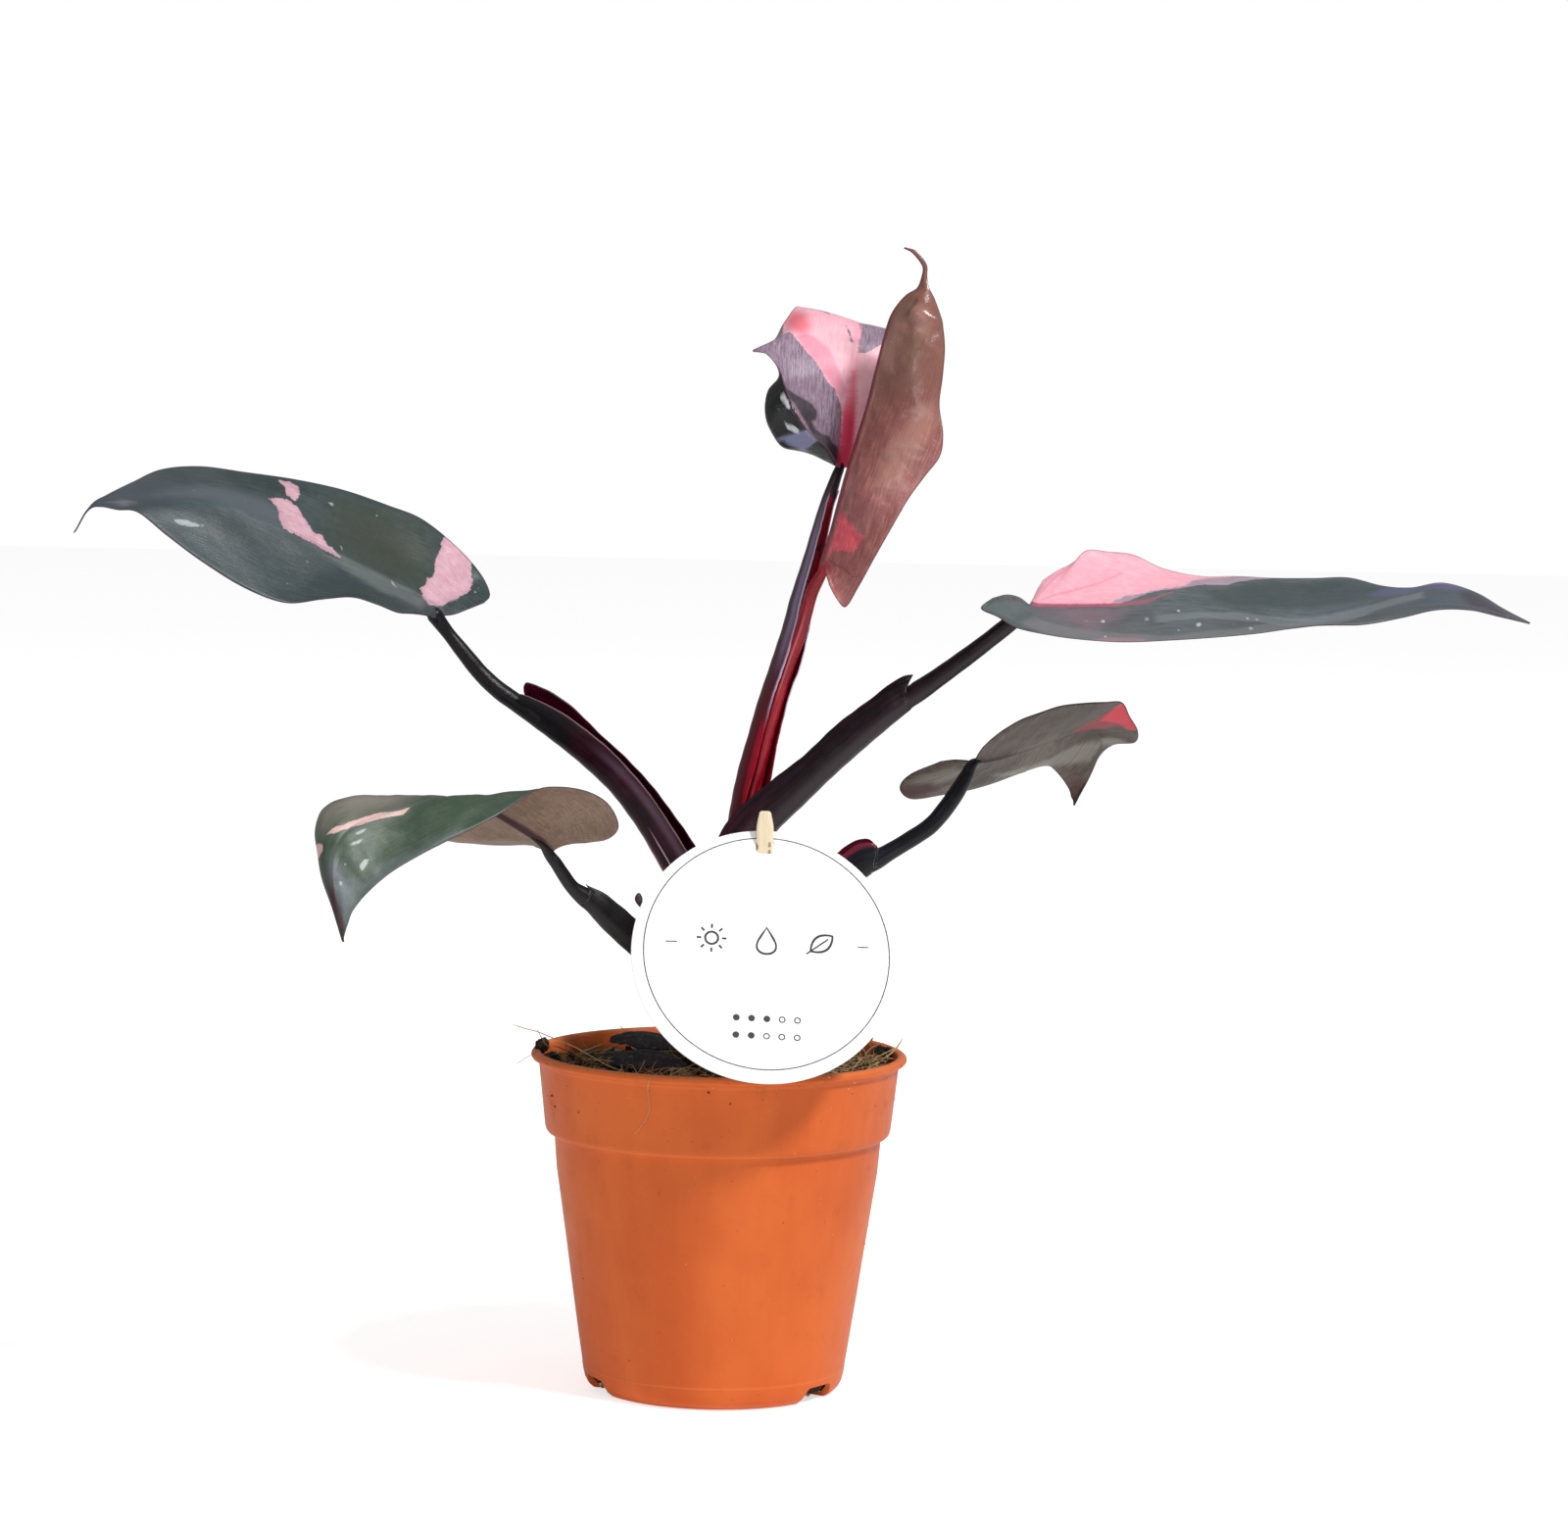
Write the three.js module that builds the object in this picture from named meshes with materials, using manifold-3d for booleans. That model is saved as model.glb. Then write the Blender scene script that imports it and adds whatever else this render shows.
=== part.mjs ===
import * as THREE from 'three';
import { mergeVertices } from 'three/addons/utils/BufferGeometryUtils.js';
import Module from 'manifold-3d';

// Heart-leaved climbing aroid in a 12 cm nursery pot. Millimetres, +Z up, the
// origin is the centre of the pot's underside, -Y is the side the label faces.

// ---- driving dimensions ----
const POT_HEIGHT = 108;
const POT_LIP_RADIUS = 60;
const POT_FOOT_RADIUS = 37.8;
const NOTCH_COUNT = 3;
const NOTCH_FIRST_ANGLE = -35;      // degrees from +X
const NOTCH_WIDTH_FOOT = 16;
const NOTCH_WIDTH_TOP = 9.5;
const NOTCH_HEIGHT = 3.9;
const NOTCH_DEPTH = 9;
const SOIL_TOP = 101.5;
const SOIL_BOTTOM = 1.9;
const GAP = 0.35;                    // clear space between touching pieces
const LEAF_THICKNESS = 0.9;
const LEAF_ROWS = 24;                // strips from the leaf base to its tip
const LEAF_HALF_COLS = 4;            // strips from midrib to margin
const LABEL_RADIUS = 41.2;
const LABEL_THICKNESS = 1.0;
const LABEL_CENTRE = [14.4, -55.6, 145.2];
const LABEL_NORMAL = [0.1, -0.8807, 0.463];
const STICK_WIDTH = 5.4;
const STICK_THICKNESS = 1.8;
const STICK_TOP = 188.8;
const STICK_BOTTOM = 52;
const STICK_X = 13.4;
const STICK_Y = -39.1;

// ---- control nets of the blades ----
// One row per side vein: left margin, two points, midrib, two points, right
// margin. The first row runs along the notch of the heart, the last is the tip.
const LEAF_NETS = {
  leaf_a: [
    [[-95.2, -19, 246.9], [-93.1, -14, 245.7], [-91.3, -9, 244.9], [-89.7, -6, 245.7], [-86.5, -3, 245.9], [-81.8, 1, 247.7], [-77.4, 5, 249.5]],
    [[-98.5, -24, 247.1], [-95.3, -18, 246.8], [-92.9, -12, 246.9], [-90.6, -6, 247.9], [-86.5, 1, 250.1], [-81, 7, 251.2], [-76, 11, 252]],
    [[-102.2, -30, 247.6], [-98.9, -23, 247.6], [-95.8, -15, 248.5], [-93.1, -7, 249.7], [-88.9, 4, 253], [-83.9, 11, 255.6], [-79.5, 16, 258.3]],
    [[-108, -34, 250.1], [-104.7, -27, 249.8], [-101.1, -18, 250.7], [-97.9, -9, 252.2], [-94.1, 1, 257.7], [-90.1, 9, 262.5], [-87.1, 15, 266.7]],
    [[-116, -37, 252.5], [-112.4, -30, 252.3], [-108.3, -21, 253.2], [-104.8, -12, 255.3], [-102.4, -1, 262.3], [-99.7, 7.5, 269.5], [-98.2, 14.5, 275.3]],
    [[-124.8, -40, 251.7], [-120.9, -33, 253.4], [-117.2, -24, 256.5], [-114, -16, 260.5], [-112.3, -5, 267.5], [-110.4, 4.5, 274.4], [-108.6, 11.5, 279.5]],
    [[-135.6, -43, 250.6], [-131.9, -36, 254], [-128.2, -28, 259.5], [-124.8, -20, 266.3], [-124.4, -9, 273], [-123.4, -0.5, 279.6], [-122.9, 6.5, 284.4]],
    [[-147.7, -46, 255], [-143.3, -40, 258.5], [-139.4, -32, 264.3], [-135.7, -24, 272], [-136.6, -13.5, 277.8], [-137.1, -6.5, 283.5], [-137.9, 0.5, 287.6]],
    [[-160.6, -49, 263], [-155.7, -43, 265.9], [-150.5, -36, 270.9], [-146.3, -28, 277.1], [-148.4, -18, 282], [-150.9, -10, 286], [-153, -3, 289.6]],
    [[-171.4, -50, 270.9], [-166.7, -45, 273.3], [-161.9, -40, 276.5], [-157, -33, 280.7], [-160, -24, 285], [-163.4, -16, 288.4], [-166.1, -10, 291.3]],
    [[-180.2, -50, 277.7], [-176.4, -47, 278.9], [-172.4, -43, 280.3], [-168.2, -38, 281.9], [-171.4, -30, 285.2], [-174.4, -24, 288.3], [-177.3, -18, 290.3]],
    [[-186.5, -50, 278.4], [-184, -48, 279], [-181.6, -46, 280.2], [-179.3, -43, 281.7], [-181.2, -38, 283.7], [-183, -34, 285.3], [-184.9, -29, 286.4]],
    [[-191.6, -50, 279.2], [-190.4, -49.5, 279.4], [-189.4, -48.5, 279.8], [-188.4, -47, 280.7], [-189.3, -45, 281.6], [-190.2, -43, 282.1], [-190.9, -42, 282.7]],
    [[-195.2, -51, 278.1], [-195.1, -50.6, 278.4], [-195, -50.3, 278.7], [-194.9, -50, 279], [-194.8, -49.7, 279.3], [-194.7, -49.4, 279.6], [-194.6, -49, 279.8]],
    [[-199.4, -53.4, 271.2], [-199.3, -53.2, 271.3], [-199.3, -53.1, 271.3], [-199.2, -53, 271.4], [-199, -52.9, 271.5], [-199, -52.8, 271.5], [-198.9, -52.6, 271.6]],
  ],
  leaf_b1: [
    [[33.8, -1, 295.9], [33.2, 1, 295.4], [34.5, 4, 294.6], [35.5, 6, 294], [36.7, 6, 294.6], [37.9, 7, 295.2], [39.2, 8, 295.9]],
    [[30.6, -8, 300.9], [25.1, -4, 299.5], [30.4, 2, 297.6], [35.7, 6, 296.1], [39.5, 7, 296.8], [42.9, 9, 297.5], [46.4, 11, 298.1]],
    [[25.8, -12, 304.8], [16.7, -6, 300.9], [26.9, 1, 302.2], [36.3, 6, 299.2], [41.6, 8, 299.3], [47.3, 10, 299.4], [52.6, 13, 299.5]],
    [[22.1, -14, 309.4], [12.9, -7, 305.5], [24.3, 1, 306.8], [36.7, 6, 303], [42.8, 8, 302.5], [49.4, 11, 302.5], [56.3, 15, 303.2]],
    [[19.2, -13, 314.8], [10.9, -7, 311.6], [23.3, 1, 312.4], [37.1, 6, 307.3], [43.9, 8, 307.1], [51.5, 12, 307.9], [59.4, 17, 308.9]],
    [[16.9, -9, 320.3], [12, -4, 318.3], [23.8, 2, 317.3], [37.4, 6, 312.3], [44.8, 9, 313], [52.9, 13, 314.4], [61.8, 19, 316.4]],
    [[15, -5, 325.2], [16.3, -1, 322.7], [25.6, 3, 322.3], [37.8, 6, 317.9], [45.6, 9, 319.3], [54.1, 14, 321.3], [63.2, 20, 324]],
    [[10.9, -2, 330], [16.4, 3, 328.6], [26.7, 5, 327.3], [38.3, 7, 323.5], [46.1, 10, 324.9], [54.3, 15, 327.2], [63.8, 22, 330.2]],
    [[6.5, 3, 331], [17.6, 8, 333.6], [28.2, 8, 331.7], [38.8, 8, 328.8], [46.6, 11, 329.9], [54.8, 17, 331.9], [63.8, 24, 334.3]],
    [[12.9, 14, 334.2], [20.3, 13, 338.4], [29.7, 11, 336.4], [39.4, 10, 333.4], [47.2, 14, 334.5], [55.1, 20, 335.7], [63.2, 27, 336.8]],
    [[15.9, 21, 339.6], [22.7, 18, 342.2], [30.9, 16, 340.5], [40, 14, 336.9], [47.3, 19, 337.1], [54.3, 25, 337.3], [61.4, 32, 337.5]],
    [[19.9, 28, 345.3], [24.6, 25, 344.5], [31.5, 22, 342.7], [40.3, 20, 339.5], [47.4, 26, 338.7], [53.5, 33, 338.3], [59.1, 39, 336.6]],
    [[21.2, 37, 344], [25.6, 34, 344.1], [31.9, 31, 343.2], [40.7, 28, 340.5], [47.2, 34, 339.1], [52.4, 41, 337.1], [57.1, 46, 333.7]],
    [[23.8, 45, 340.1], [27.6, 42, 341.4], [33, 39, 341.4], [40.9, 36, 339.6], [46.7, 42, 337.6], [51.4, 48, 334.3], [55.4, 52, 329.6]],
    [[26.8, 52, 333.5], [30, 49, 335.5], [34.7, 46, 336.2], [40.7, 43, 335.9], [45.7, 49, 333.2], [49.3, 53, 329.8], [52.7, 57, 325.1]],
    [[30.9, 56, 325.3], [33.1, 54, 327.6], [36.2, 51, 329.2], [40, 48, 329.9], [43.3, 53, 327.1], [46, 57, 324.3], [48.1, 60, 320.5]],
    [[34.9, 56, 318.3], [35.8, 55, 319.6], [37, 53, 320.9], [38.6, 52, 321.9], [39.9, 54, 320.7], [40.9, 56, 319.4], [41.6, 57, 317.5]],
    [[36.9, 54.3, 314.1], [36.9, 54.2, 314.2], [37, 54.1, 314.2], [37.2, 54, 314.2], [37.3, 54.1, 314.2], [37.4, 54.2, 314.2], [37.5, 54.3, 314.1]],
  ],
  leaf_b2: [
    [[32, -15, 258.1], [31.3, -13, 260.4], [30.7, -10, 262.4], [30.1, -7, 263.9], [31, -4, 262.8], [32.3, -2, 261.2], [33.6, 0, 259.3]],
    [[34.5, -18, 253.9], [33.8, -15, 256.9], [32.9, -12, 261.6], [30.6, -7.5, 266], [33.2, -3, 263.5], [35.5, -1, 260.3], [37.1, 1, 257.2]],
    [[37.3, -20, 251.6], [36.6, -17, 256.7], [34.7, -13, 262.3], [31.2, -8, 268.2], [34.4, -3, 265], [37, -1, 261], [39, 2, 256.5]],
    [[41.1, -21, 257.9], [39, -18, 260.5], [36.1, -14, 265.2], [32.1, -8.5, 271.4], [35.9, -3, 267.2], [39.1, 0, 263.1], [41.7, 2, 260]],
    [[45.8, -22, 266.9], [42.2, -19, 267.3], [37.9, -15, 270.8], [33.2, -9, 275.4], [37.7, -4, 271.6], [41.8, 0, 268.5], [45.3, 2, 266.9]],
    [[50.8, -23, 276.2], [45.4, -20, 275.7], [39.9, -16, 277.9], [34.6, -9, 281.3], [40, -5, 278.2], [45, -1, 276.6], [49.8, 2, 276.3]],
    [[56.1, -24, 285.8], [49.1, -21, 284.9], [42.4, -17, 285.9], [36.4, -9, 288.1], [42.3, -5, 286.6], [48.6, -1, 285.7], [54.9, 3, 286]],
    [[61.1, -24, 292.9], [52.6, -22, 292.7], [45, -17, 293.6], [38.1, -9, 295.2], [44.6, -5, 294.3], [51.8, 0, 293.4], [60, 3, 293.5]],
    [[65.6, -23, 299], [56.1, -22, 300.7], [47.3, -17, 301.6], [40.1, -9, 302.6], [47.2, -5, 302.1], [55.1, -0, 301.2], [64.5, 3, 300.1]],
    [[66.5, -22, 306], [57.8, -21, 308.3], [49.3, -17, 309.6], [42.1, -9, 310.3], [48.9, -5, 310.1], [56.8, 0, 309], [65.6, 3, 307.6]],
    [[65.2, -20, 315.1], [58.3, -20, 316.8], [50.7, -16, 317.9], [44.1, -9, 318.4], [50.3, -5, 318.2], [57.2, -1, 317.4], [64.1, 2, 316.2]],
    [[66.1, -18, 324], [59.3, -19, 325.7], [52.3, -16, 326.8], [46, -9, 326.4], [51.9, -6, 326.8], [58.5, -2, 326], [64.8, 1, 324.9]],
    [[66.6, -16, 333.5], [60.1, -18, 335.1], [53.7, -15, 335.3], [48, -9, 334.7], [53.6, -6, 335.4], [59.2, -3, 334.9], [65.2, 0, 334.2]],
    [[65.4, -14, 341.7], [60.5, -16, 343.1], [55.4, -14, 343.3], [50.3, -9, 342.7], [55, -7, 343.4], [59.3, -4, 343.2], [64.1, -2, 342.1]],
    [[63.3, -12, 347.8], [60.5, -13, 348.5], [57.2, -12, 348.6], [54.2, -9, 348.3], [56.7, -7.5, 348.6], [59.2, -6, 348.6], [62, -4, 347.9]],
    [[61.6, -11, 351.3], [60.4, -11, 351.6], [59.3, -10.5, 351.4], [58.1, -9, 351.1], [59, -8.5, 351.4], [60, -7.5, 351.6], [61.1, -6, 351.4]],
    [[60.8, -9.8, 354.8], [60.3, -10, 354.8], [59.9, -10, 354.8], [59.4, -9, 354.8], [59.9, -8.4, 354.8], [60.4, -8, 354.8], [60.7, -7.8, 354.8]],
    [[60.5, -9.8, 358.8], [60.2, -10, 358.7], [59.8, -9.8, 358.5], [59.5, -9, 358.4], [59.8, -8.6, 358.6], [60.1, -8.2, 358.7], [60.4, -8, 358.9]],
    [[57.2, -9.5, 362.9], [56.9, -9.6, 362.7], [56.6, -9.5, 362.5], [56.3, -9, 362.4], [56.6, -8.7, 362.5], [56.9, -8.5, 362.7], [57.1, -8.4, 362.9]],
    [[53.6, -9.2, 364], [53.5, -9.1, 364], [53.5, -9.1, 363.9], [53.4, -9, 363.8], [53.5, -8.9, 363.9], [53.5, -8.9, 364], [53.6, -8.8, 364]],
  ],
  leaf_c: [
    [[100.5, 13, 259.7], [98.7, 9, 257.1], [97, 4, 254.1], [95.6, 0, 252.4], [92.1, -6, 255], [87.8, -13, 256.1], [83.2, -20, 255.3]],
    [[105, 17, 262.5], [102.3, 12, 259.8], [99.5, 6, 256.3], [96.8, 0, 252.3], [91.1, -9, 253.1], [85.5, -18, 253.1], [79.3, -27, 252.3]],
    [[110.4, 20, 265.3], [106.7, 14, 261.4], [102.7, 7, 256.9], [98.7, 0, 252.2], [93.9, -10, 251], [89.1, -21, 250.2], [84.4, -31, 249.9]],
    [[114.9, 22, 269.2], [110.9, 16, 263.6], [106.5, 8, 257.6], [101.5, 0, 252.2], [97.6, -11, 250.2], [93.6, -23, 248.6], [89.8, -34, 246.9]],
    [[121.9, 24, 268.8], [117.2, 17, 263.3], [112.2, 9, 257.6], [106.8, 0, 252.3], [104, -12, 249.4], [101.2, -24, 247.2], [98.9, -35, 245]],
    [[130.2, 25, 267.9], [125.5, 18, 262.8], [120.3, 9, 257.8], [114.8, 0, 252.5], [112.9, -12, 249], [111, -24, 246.2], [109.2, -35, 243.7]],
    [[139.9, 26, 263.7], [135.6, 18, 260.5], [130.6, 9, 256.7], [125.1, 0, 253], [124.3, -12, 249.2], [123.7, -23, 245.8], [123, -34, 243]],
    [[152, 27, 261.4], [147.6, 18, 259.2], [142.8, 9, 256.3], [137.5, 0, 253.4], [137.7, -11, 249.7], [137.8, -22, 246.6], [138.2, -33, 243.8]],
    [[163.7, 27, 261.6], [159.5, 18, 259.1], [155, 9, 256.3], [149.9, 0, 253], [151, -10, 249.6], [152.3, -21, 247.1], [153.6, -31, 245]],
    [[175.7, 26, 261.3], [171.8, 18, 258.7], [167.2, 9, 255.3], [162.4, 0, 251.5], [163.5, -9, 249.2], [164.7, -19, 247.6], [165.9, -29, 246.3]],
    [[188.4, 24, 261.6], [184.3, 17, 258], [179.8, 9, 253.9], [175, 1, 249.2], [175.6, -8, 248.5], [176.3, -17, 248], [176.8, -26, 247.9]],
    [[199.1, 21, 262.1], [195.6, 15, 258], [191.5, 8, 253.3], [187.5, 1, 248.2], [187.2, -7, 248.3], [186.9, -15, 248.6], [186.9, -23, 249]],
    [[209.8, 18, 259.8], [206.4, 13, 256.8], [203.3, 7, 253.5], [199.8, 1, 250.3], [199.6, -6, 249.8], [199.6, -12, 249.3], [199.8, -18, 249.1]],
    [[218.4, 14, 259.6], [216.3, 10, 257.7], [214.2, 5, 255.7], [212.2, 1, 253.2], [211.9, -4, 252.4], [211.9, -9, 251.7], [211.9, -14, 251.2]],
    [[227.8, 10, 261.5], [226.5, 7, 259.3], [224.8, 3, 257], [223.5, 0, 254.7], [223.3, -4, 254.3], [223.2, -7, 254], [223, -11, 253.7]],
    [[237.9, 6, 258.8], [236.6, 3, 257.5], [235.4, 1, 256], [234.3, -1, 254.5], [234.3, -3, 254.2], [234.3, -5, 253.9], [234.2, -8, 253.8]],
    [[246.2, 2, 254], [245.8, 1, 253.4], [245.2, -1, 252.9], [244.7, -2, 252.3], [244.6, -3, 252], [244.3, -4, 251.8], [244, -5, 251.7]],
    [[254.2, -2.5, 249.9], [254.1, -2.7, 249.8], [254, -2.8, 249.8], [254, -3, 249.7], [253.9, -3.2, 249.7], [253.9, -3.3, 249.6], [253.8, -3.5, 249.6]],
  ],
  leaf_d: [
    [[69.1, 12, 201.2], [73.1, 10, 201.9], [76.9, 9, 201.9], [79.6, 8, 201.6], [80.2, 7, 202.9], [81, 5, 204.7], [82.1, 3, 206.6]],
    [[59.6, 18, 196.3], [66.8, 15, 197.9], [74.2, 12, 200.2], [81, 10, 201.8], [82, 7, 204.2], [83.4, 4, 207], [84.8, 1, 209.5]],
    [[56.4, 24, 191.3], [65.1, 20, 194.3], [74, 15, 198.1], [82.6, 12, 201.8], [84.6, 8, 205.2], [86.5, 3, 209], [88.7, 0, 212.7]],
    [[60.5, 30, 187.3], [68.8, 25, 191.4], [77.1, 20, 196.5], [84.9, 15, 202.1], [87.7, 9, 206.7], [90.8, 4, 211.5], [94, 0, 215.9]],
    [[70.8, 36, 188.3], [76.6, 31, 192], [82.6, 25, 196.8], [88.2, 19, 202.5], [91.9, 12, 207.8], [95.9, 6, 213.4], [99.6, 1, 218]],
    [[79.9, 42, 189.6], [84.1, 36, 193], [88.5, 30, 197.5], [92.6, 24, 203.1], [97.5, 17, 209.1], [102, 10, 214.8], [106.6, 5, 220.1]],
    [[87.9, 49, 191.4], [91.4, 42, 194.6], [94.5, 36, 198.7], [97.6, 30, 204], [103.4, 23, 210.1], [109.3, 17, 215.7], [114.5, 12, 220.7]],
    [[95.6, 56, 193.8], [98.4, 49, 196.4], [100.9, 43, 200.2], [103.3, 37, 205.5], [109.5, 31, 211.2], [116, 25, 216.2], [121.9, 20, 220.6]],
    [[102.7, 63, 195.7], [105.2, 57, 198.2], [107.4, 51, 201.9], [109.5, 45, 207.2], [115.8, 40, 211.9], [122.4, 35, 216.2], [128, 30, 219.9]],
    [[106.9, 70, 195.7], [110.1, 64, 199], [113, 59, 203.3], [115.4, 53, 208.7], [121.5, 49, 211.1], [127, 45, 213.4], [131.5, 42, 214.6]],
    [[109.6, 76, 193.6], [113.9, 72, 197.1], [117.4, 67, 202.5], [120.4, 61, 208.7], [125.8, 59, 209.4], [130.7, 56, 209.7], [135.1, 54, 209]],
    [[112.6, 81, 190.1], [116.6, 78, 193.7], [120.1, 74, 199.4], [123.6, 69, 206], [127.7, 68, 206.2], [131.9, 67, 205.4], [135.1, 66, 204.4]],
    [[114.9, 85, 186.5], [118, 83, 189.7], [121, 80, 194.6], [124.2, 77, 200.5], [125.8, 77, 201.9], [127.2, 78, 202.2], [128.8, 78, 202.5]],
    [[115.7, 87, 184], [117.6, 86, 186.2], [119.8, 85, 188.9], [122.2, 83, 193.1], [122.8, 84, 195], [123.2, 84, 196], [123.8, 85, 197.3]],
    [[116.5, 88, 182.6], [117.1, 87, 183.4], [118, 87, 184.4], [119.2, 86, 186.2], [119.5, 86, 187.2], [119.9, 87, 187.8], [120.2, 87, 188.8]],
    [[116.7, 88.2, 181], [116.7, 88.1, 181], [116.8, 88, 181], [116.8, 88, 181], [116.9, 88, 181.1], [117, 88, 181.1], [117, 88, 181.2]],
  ],
  leaf_e: [
    [[-42, -52, 179], [-46.2, -47, 178], [-49.7, -42, 176.6], [-52.6, -38, 174.7], [-54.9, -34, 174.5], [-56.3, -31, 174.7], [-58.1, -27, 175]],
    [[-34.6, -59, 180.9], [-40.8, -54, 180.7], [-47.1, -47, 179.9], [-53.5, -39, 175.7], [-55.6, -33, 175.3], [-57.8, -27, 175.3], [-60.5, -22, 175.2]],
    [[-31.2, -62, 185.3], [-39, -56, 186.1], [-47.7, -48, 183], [-54.4, -40, 176.7], [-57.2, -32, 176], [-60.3, -25, 175.4], [-64.1, -18, 174.8]],
    [[-34.2, -64, 192], [-41.4, -57, 190.6], [-49.2, -48, 185.1], [-55.5, -41, 178], [-59.5, -35, 177], [-63.8, -28, 175.9], [-68.9, -21, 174.8]],
    [[-40.5, -65, 195.9], [-45.9, -57, 192.7], [-51.9, -49, 186.1], [-57.3, -43, 179.3], [-61.8, -37, 177.7], [-67.4, -29.5, 176], [-74.3, -22, 175]],
    [[-49.2, -66, 197.3], [-51.8, -59, 194.2], [-55.7, -52, 188.4], [-59.9, -46, 181.4], [-65.4, -38.5, 178.4], [-72.2, -31, 176.4], [-79.8, -23.5, 175.6]],
    [[-56.8, -68, 196.1], [-58.4, -60, 195.1], [-60.7, -55, 190.7], [-63.6, -50, 184.1], [-69.5, -41.5, 179.9], [-76.6, -34, 176.9], [-86, -27, 176.5]],
    [[-67.4, -77, 189.3], [-67.2, -67, 194.8], [-67.3, -61, 192.9], [-68.4, -56, 187.6], [-75.9, -46.5, 183.3], [-83.9, -39.5, 180], [-93.5, -33, 178.6]],
    [[-79.8, -85, 183], [-77.2, -77, 190.9], [-75.7, -69, 194.5], [-76.4, -63, 191.7], [-84.6, -53, 188.5], [-92.6, -46, 185.6], [-101.5, -40, 182.8]],
    [[-89.1, -90, 178.3], [-87.1, -83, 186.2], [-85.6, -76, 192.4], [-84.9, -70, 194.1], [-93.5, -59, 192.5], [-101.1, -53, 190], [-109.4, -48, 187.6]],
    [[-98, -94, 172.9], [-96.2, -89, 179.8], [-94.4, -83, 186.6], [-93.2, -77, 191.7], [-101.3, -69, 193.4], [-108.6, -64, 192.8], [-115.5, -59.5, 190.3]],
    [[-104.6, -98, 167], [-103.6, -94, 174.3], [-102.7, -89, 182], [-102.3, -84, 188.9], [-109.9, -78.5, 193.6], [-115.6, -74.5, 192.7], [-120.4, -71, 189.8]],
    [[-108.4, -101, 162], [-108.2, -98, 169.6], [-108.9, -94, 178.3], [-110.6, -90, 185.5], [-114.6, -88, 188.5], [-118.8, -86.5, 188], [-121.5, -84.5, 184.5]],
    [[-109.6, -103, 158.4], [-110.5, -101, 164.9], [-112, -98, 172.5], [-114.7, -95, 179.4], [-116.9, -93.8, 180.4], [-118.9, -92, 179.6], [-120.1, -90, 177.6]],
    [[-110.2, -104, 156.4], [-111.1, -103, 160.7], [-112.8, -101, 166.3], [-114.8, -99, 171.9], [-116.2, -98, 172.2], [-117.3, -97, 171.8], [-118.2, -95.5, 170.9]],
    [[-110.5, -105, 154.8], [-111.2, -104, 157.3], [-112.3, -103, 160.7], [-113.3, -102, 163.5], [-113.7, -101.5, 163.4], [-114.2, -101, 163.1], [-114.6, -100, 162.6]],
    [[-110.5, -105.5, 153.3], [-110.6, -105.3, 153.3], [-110.7, -105.1, 153.3], [-110.8, -105, 153.3], [-110.9, -104.9, 153.4], [-111, -104.7, 153.4], [-111.1, -104.5, 153.3]],
  ],
};

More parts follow.
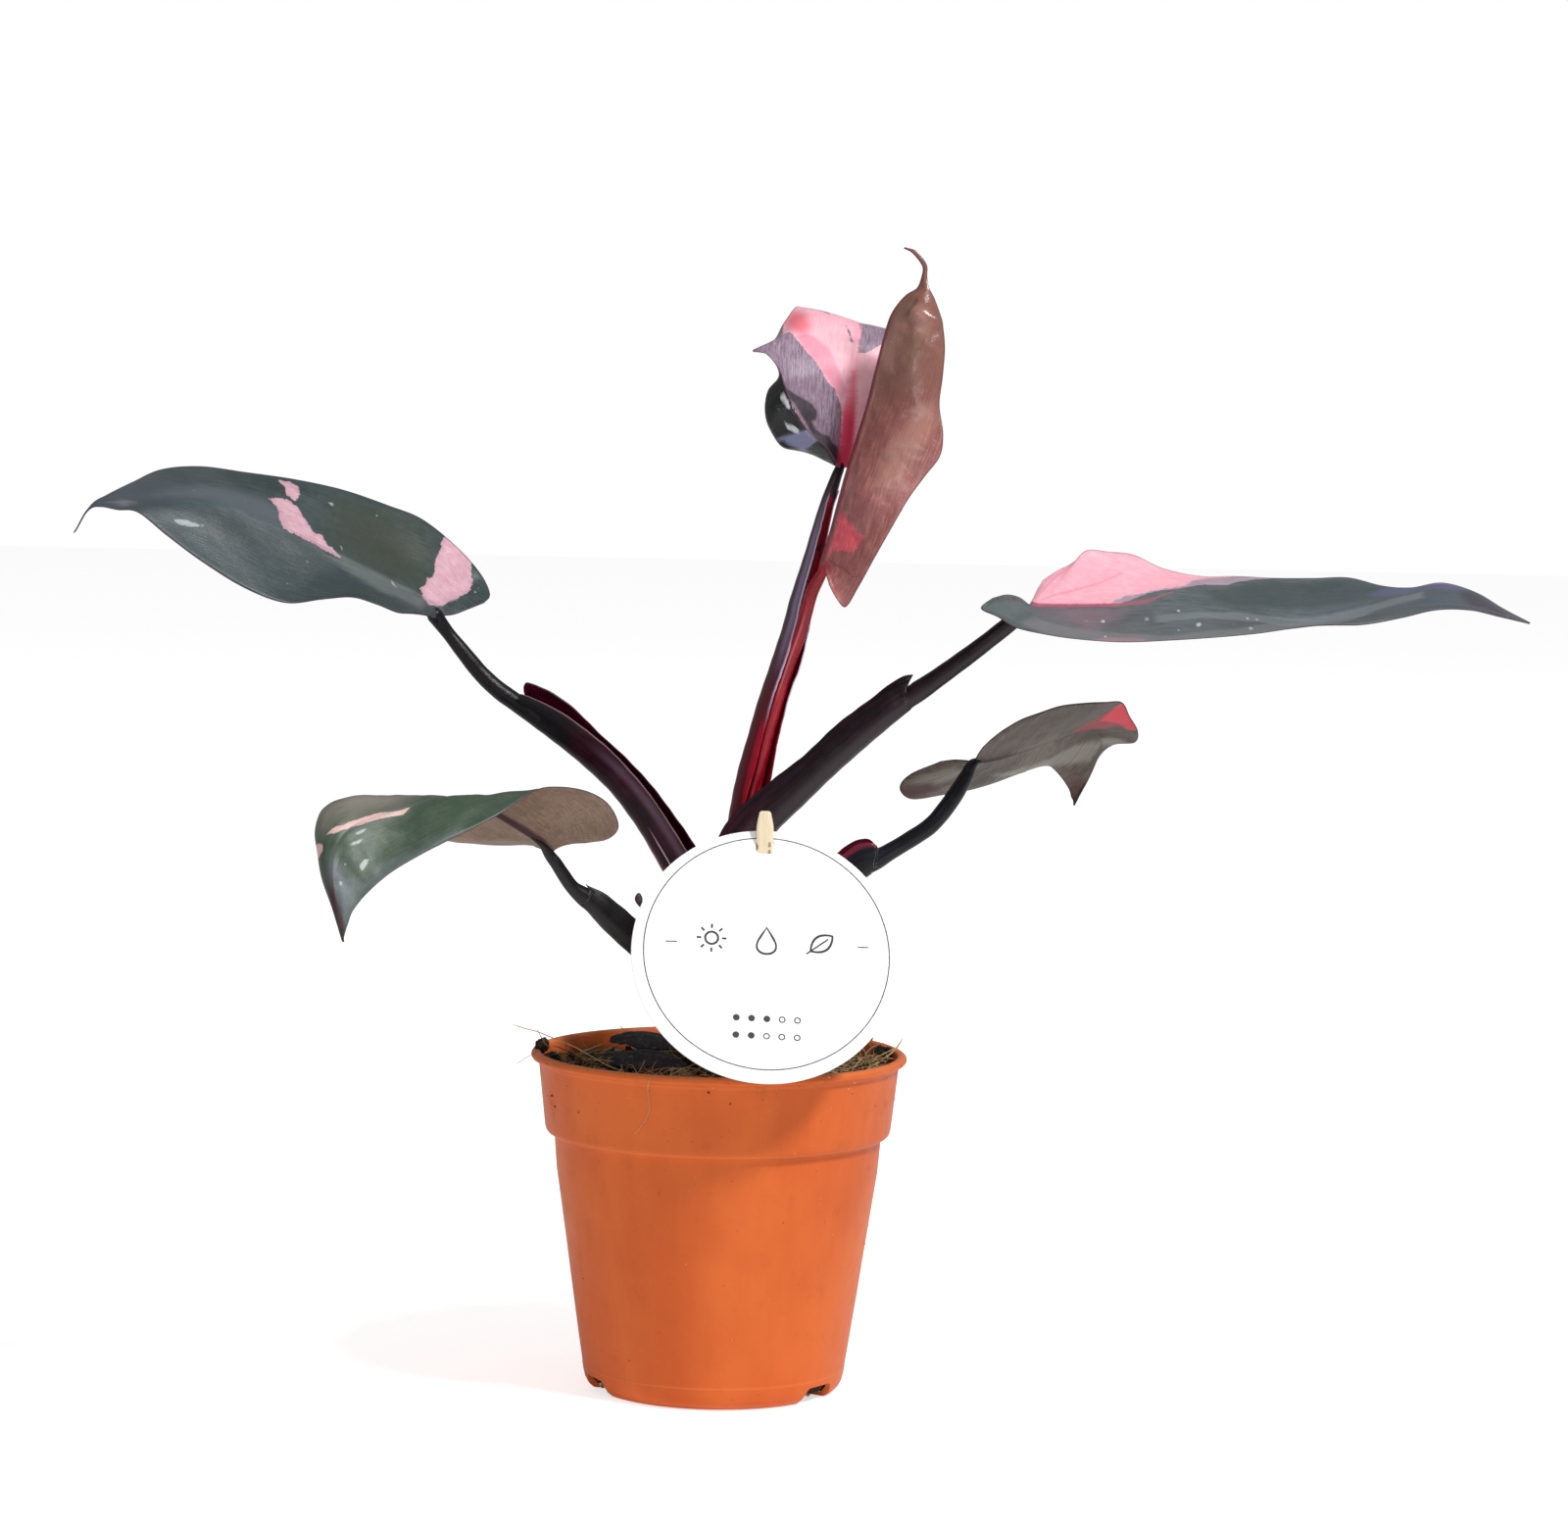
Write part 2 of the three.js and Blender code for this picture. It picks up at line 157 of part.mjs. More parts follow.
// ---- centre lines of the stalks ----
// open: the way the open side of the sheath faces.
// at: x, y, z, outer radius, sheath opening (0 closed round stalk, 1 open gutter)
const STALKS = {
  petiole_a: { open: [0.5, -0.4, 0.77], at: [
    [-88.8, -6.2, 243, 2, 0],
    [-86.8, -6.6, 239.6, 2.2, 0],
    [-82.6, -7, 233.8, 2.4, 0],
    [-77.4, -7, 227.7, 2.65, 0],
    [-71.9, -7, 222.7, 2.8, 0],
    [-66, -7, 218.6, 2.9, 0],
    [-61, -7, 215.9, 3.7, 0.7],
    [-54.1, -7, 212, 4.4, 1],
    [-46.3, -7, 206.7, 4.9, 1],
    [-38.5, -6.6, 200.5, 5.1, 1],
    [-31.2, -6.2, 193.4, 5.2, 1],
    [-24.9, -5.8, 185.7, 5.4, 1],
    [-19.5, -5.4, 178, 5.7, 1],
    [-14.4, -5, 169.9, 6, 1],
    [-9.6, -4.6, 161.9, 6.1, 1],
    [-5.7, -4.2, 154.7, 6, 0.8],
  ] },
  petiole_b1: { open: [0.45, -0.89, 0], at: [
    [34.6, 5.6, 291.8, 1.7, 0],
    [33.1, 5.2, 287.4, 2, 0],
    [31.3, 4.9, 282.4, 2.3, 0.5],
    [29, 4.6, 274.9, 2.7, 0.8],
    [26.7, 4.3, 267.1, 3, 1],
    [24.6, 4.1, 259.3, 3.4, 1],
    [22.6, 4, 250.8, 3.8, 1],
    [21.5, 4, 243.6, 4, 1],
    [18.9, 4, 232.7, 4.3, 1],
    [15.7, 4, 221.7, 4.6, 1],
    [12.3, 4, 209.1, 5, 1],
    [9.6, 4, 198.1, 5.6, 1],
    [7.9, 4, 189.6, 5.9, 1],
    [5.9, 4, 179.2, 6, 1],
    [4.1, 3.5, 171.3, 6, 0.8],
  ] },
  petiole_b2: { open: [0.45, -0.89, 0], at: [
    [30, -6.3, 262, 1.5, 0],
    [28.9, -5.2, 259.7, 1.8, 0],
    [27, -3.6, 255.9, 2, 0],
    [25.8, -2.3, 251.8, 2, 0],
    [23.8, -0.9, 243.9, 2.1, 0],
    [20.2, 1, 232.9, 2.1, 0],
    [17.2, 1.7, 223.4, 2.1, 0],
    [14.2, 1.9, 212.4, 2.2, 0],
    [11.6, 2.1, 201.4, 2.2, 0],
    [10.6, 2.2, 196.7, 2.2, 0],
  ] },
  petiole_c: { open: [-0.45, 0.35, 0.82], at: [
    [93.6, 2.2, 249.6, 1.9, 0],
    [89.9, 2.6, 246.3, 2.6, 0],
    [80.5, 2.6, 238.6, 2.7, 0],
    [72.8, 2, 232.7, 2.9, 0],
    [65.1, 1.2, 227, 3.1, 0],
    [60.8, 0.6, 224, 3.4, 0],
    [56.5, 0, 222.4, 4.7, 0.8],
    [49.7, -1, 217.3, 5, 1],
    [40.5, -2.4, 209.8, 5.5, 1],
    [34.4, -3.4, 204.1, 5.3, 1],
    [28.3, -4.4, 198.3, 5.4, 1],
    [19.1, -5.8, 190, 6, 1],
    [13, -6.8, 184.4, 6.4, 1],
    [8.2, -7.4, 178.7, 6.7, 1],
    [4.6, -7.4, 171.8, 6.7, 0.8],
  ] },
  petiole_d: { open: [-0.4, -0.12, 0.9], at: [
    [78.8, 7, 200.4, 1.8, 0],
    [77.5, 6.4, 197.6, 2.2, 0],
    [75.6, 5.6, 194.2, 2.5, 0],
    [71.4, 4, 187.7, 2.7, 0],
    [66.1, 2.4, 181.4, 2.7, 0],
    [59.3, 1, 176.7, 2.7, 0],
    [53.1, 0, 172.9, 2.8, 0],
    [49.4, -0.6, 170.7, 3.2, 0.1],
    [45.7, -1, 169.8, 4.4, 0.9],
    [40.8, -1.6, 167.2, 5, 1],
    [33.7, -2.4, 162.8, 5.3, 1],
    [24.4, -3.2, 156.7, 5.5, 1],
    [16.8, -4, 151, 5.6, 1],
    [10, -4.4, 145.6, 5.6, 0.8],
  ] },
  petiole_e: { open: [0.5, 0.3, 0.8], at: [
    [-53.2, -38, 173.1, 1.9, 0],
    [-51.7, -37.5, 171, 2.3, 0],
    [-49.2, -36.5, 167.2, 2.6, 0],
    [-45.6, -35, 163.2, 2.9, 0],
    [-41.9, -33.4, 160.1, 3.4, 0.4],
    [-38.6, -32, 157.8, 3.8, 1],
    [-34.5, -30, 153.8, 4.3, 1],
    [-29.1, -27, 148.1, 4.8, 1],
    [-23.1, -21.5, 141.7, 5.3, 1],
    [-15.4, -15.5, 135.5, 5.6, 1],
    [-7.1, -9, 129.9, 5.8, 0.8],
  ] },
  main_stem: { open: [0, -1, 0], at: [
    [1.6, 0, 88.5, 6.2, 0],
    [1.3, 0, 105.5, 6.4, 0],
    [1.2, 0, 115, 6.6, 0],
    [1, 0, 124.5, 6.8, 0],
    [1.1, -0, 133.9, 7, 0],
    [1.3, 0, 143.4, 7, 0],
    [1.4, 0, 152.8, 7, 0],
    [1.9, 0, 160.6, 6.6, 0],
    [2.4, 0, 166.9, 5.4, 0],
  ] },
  dry_bud: { open: [0, -1, 0], at: [
    [-3.7, -7.8, 147.3, 0.9, 0],
    [-9.6, -12, 150.8, 0.7, 0],
    [-15.7, -16, 153.6, 0.55, 0],
    [-20.9, -19, 155.1, 0.45, 0],
    [-23.9, -20.5, 155.4, 0.4, 0],
    [-25.2, -21, 156.3, 0.45, 0],
    [-25.6, -21.2, 157.3, 0.9, 0],
    [-25.9, -21.2, 158.5, 1.25, 0],
    [-25.9, -21.2, 159.6, 1, 0],
    [-25.8, -21.2, 160.5, 0.35, 0],
  ] },
};

// ---- curve helpers ----
function catmull(p0, p1, p2, p3, t) {
  return p1.map((_, k) => 0.5 * (2 * p1[k] + (-p0[k] + p2[k]) * t
    + (2 * p0[k] - 5 * p1[k] + 4 * p2[k] - p3[k]) * t * t
    + (-p0[k] + 3 * p1[k] - 3 * p2[k] + p3[k]) * t * t * t));
}

function along(points, t) {
  const n = points.length;
  t = Math.min(Math.max(t, 0), n - 1);
  const i = Math.min(Math.floor(t), n - 2);
  const at = (k) => {
    if (k < 0) return points[0].map((v, c) => 2 * v - points[1][c]);
    if (k >= n) return points[n - 1].map((v, c) => 2 * v - points[n - 2][c]);
    return points[k];
  };
  return catmull(at(i - 1), at(i), at(i + 1), at(i + 2), t - i);
}

function geometryFrom(positions, triangles) {
  const g = new THREE.BufferGeometry();
  g.setAttribute('position', new THREE.Float32BufferAttribute(positions.flat(), 3));
  g.setIndex(triangles.flat());
  return g;
}

// ---- blade: a thin closed shell about the surface spanned by the net ----
function blade(net) {
  const rows = [];
  const cols = 2 * LEAF_HALF_COLS + 1;
  for (let i = 0; i <= LEAF_ROWS; i++) {
    const u = (i / LEAF_ROWS) * (net.length - 1);
    const r = [0, 1, 2, 3, 4, 5, 6].map((j) => along(net.map((row) => row[j]), u));
    const left = [r[3], r[2], r[1], r[0]];
    const right = [r[3], r[4], r[5], r[6]];
    const line = [];
    for (let j = LEAF_HALF_COLS; j > 0; j--) line.push(along(left, (3 * j) / LEAF_HALF_COLS));
    line.push(r[3]);
    for (let j = 1; j <= LEAF_HALF_COLS; j++) line.push(along(right, (3 * j) / LEAF_HALF_COLS));
    rows.push(line);
  }
  const V = (i, j) => new THREE.Vector3(...rows[i][j]);
  const normal = (i, j) => {
    const a = V(Math.min(i + 1, LEAF_ROWS), j).sub(V(Math.max(i - 1, 0), j));
    const b = V(i, Math.min(j + 1, cols - 1)).sub(V(i, Math.max(j - 1, 0)));
    return b.cross(a).normalize();
  };
  const top = [], under = [];
  for (let i = 0; i <= LEAF_ROWS; i++) {
    for (let j = 0; j < cols; j++) {
      const n = normal(i, j).multiplyScalar(LEAF_THICKNESS / 2);
      const p = V(i, j);
      top.push([p.x + n.x, p.y + n.y, p.z + n.z]);
      under.push([p.x - n.x, p.y - n.y, p.z - n.z]);
    }
  }
  const N = top.length;
  const id = (i, j) => i * cols + j;
  const tris = [];
  for (let i = 0; i < LEAF_ROWS; i++) {
    for (let j = 0; j < cols - 1; j++) {
      const a = id(i, j), b = id(i, j + 1), c = id(i + 1, j + 1), d = id(i + 1, j);
      tris.push([a, b, c], [a, c, d], [N + a, N + c, N + b], [N + a, N + d, N + c]);
    }
  }
  const rim = [];
  for (let j = 0; j < cols; j++) rim.push(id(0, j));
  for (let i = 1; i <= LEAF_ROWS; i++) rim.push(id(i, cols - 1));
  for (let j = cols - 2; j >= 0; j--) rim.push(id(LEAF_ROWS, j));
  for (let i = LEAF_ROWS - 1; i > 0; i--) rim.push(id(i, 0));
  for (let k = 0; k < rim.length; k++) {
    const a = rim[k], b = rim[(k + 1) % rim.length];
    tris.push([a, N + a, N + b], [a, N + b, b]);
  }
  return geometryFrom(top.concat(under), tris);
}

// ---- stalk: a round section that opens into a gutter where it is a sheath ----
const ARC = [];
for (let k = 0; k <= 10; k++) ARC.push(50 + (260 * k) / 10);
const GUTTER = [[0.6, -0.6], [0.24, -0.6], [-0.08, -0.42], [-0.2, 0], [-0.08, 0.42], [0.24, 0.6], [0.6, 0.6]];

function stalk(spec, extra = 0, steps = 1) {
  const n = spec.at.length;
  const open = new THREE.Vector3(...spec.open).normalize();
  const count = (n - 1) * steps;
  const rings = [];
  for (let s = 0; s <= count; s++) {
    const t = s / steps;
    const q = along(spec.at, t);
    const c = new THREE.Vector3(q[0], q[1], q[2]);
    const fwd = new THREE.Vector3(...along(spec.at, t + 0.05).slice(0, 3))
      .sub(new THREE.Vector3(...along(spec.at, t - 0.05).slice(0, 3))).normalize();
    const e1 = open.clone().addScaledVector(fwd, -open.dot(fwd)).normalize();
    const e2 = fwd.clone().cross(e1);
    const R = q[3] + extra;
    const w = extra > 0 ? 0 : Math.min(Math.max(q[4], 0), 1);
    const ring = [];
    for (const a of ARC) {
      const r = THREE.MathUtils.degToRad(a);
      ring.push([Math.cos(r), Math.sin(r)]);
    }
    GUTTER.forEach((g, k) => {
      const r = THREE.MathUtils.degToRad(-50 + (100 * (k + 1)) / (GUTTER.length + 1));
      ring.push([Math.cos(r) * (1 - w) + g[0] * w, Math.sin(r) * (1 - w) + g[1] * w]);
    });
    rings.push(ring.map(([x, y]) => c.clone().addScaledVector(e1, x * R).addScaledVector(e2, y * R).toArray()));
    if (s === 0) rings.start = [c, e1, R, w];
    if (s === count) rings.end = [c, e1, R, w];
  }
  const m = rings[0].length;
  const pos = rings.flat();
  const tris = [];
  for (let i = 0; i < rings.length - 1; i++) {
    for (let k = 0; k < m; k++) {
      const a = i * m + k, b = i * m + (k + 1) % m, c = (i + 1) * m + (k + 1) % m, d = (i + 1) * m + k;
      tris.push([a, b, c], [a, c, d]);
    }
  }
  // end caps, fanned from a point inside the solid part of the section
  [[rings.start, 0, false], [rings.end, (rings.length - 1) * m, true]].forEach(([e, base, far]) => {
    const [c, e1, R, w] = e;
    const p = c.clone().addScaledVector(e1, -0.5 * R * w);
    const id = pos.length;
    pos.push(p.toArray());
    for (let k = 0; k < m; k++) {
      const a = base + k, b = base + (k + 1) % m;
      tris.push(far ? [id, a, b] : [id, b, a]);
    }
  });
  return geometryFrom(pos, tris);
}

// ---- booleans ----
const wasm = await Module();
wasm.setup();

function toManifold(geometry) {
  const g = geometry.clone();
  g.deleteAttribute('normal');
  g.deleteAttribute('uv');
  const m = mergeVertices(g, 1e-4);
  const tri = new Uint32Array(m.index.array);
  const solid = new wasm.Manifold(new wasm.Mesh({
    numProp: 3,
    vertProperties: new Float32Array(m.attributes.position.array),
    triVerts: tri,
  }));
  return solid;
}

function toGeometry(solid) {
  const mesh = solid.getMesh();
  const g = new THREE.BufferGeometry();
  g.setAttribute('position', new THREE.BufferAttribute(new Float32Array(mesh.vertProperties), 3));
  g.setIndex(new THREE.BufferAttribute(new Uint32Array(mesh.triVerts), 1));
  return g;
}

// the largest body of a cut piece
function biggest(solid) {
  const parts = solid.decompose();
  parts.sort((a, b) => b.volume() - a.volume());
  return parts[0];
}

function lathe(profile, segments) {
  const g = new THREE.LatheGeometry(profile.map(([r, z]) => new THREE.Vector2(r, z)), segments);
  g.rotateX(Math.PI / 2);
  return g;
}

function signed(geometry) {
  // turn the triangles round where the volume comes out negative
  const g = geometry.index ? geometry.toNonIndexed() : geometry;
  const p = g.attributes.position;
  const a = new THREE.Vector3(), b = new THREE.Vector3(), c = new THREE.Vector3();
  let v = 0;
  for (let i = 0; i < p.count; i += 3) {
    a.fromBufferAttribute(p, i); b.fromBufferAttribute(p, i + 1); c.fromBufferAttribute(p, i + 2);
    v += a.dot(b.cross(c));
  }
  if (v >= 0) return geometry;
  const idx = geometry.index ? Array.from(geometry.index.array) : [...Array(p.count).keys()];
  for (let i = 0; i < idx.length; i += 3) [idx[i + 1], idx[i + 2]] = [idx[i + 2], idx[i + 1]];
  const out = geometry.clone();
  out.deleteAttribute('normal');
  out.deleteAttribute('uv');
  out.setIndex(idx);
  return out;
}

// ---- pot ----
const POT_PROFILE = [
  [0, 0], [POT_FOOT_RADIUS, 0], [39.2, 0.5], [40.5, 1.7], [41.3, 3.3], [41.8, 5.4],
  [51.3, 70], [52.3, 81.4], [54.2, 82], [55.3, 83.6], [57.3, 103.6], [59.4, 104.1], [POT_LIP_RADIUS, 105],
  [59.7, 107], [58.8, POT_HEIGHT], [57.5, POT_HEIGHT], [56.7, 107],
  [55.9, 103], [54.0, 83.6], [50.8, 80.6], [50.0, 70], [40.4, 6], [39.6, 3.6], [37.4, 1.5], [0, 1.5],
];

function makePot() {
  let pot = toManifold(signed(lathe(POT_PROFILE, 56)));
  for (let k = 0; k < NOTCH_COUNT; k++) {
    const a = THREE.MathUtils.degToRad(NOTCH_FIRST_ANGLE + (360 / NOTCH_COUNT) * k);
    const s = new THREE.Shape();
    s.moveTo(-NOTCH_WIDTH_FOOT / 2 - 0.6, -1);
    s.lineTo(NOTCH_WIDTH_FOOT / 2 + 0.6, -1);
    s.lineTo(NOTCH_WIDTH_FOOT / 2, 0);
    s.lineTo(NOTCH_WIDTH_TOP / 2 + 1.2, NOTCH_HEIGHT * 0.75);
    s.quadraticCurveTo(NOTCH_WIDTH_TOP / 2 + 0.6, NOTCH_HEIGHT, NOTCH_WIDTH_TOP / 2 - 0.6, NOTCH_HEIGHT);
    s.lineTo(-NOTCH_WIDTH_TOP / 2 + 0.6, NOTCH_HEIGHT);
    s.quadraticCurveTo(-NOTCH_WIDTH_TOP / 2 - 0.6, NOTCH_HEIGHT, -NOTCH_WIDTH_TOP / 2 - 1.2, NOTCH_HEIGHT * 0.75);
    s.lineTo(-NOTCH_WIDTH_FOOT / 2, 0);
    const tool = new THREE.ExtrudeGeometry(s, { depth: NOTCH_DEPTH, bevelEnabled: false, curveSegments: 3 });
    // the shape stands upright, its depth runs outward from the pot axis
    tool.applyMatrix4(new THREE.Matrix4().makeBasis(
      new THREE.Vector3(-Math.sin(a), Math.cos(a), 0),
      new THREE.Vector3(0, 0, 1),
      new THREE.Vector3(Math.cos(a), Math.sin(a), 0)));
    tool.translate(Math.cos(a) * 34, Math.sin(a) * 34, 0);
    pot = pot.subtract(toManifold(signed(tool)));
  }
  return biggest(pot);
}

// ---- soil ----
function makeSoil(cuts) {
  const SEG = 36, RINGS = 6;
  const inner = (z) => {
    // inner radius of the pot at a height
    const wall = [[1.5, 37.4], [3.6, 39.6], [6, 40.4], [70, 50.0], [80.6, 50.8], [83.6, 54.0], [103, 55.9], [108, 57.5]];
    for (let i = 0; i < wall.length - 1; i++) {
      if (z <= wall[i + 1][0]) {
        const t = (z - wall[i][0]) / (wall[i + 1][0] - wall[i][0]);
        return wall[i][1] + (wall[i + 1][1] - wall[i][1]) * t;
      }
    }
    return 57.5;
  };
  const levels = [SOIL_BOTTOM, 4, 7, 38, 70, 80.2, 84.6];
  const pos = [], tris = [];
  levels.forEach((z) => {
    for (let k = 0; k < SEG; k++) {
      const a = (2 * Math.PI * k) / SEG, r = inner(z) - GAP - 0.25;
      pos.push([Math.cos(a) * r, Math.sin(a) * r, z]);
    }
  });
  const bump = (x, y) => 1.3 * Math.sin(x * 0.16 + 1.1) * Math.cos(y * 0.13 - 0.4)
    + 0.9 * Math.sin(x * 0.31 - y * 0.27 + 2) + 0.7 * Math.cos(x * 0.12 + y * 0.4);
  for (let i = 0; i < RINGS; i++) {
    for (let k = 0; k < SEG; k++) {
      const a = (2 * Math.PI * k) / SEG;
      const r = (inner(SOIL_TOP) - GAP - 0.3) * (1 - i / RINGS);
      const x = Math.cos(a) * r, y = Math.sin(a) * r;
      pos.push([x, y, SOIL_TOP + bump(x, y) * (i === 0 ? 0.5 : 1) - (i === 0 ? 0.8 : 0)]);
    }
  }
  const ringCount = levels.length + RINGS;
  for (let i = 0; i < ringCount - 1; i++) {
    for (let k = 0; k < SEG; k++) {
      const a = i * SEG + k, b = i * SEG + (k + 1) % SEG, c = (i + 1) * SEG + (k + 1) % SEG, d = (i + 1) * SEG + k;
      tris.push([a, b, c], [a, c, d]);
    }
  }
  const top = pos.length;
  pos.push([0, 0, SOIL_TOP + bump(0, 0)]);
  const floor = pos.length;
  pos.push([0, 0, SOIL_BOTTOM]);
  for (let k = 0; k < SEG; k++) {
    const last = (ringCount - 1) * SEG;
    tris.push([last + k, last + (k + 1) % SEG, top], [(k + 1) % SEG, k, floor]);
  }
  let soil = toManifold(signed(geometryFrom(pos, tris)));
  for (const cut of cuts) soil = soil.subtract(cut);
  return biggest(soil);
}

// ---- label stick: flat, its top end rounded ----
function stickGeometry(extra) {
  const w = STICK_WIDTH / 2 + extra, t = STICK_THICKNESS + 2 * extra;
  const s = new THREE.Shape();
  const zt = STICK_TOP + extra, zb = STICK_BOTTOM - extra;
  s.moveTo(-w, zb + 1);
  s.lineTo(-w + 1, zb);
  s.lineTo(w - 1, zb);
  s.lineTo(w, zb + 1);
  s.lineTo(w, zt - 5);
  s.lineTo(w - 0.5, zt - 3.0);
  s.quadraticCurveTo(w - 1.0, zt - 0.4, w - 2.2, zt);
  s.lineTo(-w + 2.2, zt);
  s.quadraticCurveTo(-w + 1.0, zt - 0.4, -w + 0.5, zt - 3.0);
  s.lineTo(-w, zt - 5);
  const g = new THREE.ExtrudeGeometry(s, { depth: t, bevelEnabled: false, curveSegments: 4 });
  g.rotateX(Math.PI / 2);
  g.translate(STICK_X, STICK_Y + t / 2, 0);
  return signed(g);
}

// ---- label: round card, slotted for the stick ----
function makeLabel(stickCut) {
  const h = LABEL_THICKNESS / 2;
  const g = lathe([[0, -h], [LABEL_RADIUS - 0.25, -h], [LABEL_RADIUS, -h + 0.25], [LABEL_RADIUS, h - 0.25], [LABEL_RADIUS - 0.25, h], [0, h]], 56);
  const n = new THREE.Vector3(...LABEL_NORMAL).normalize();
  g.applyQuaternion(new THREE.Quaternion().setFromUnitVectors(new THREE.Vector3(0, 0, 1), n));
  g.translate(...LABEL_CENTRE);
  return biggest(toManifold(signed(g)).subtract(stickCut));
}

// ---- fallen dry sheath: a thin arched strip that lies on the soil ----
function makeDrySheath() {
  const path = [[-36, 36, 104.9], [-30, 34, 105.7], [-24, 30, 105.6], [-18, 25, 105.4], [-13, 19, 104.9]];
  const width = [1.2, 3.4, 3.8, 3.0, 1.0];
  const t = 0.8, M = 12, K = 4;
  const over = [], below = [];
  for (let i = 0; i <= M; i++) {
    const u = (i / M) * (path.length - 1);
    const c = new THREE.Vector3(...along(path, u));
    const f = new THREE.Vector3(...along(path, u + 0.05)).sub(new THREE.Vector3(...along(path, u - 0.05))).normalize();
    const side = f.clone().cross(new THREE.Vector3(0, 0, 1)).normalize();
    const w = along(width.map((v) => [v]), u)[0];
    for (let k = 0; k <= K; k++) {
      const s = (2 * k) / K - 1;
      const p = c.clone().addScaledVector(side, s * w);
      p.z += 1.3 * (1 - s * s) * (w / 3.8);
      over.push([p.x, p.y, p.z + t / 2]);
      below.push([p.x, p.y, p.z - t / 2]);
    }
  }
  const N = over.length, C = K + 1;
  const tris = [];
  for (let i = 0; i < M; i++) {
    for (let k = 0; k < K; k++) {
      const a = i * C + k, b = a + 1, c = (i + 1) * C + k + 1, d = c - 1;
      tris.push([a, b, c], [a, c, d], [N + a, N + c, N + b], [N + a, N + d, N + c]);
    }
  }
  const rim = [];
  for (let k = 0; k < C; k++) rim.push(k);
  for (let i = 1; i <= M; i++) rim.push(i * C + K);
  for (let k = K - 1; k >= 0; k--) rim.push(M * C + k);
  for (let i = M - 1; i > 0; i--) rim.push(i * C);
  for (let k = 0; k < rim.length; k++) {
    const a = rim[k], b = rim[(k + 1) % rim.length];
    tris.push([a, N + a, N + b], [a, N + b, b]);
  }
  return signed(geometryFrom(over.concat(below), tris));
}

// ---- assembly ----
const group = new THREE.Group();
group.name = 'potted_philodendron';

function add(name, geometry, color, roughness, metalness = 0) {
  const mesh = new THREE.Mesh(geometry, new THREE.MeshStandardMaterial({ color, roughness, metalness }));
  mesh.name = name;
  group.add(mesh);
}

const solid = (name, extra = 0) => toManifold(signed(stalk(STALKS[name], extra)));

const stemCut = solid('main_stem', GAP);
const stickCut = toManifold(stickGeometry(GAP));

add('pot', toGeometry(makePot()), '#c9652f', 0.45);
add('soil', toGeometry(makeSoil([stemCut, stickCut])), '#2c211b', 0.95);
add('main_stem', toGeometry(solid('main_stem')), '#4a3a2e', 0.7);

// sheath bases clasp the stem; each is cut back to clear the pieces it meets
const order = ['petiole_c', 'petiole_a', 'petiole_d', 'petiole_e', 'petiole_b1', 'petiole_b2'];
const colors = { petiole_a: '#2e1a20', petiole_b1: '#5a2a3a', petiole_b2: '#8d1230', petiole_c: '#33202a', petiole_d: '#33262c', petiole_e: '#231a1c' };
const meets = {
  petiole_c: [], petiole_a: ['petiole_c'], petiole_d: ['petiole_c', 'petiole_a'],
  petiole_e: ['petiole_a', 'petiole_d'], petiole_b1: ['petiole_c', 'petiole_a', 'petiole_b2'], petiole_b2: [],
};
for (const name of order) {
  let body = solid(name).subtract(stemCut);
  for (const other of meets[name]) body = body.subtract(solid(other, GAP));
  add(name, toGeometry(biggest(body)), colors[name], 0.4);
}

const leafColors = { leaf_a: '#3d4a46', leaf_b1: '#e5aab9', leaf_b2: '#7b4c42', leaf_c: '#43504d', leaf_d: '#6f6a60', leaf_e: '#61756a' };
for (const name of Object.keys(LEAF_NETS)) add(name, signed(blade(LEAF_NETS[name])), leafColors[name], 0.4);

add('dry_bud', signed(stalk(STALKS.dry_bud)), '#2c2228', 0.6);
add('dry_sheath', makeDrySheath(), '#30222c', 0.6);
add('label_disc', toGeometry(makeLabel(stickCut)), '#f2f2f2', 0.7);
add('label_stick', stickGeometry(0), '#dcc79c', 0.7);

export default group;
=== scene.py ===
import math

import bpy
import bmesh
import numpy as np
from mathutils import Matrix, Vector


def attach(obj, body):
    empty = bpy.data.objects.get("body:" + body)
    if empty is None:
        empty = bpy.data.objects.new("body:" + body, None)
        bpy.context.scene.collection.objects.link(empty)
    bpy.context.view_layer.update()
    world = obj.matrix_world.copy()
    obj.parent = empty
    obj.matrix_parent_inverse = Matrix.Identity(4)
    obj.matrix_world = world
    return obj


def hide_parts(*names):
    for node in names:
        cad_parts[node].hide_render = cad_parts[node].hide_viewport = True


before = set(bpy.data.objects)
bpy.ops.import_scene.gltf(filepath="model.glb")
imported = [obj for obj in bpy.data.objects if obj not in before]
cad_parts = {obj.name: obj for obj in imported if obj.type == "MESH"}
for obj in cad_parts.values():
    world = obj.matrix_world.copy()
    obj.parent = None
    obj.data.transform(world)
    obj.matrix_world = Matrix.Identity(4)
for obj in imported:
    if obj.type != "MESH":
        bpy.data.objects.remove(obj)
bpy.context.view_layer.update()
MM = 0.001
scene = bpy.context.scene

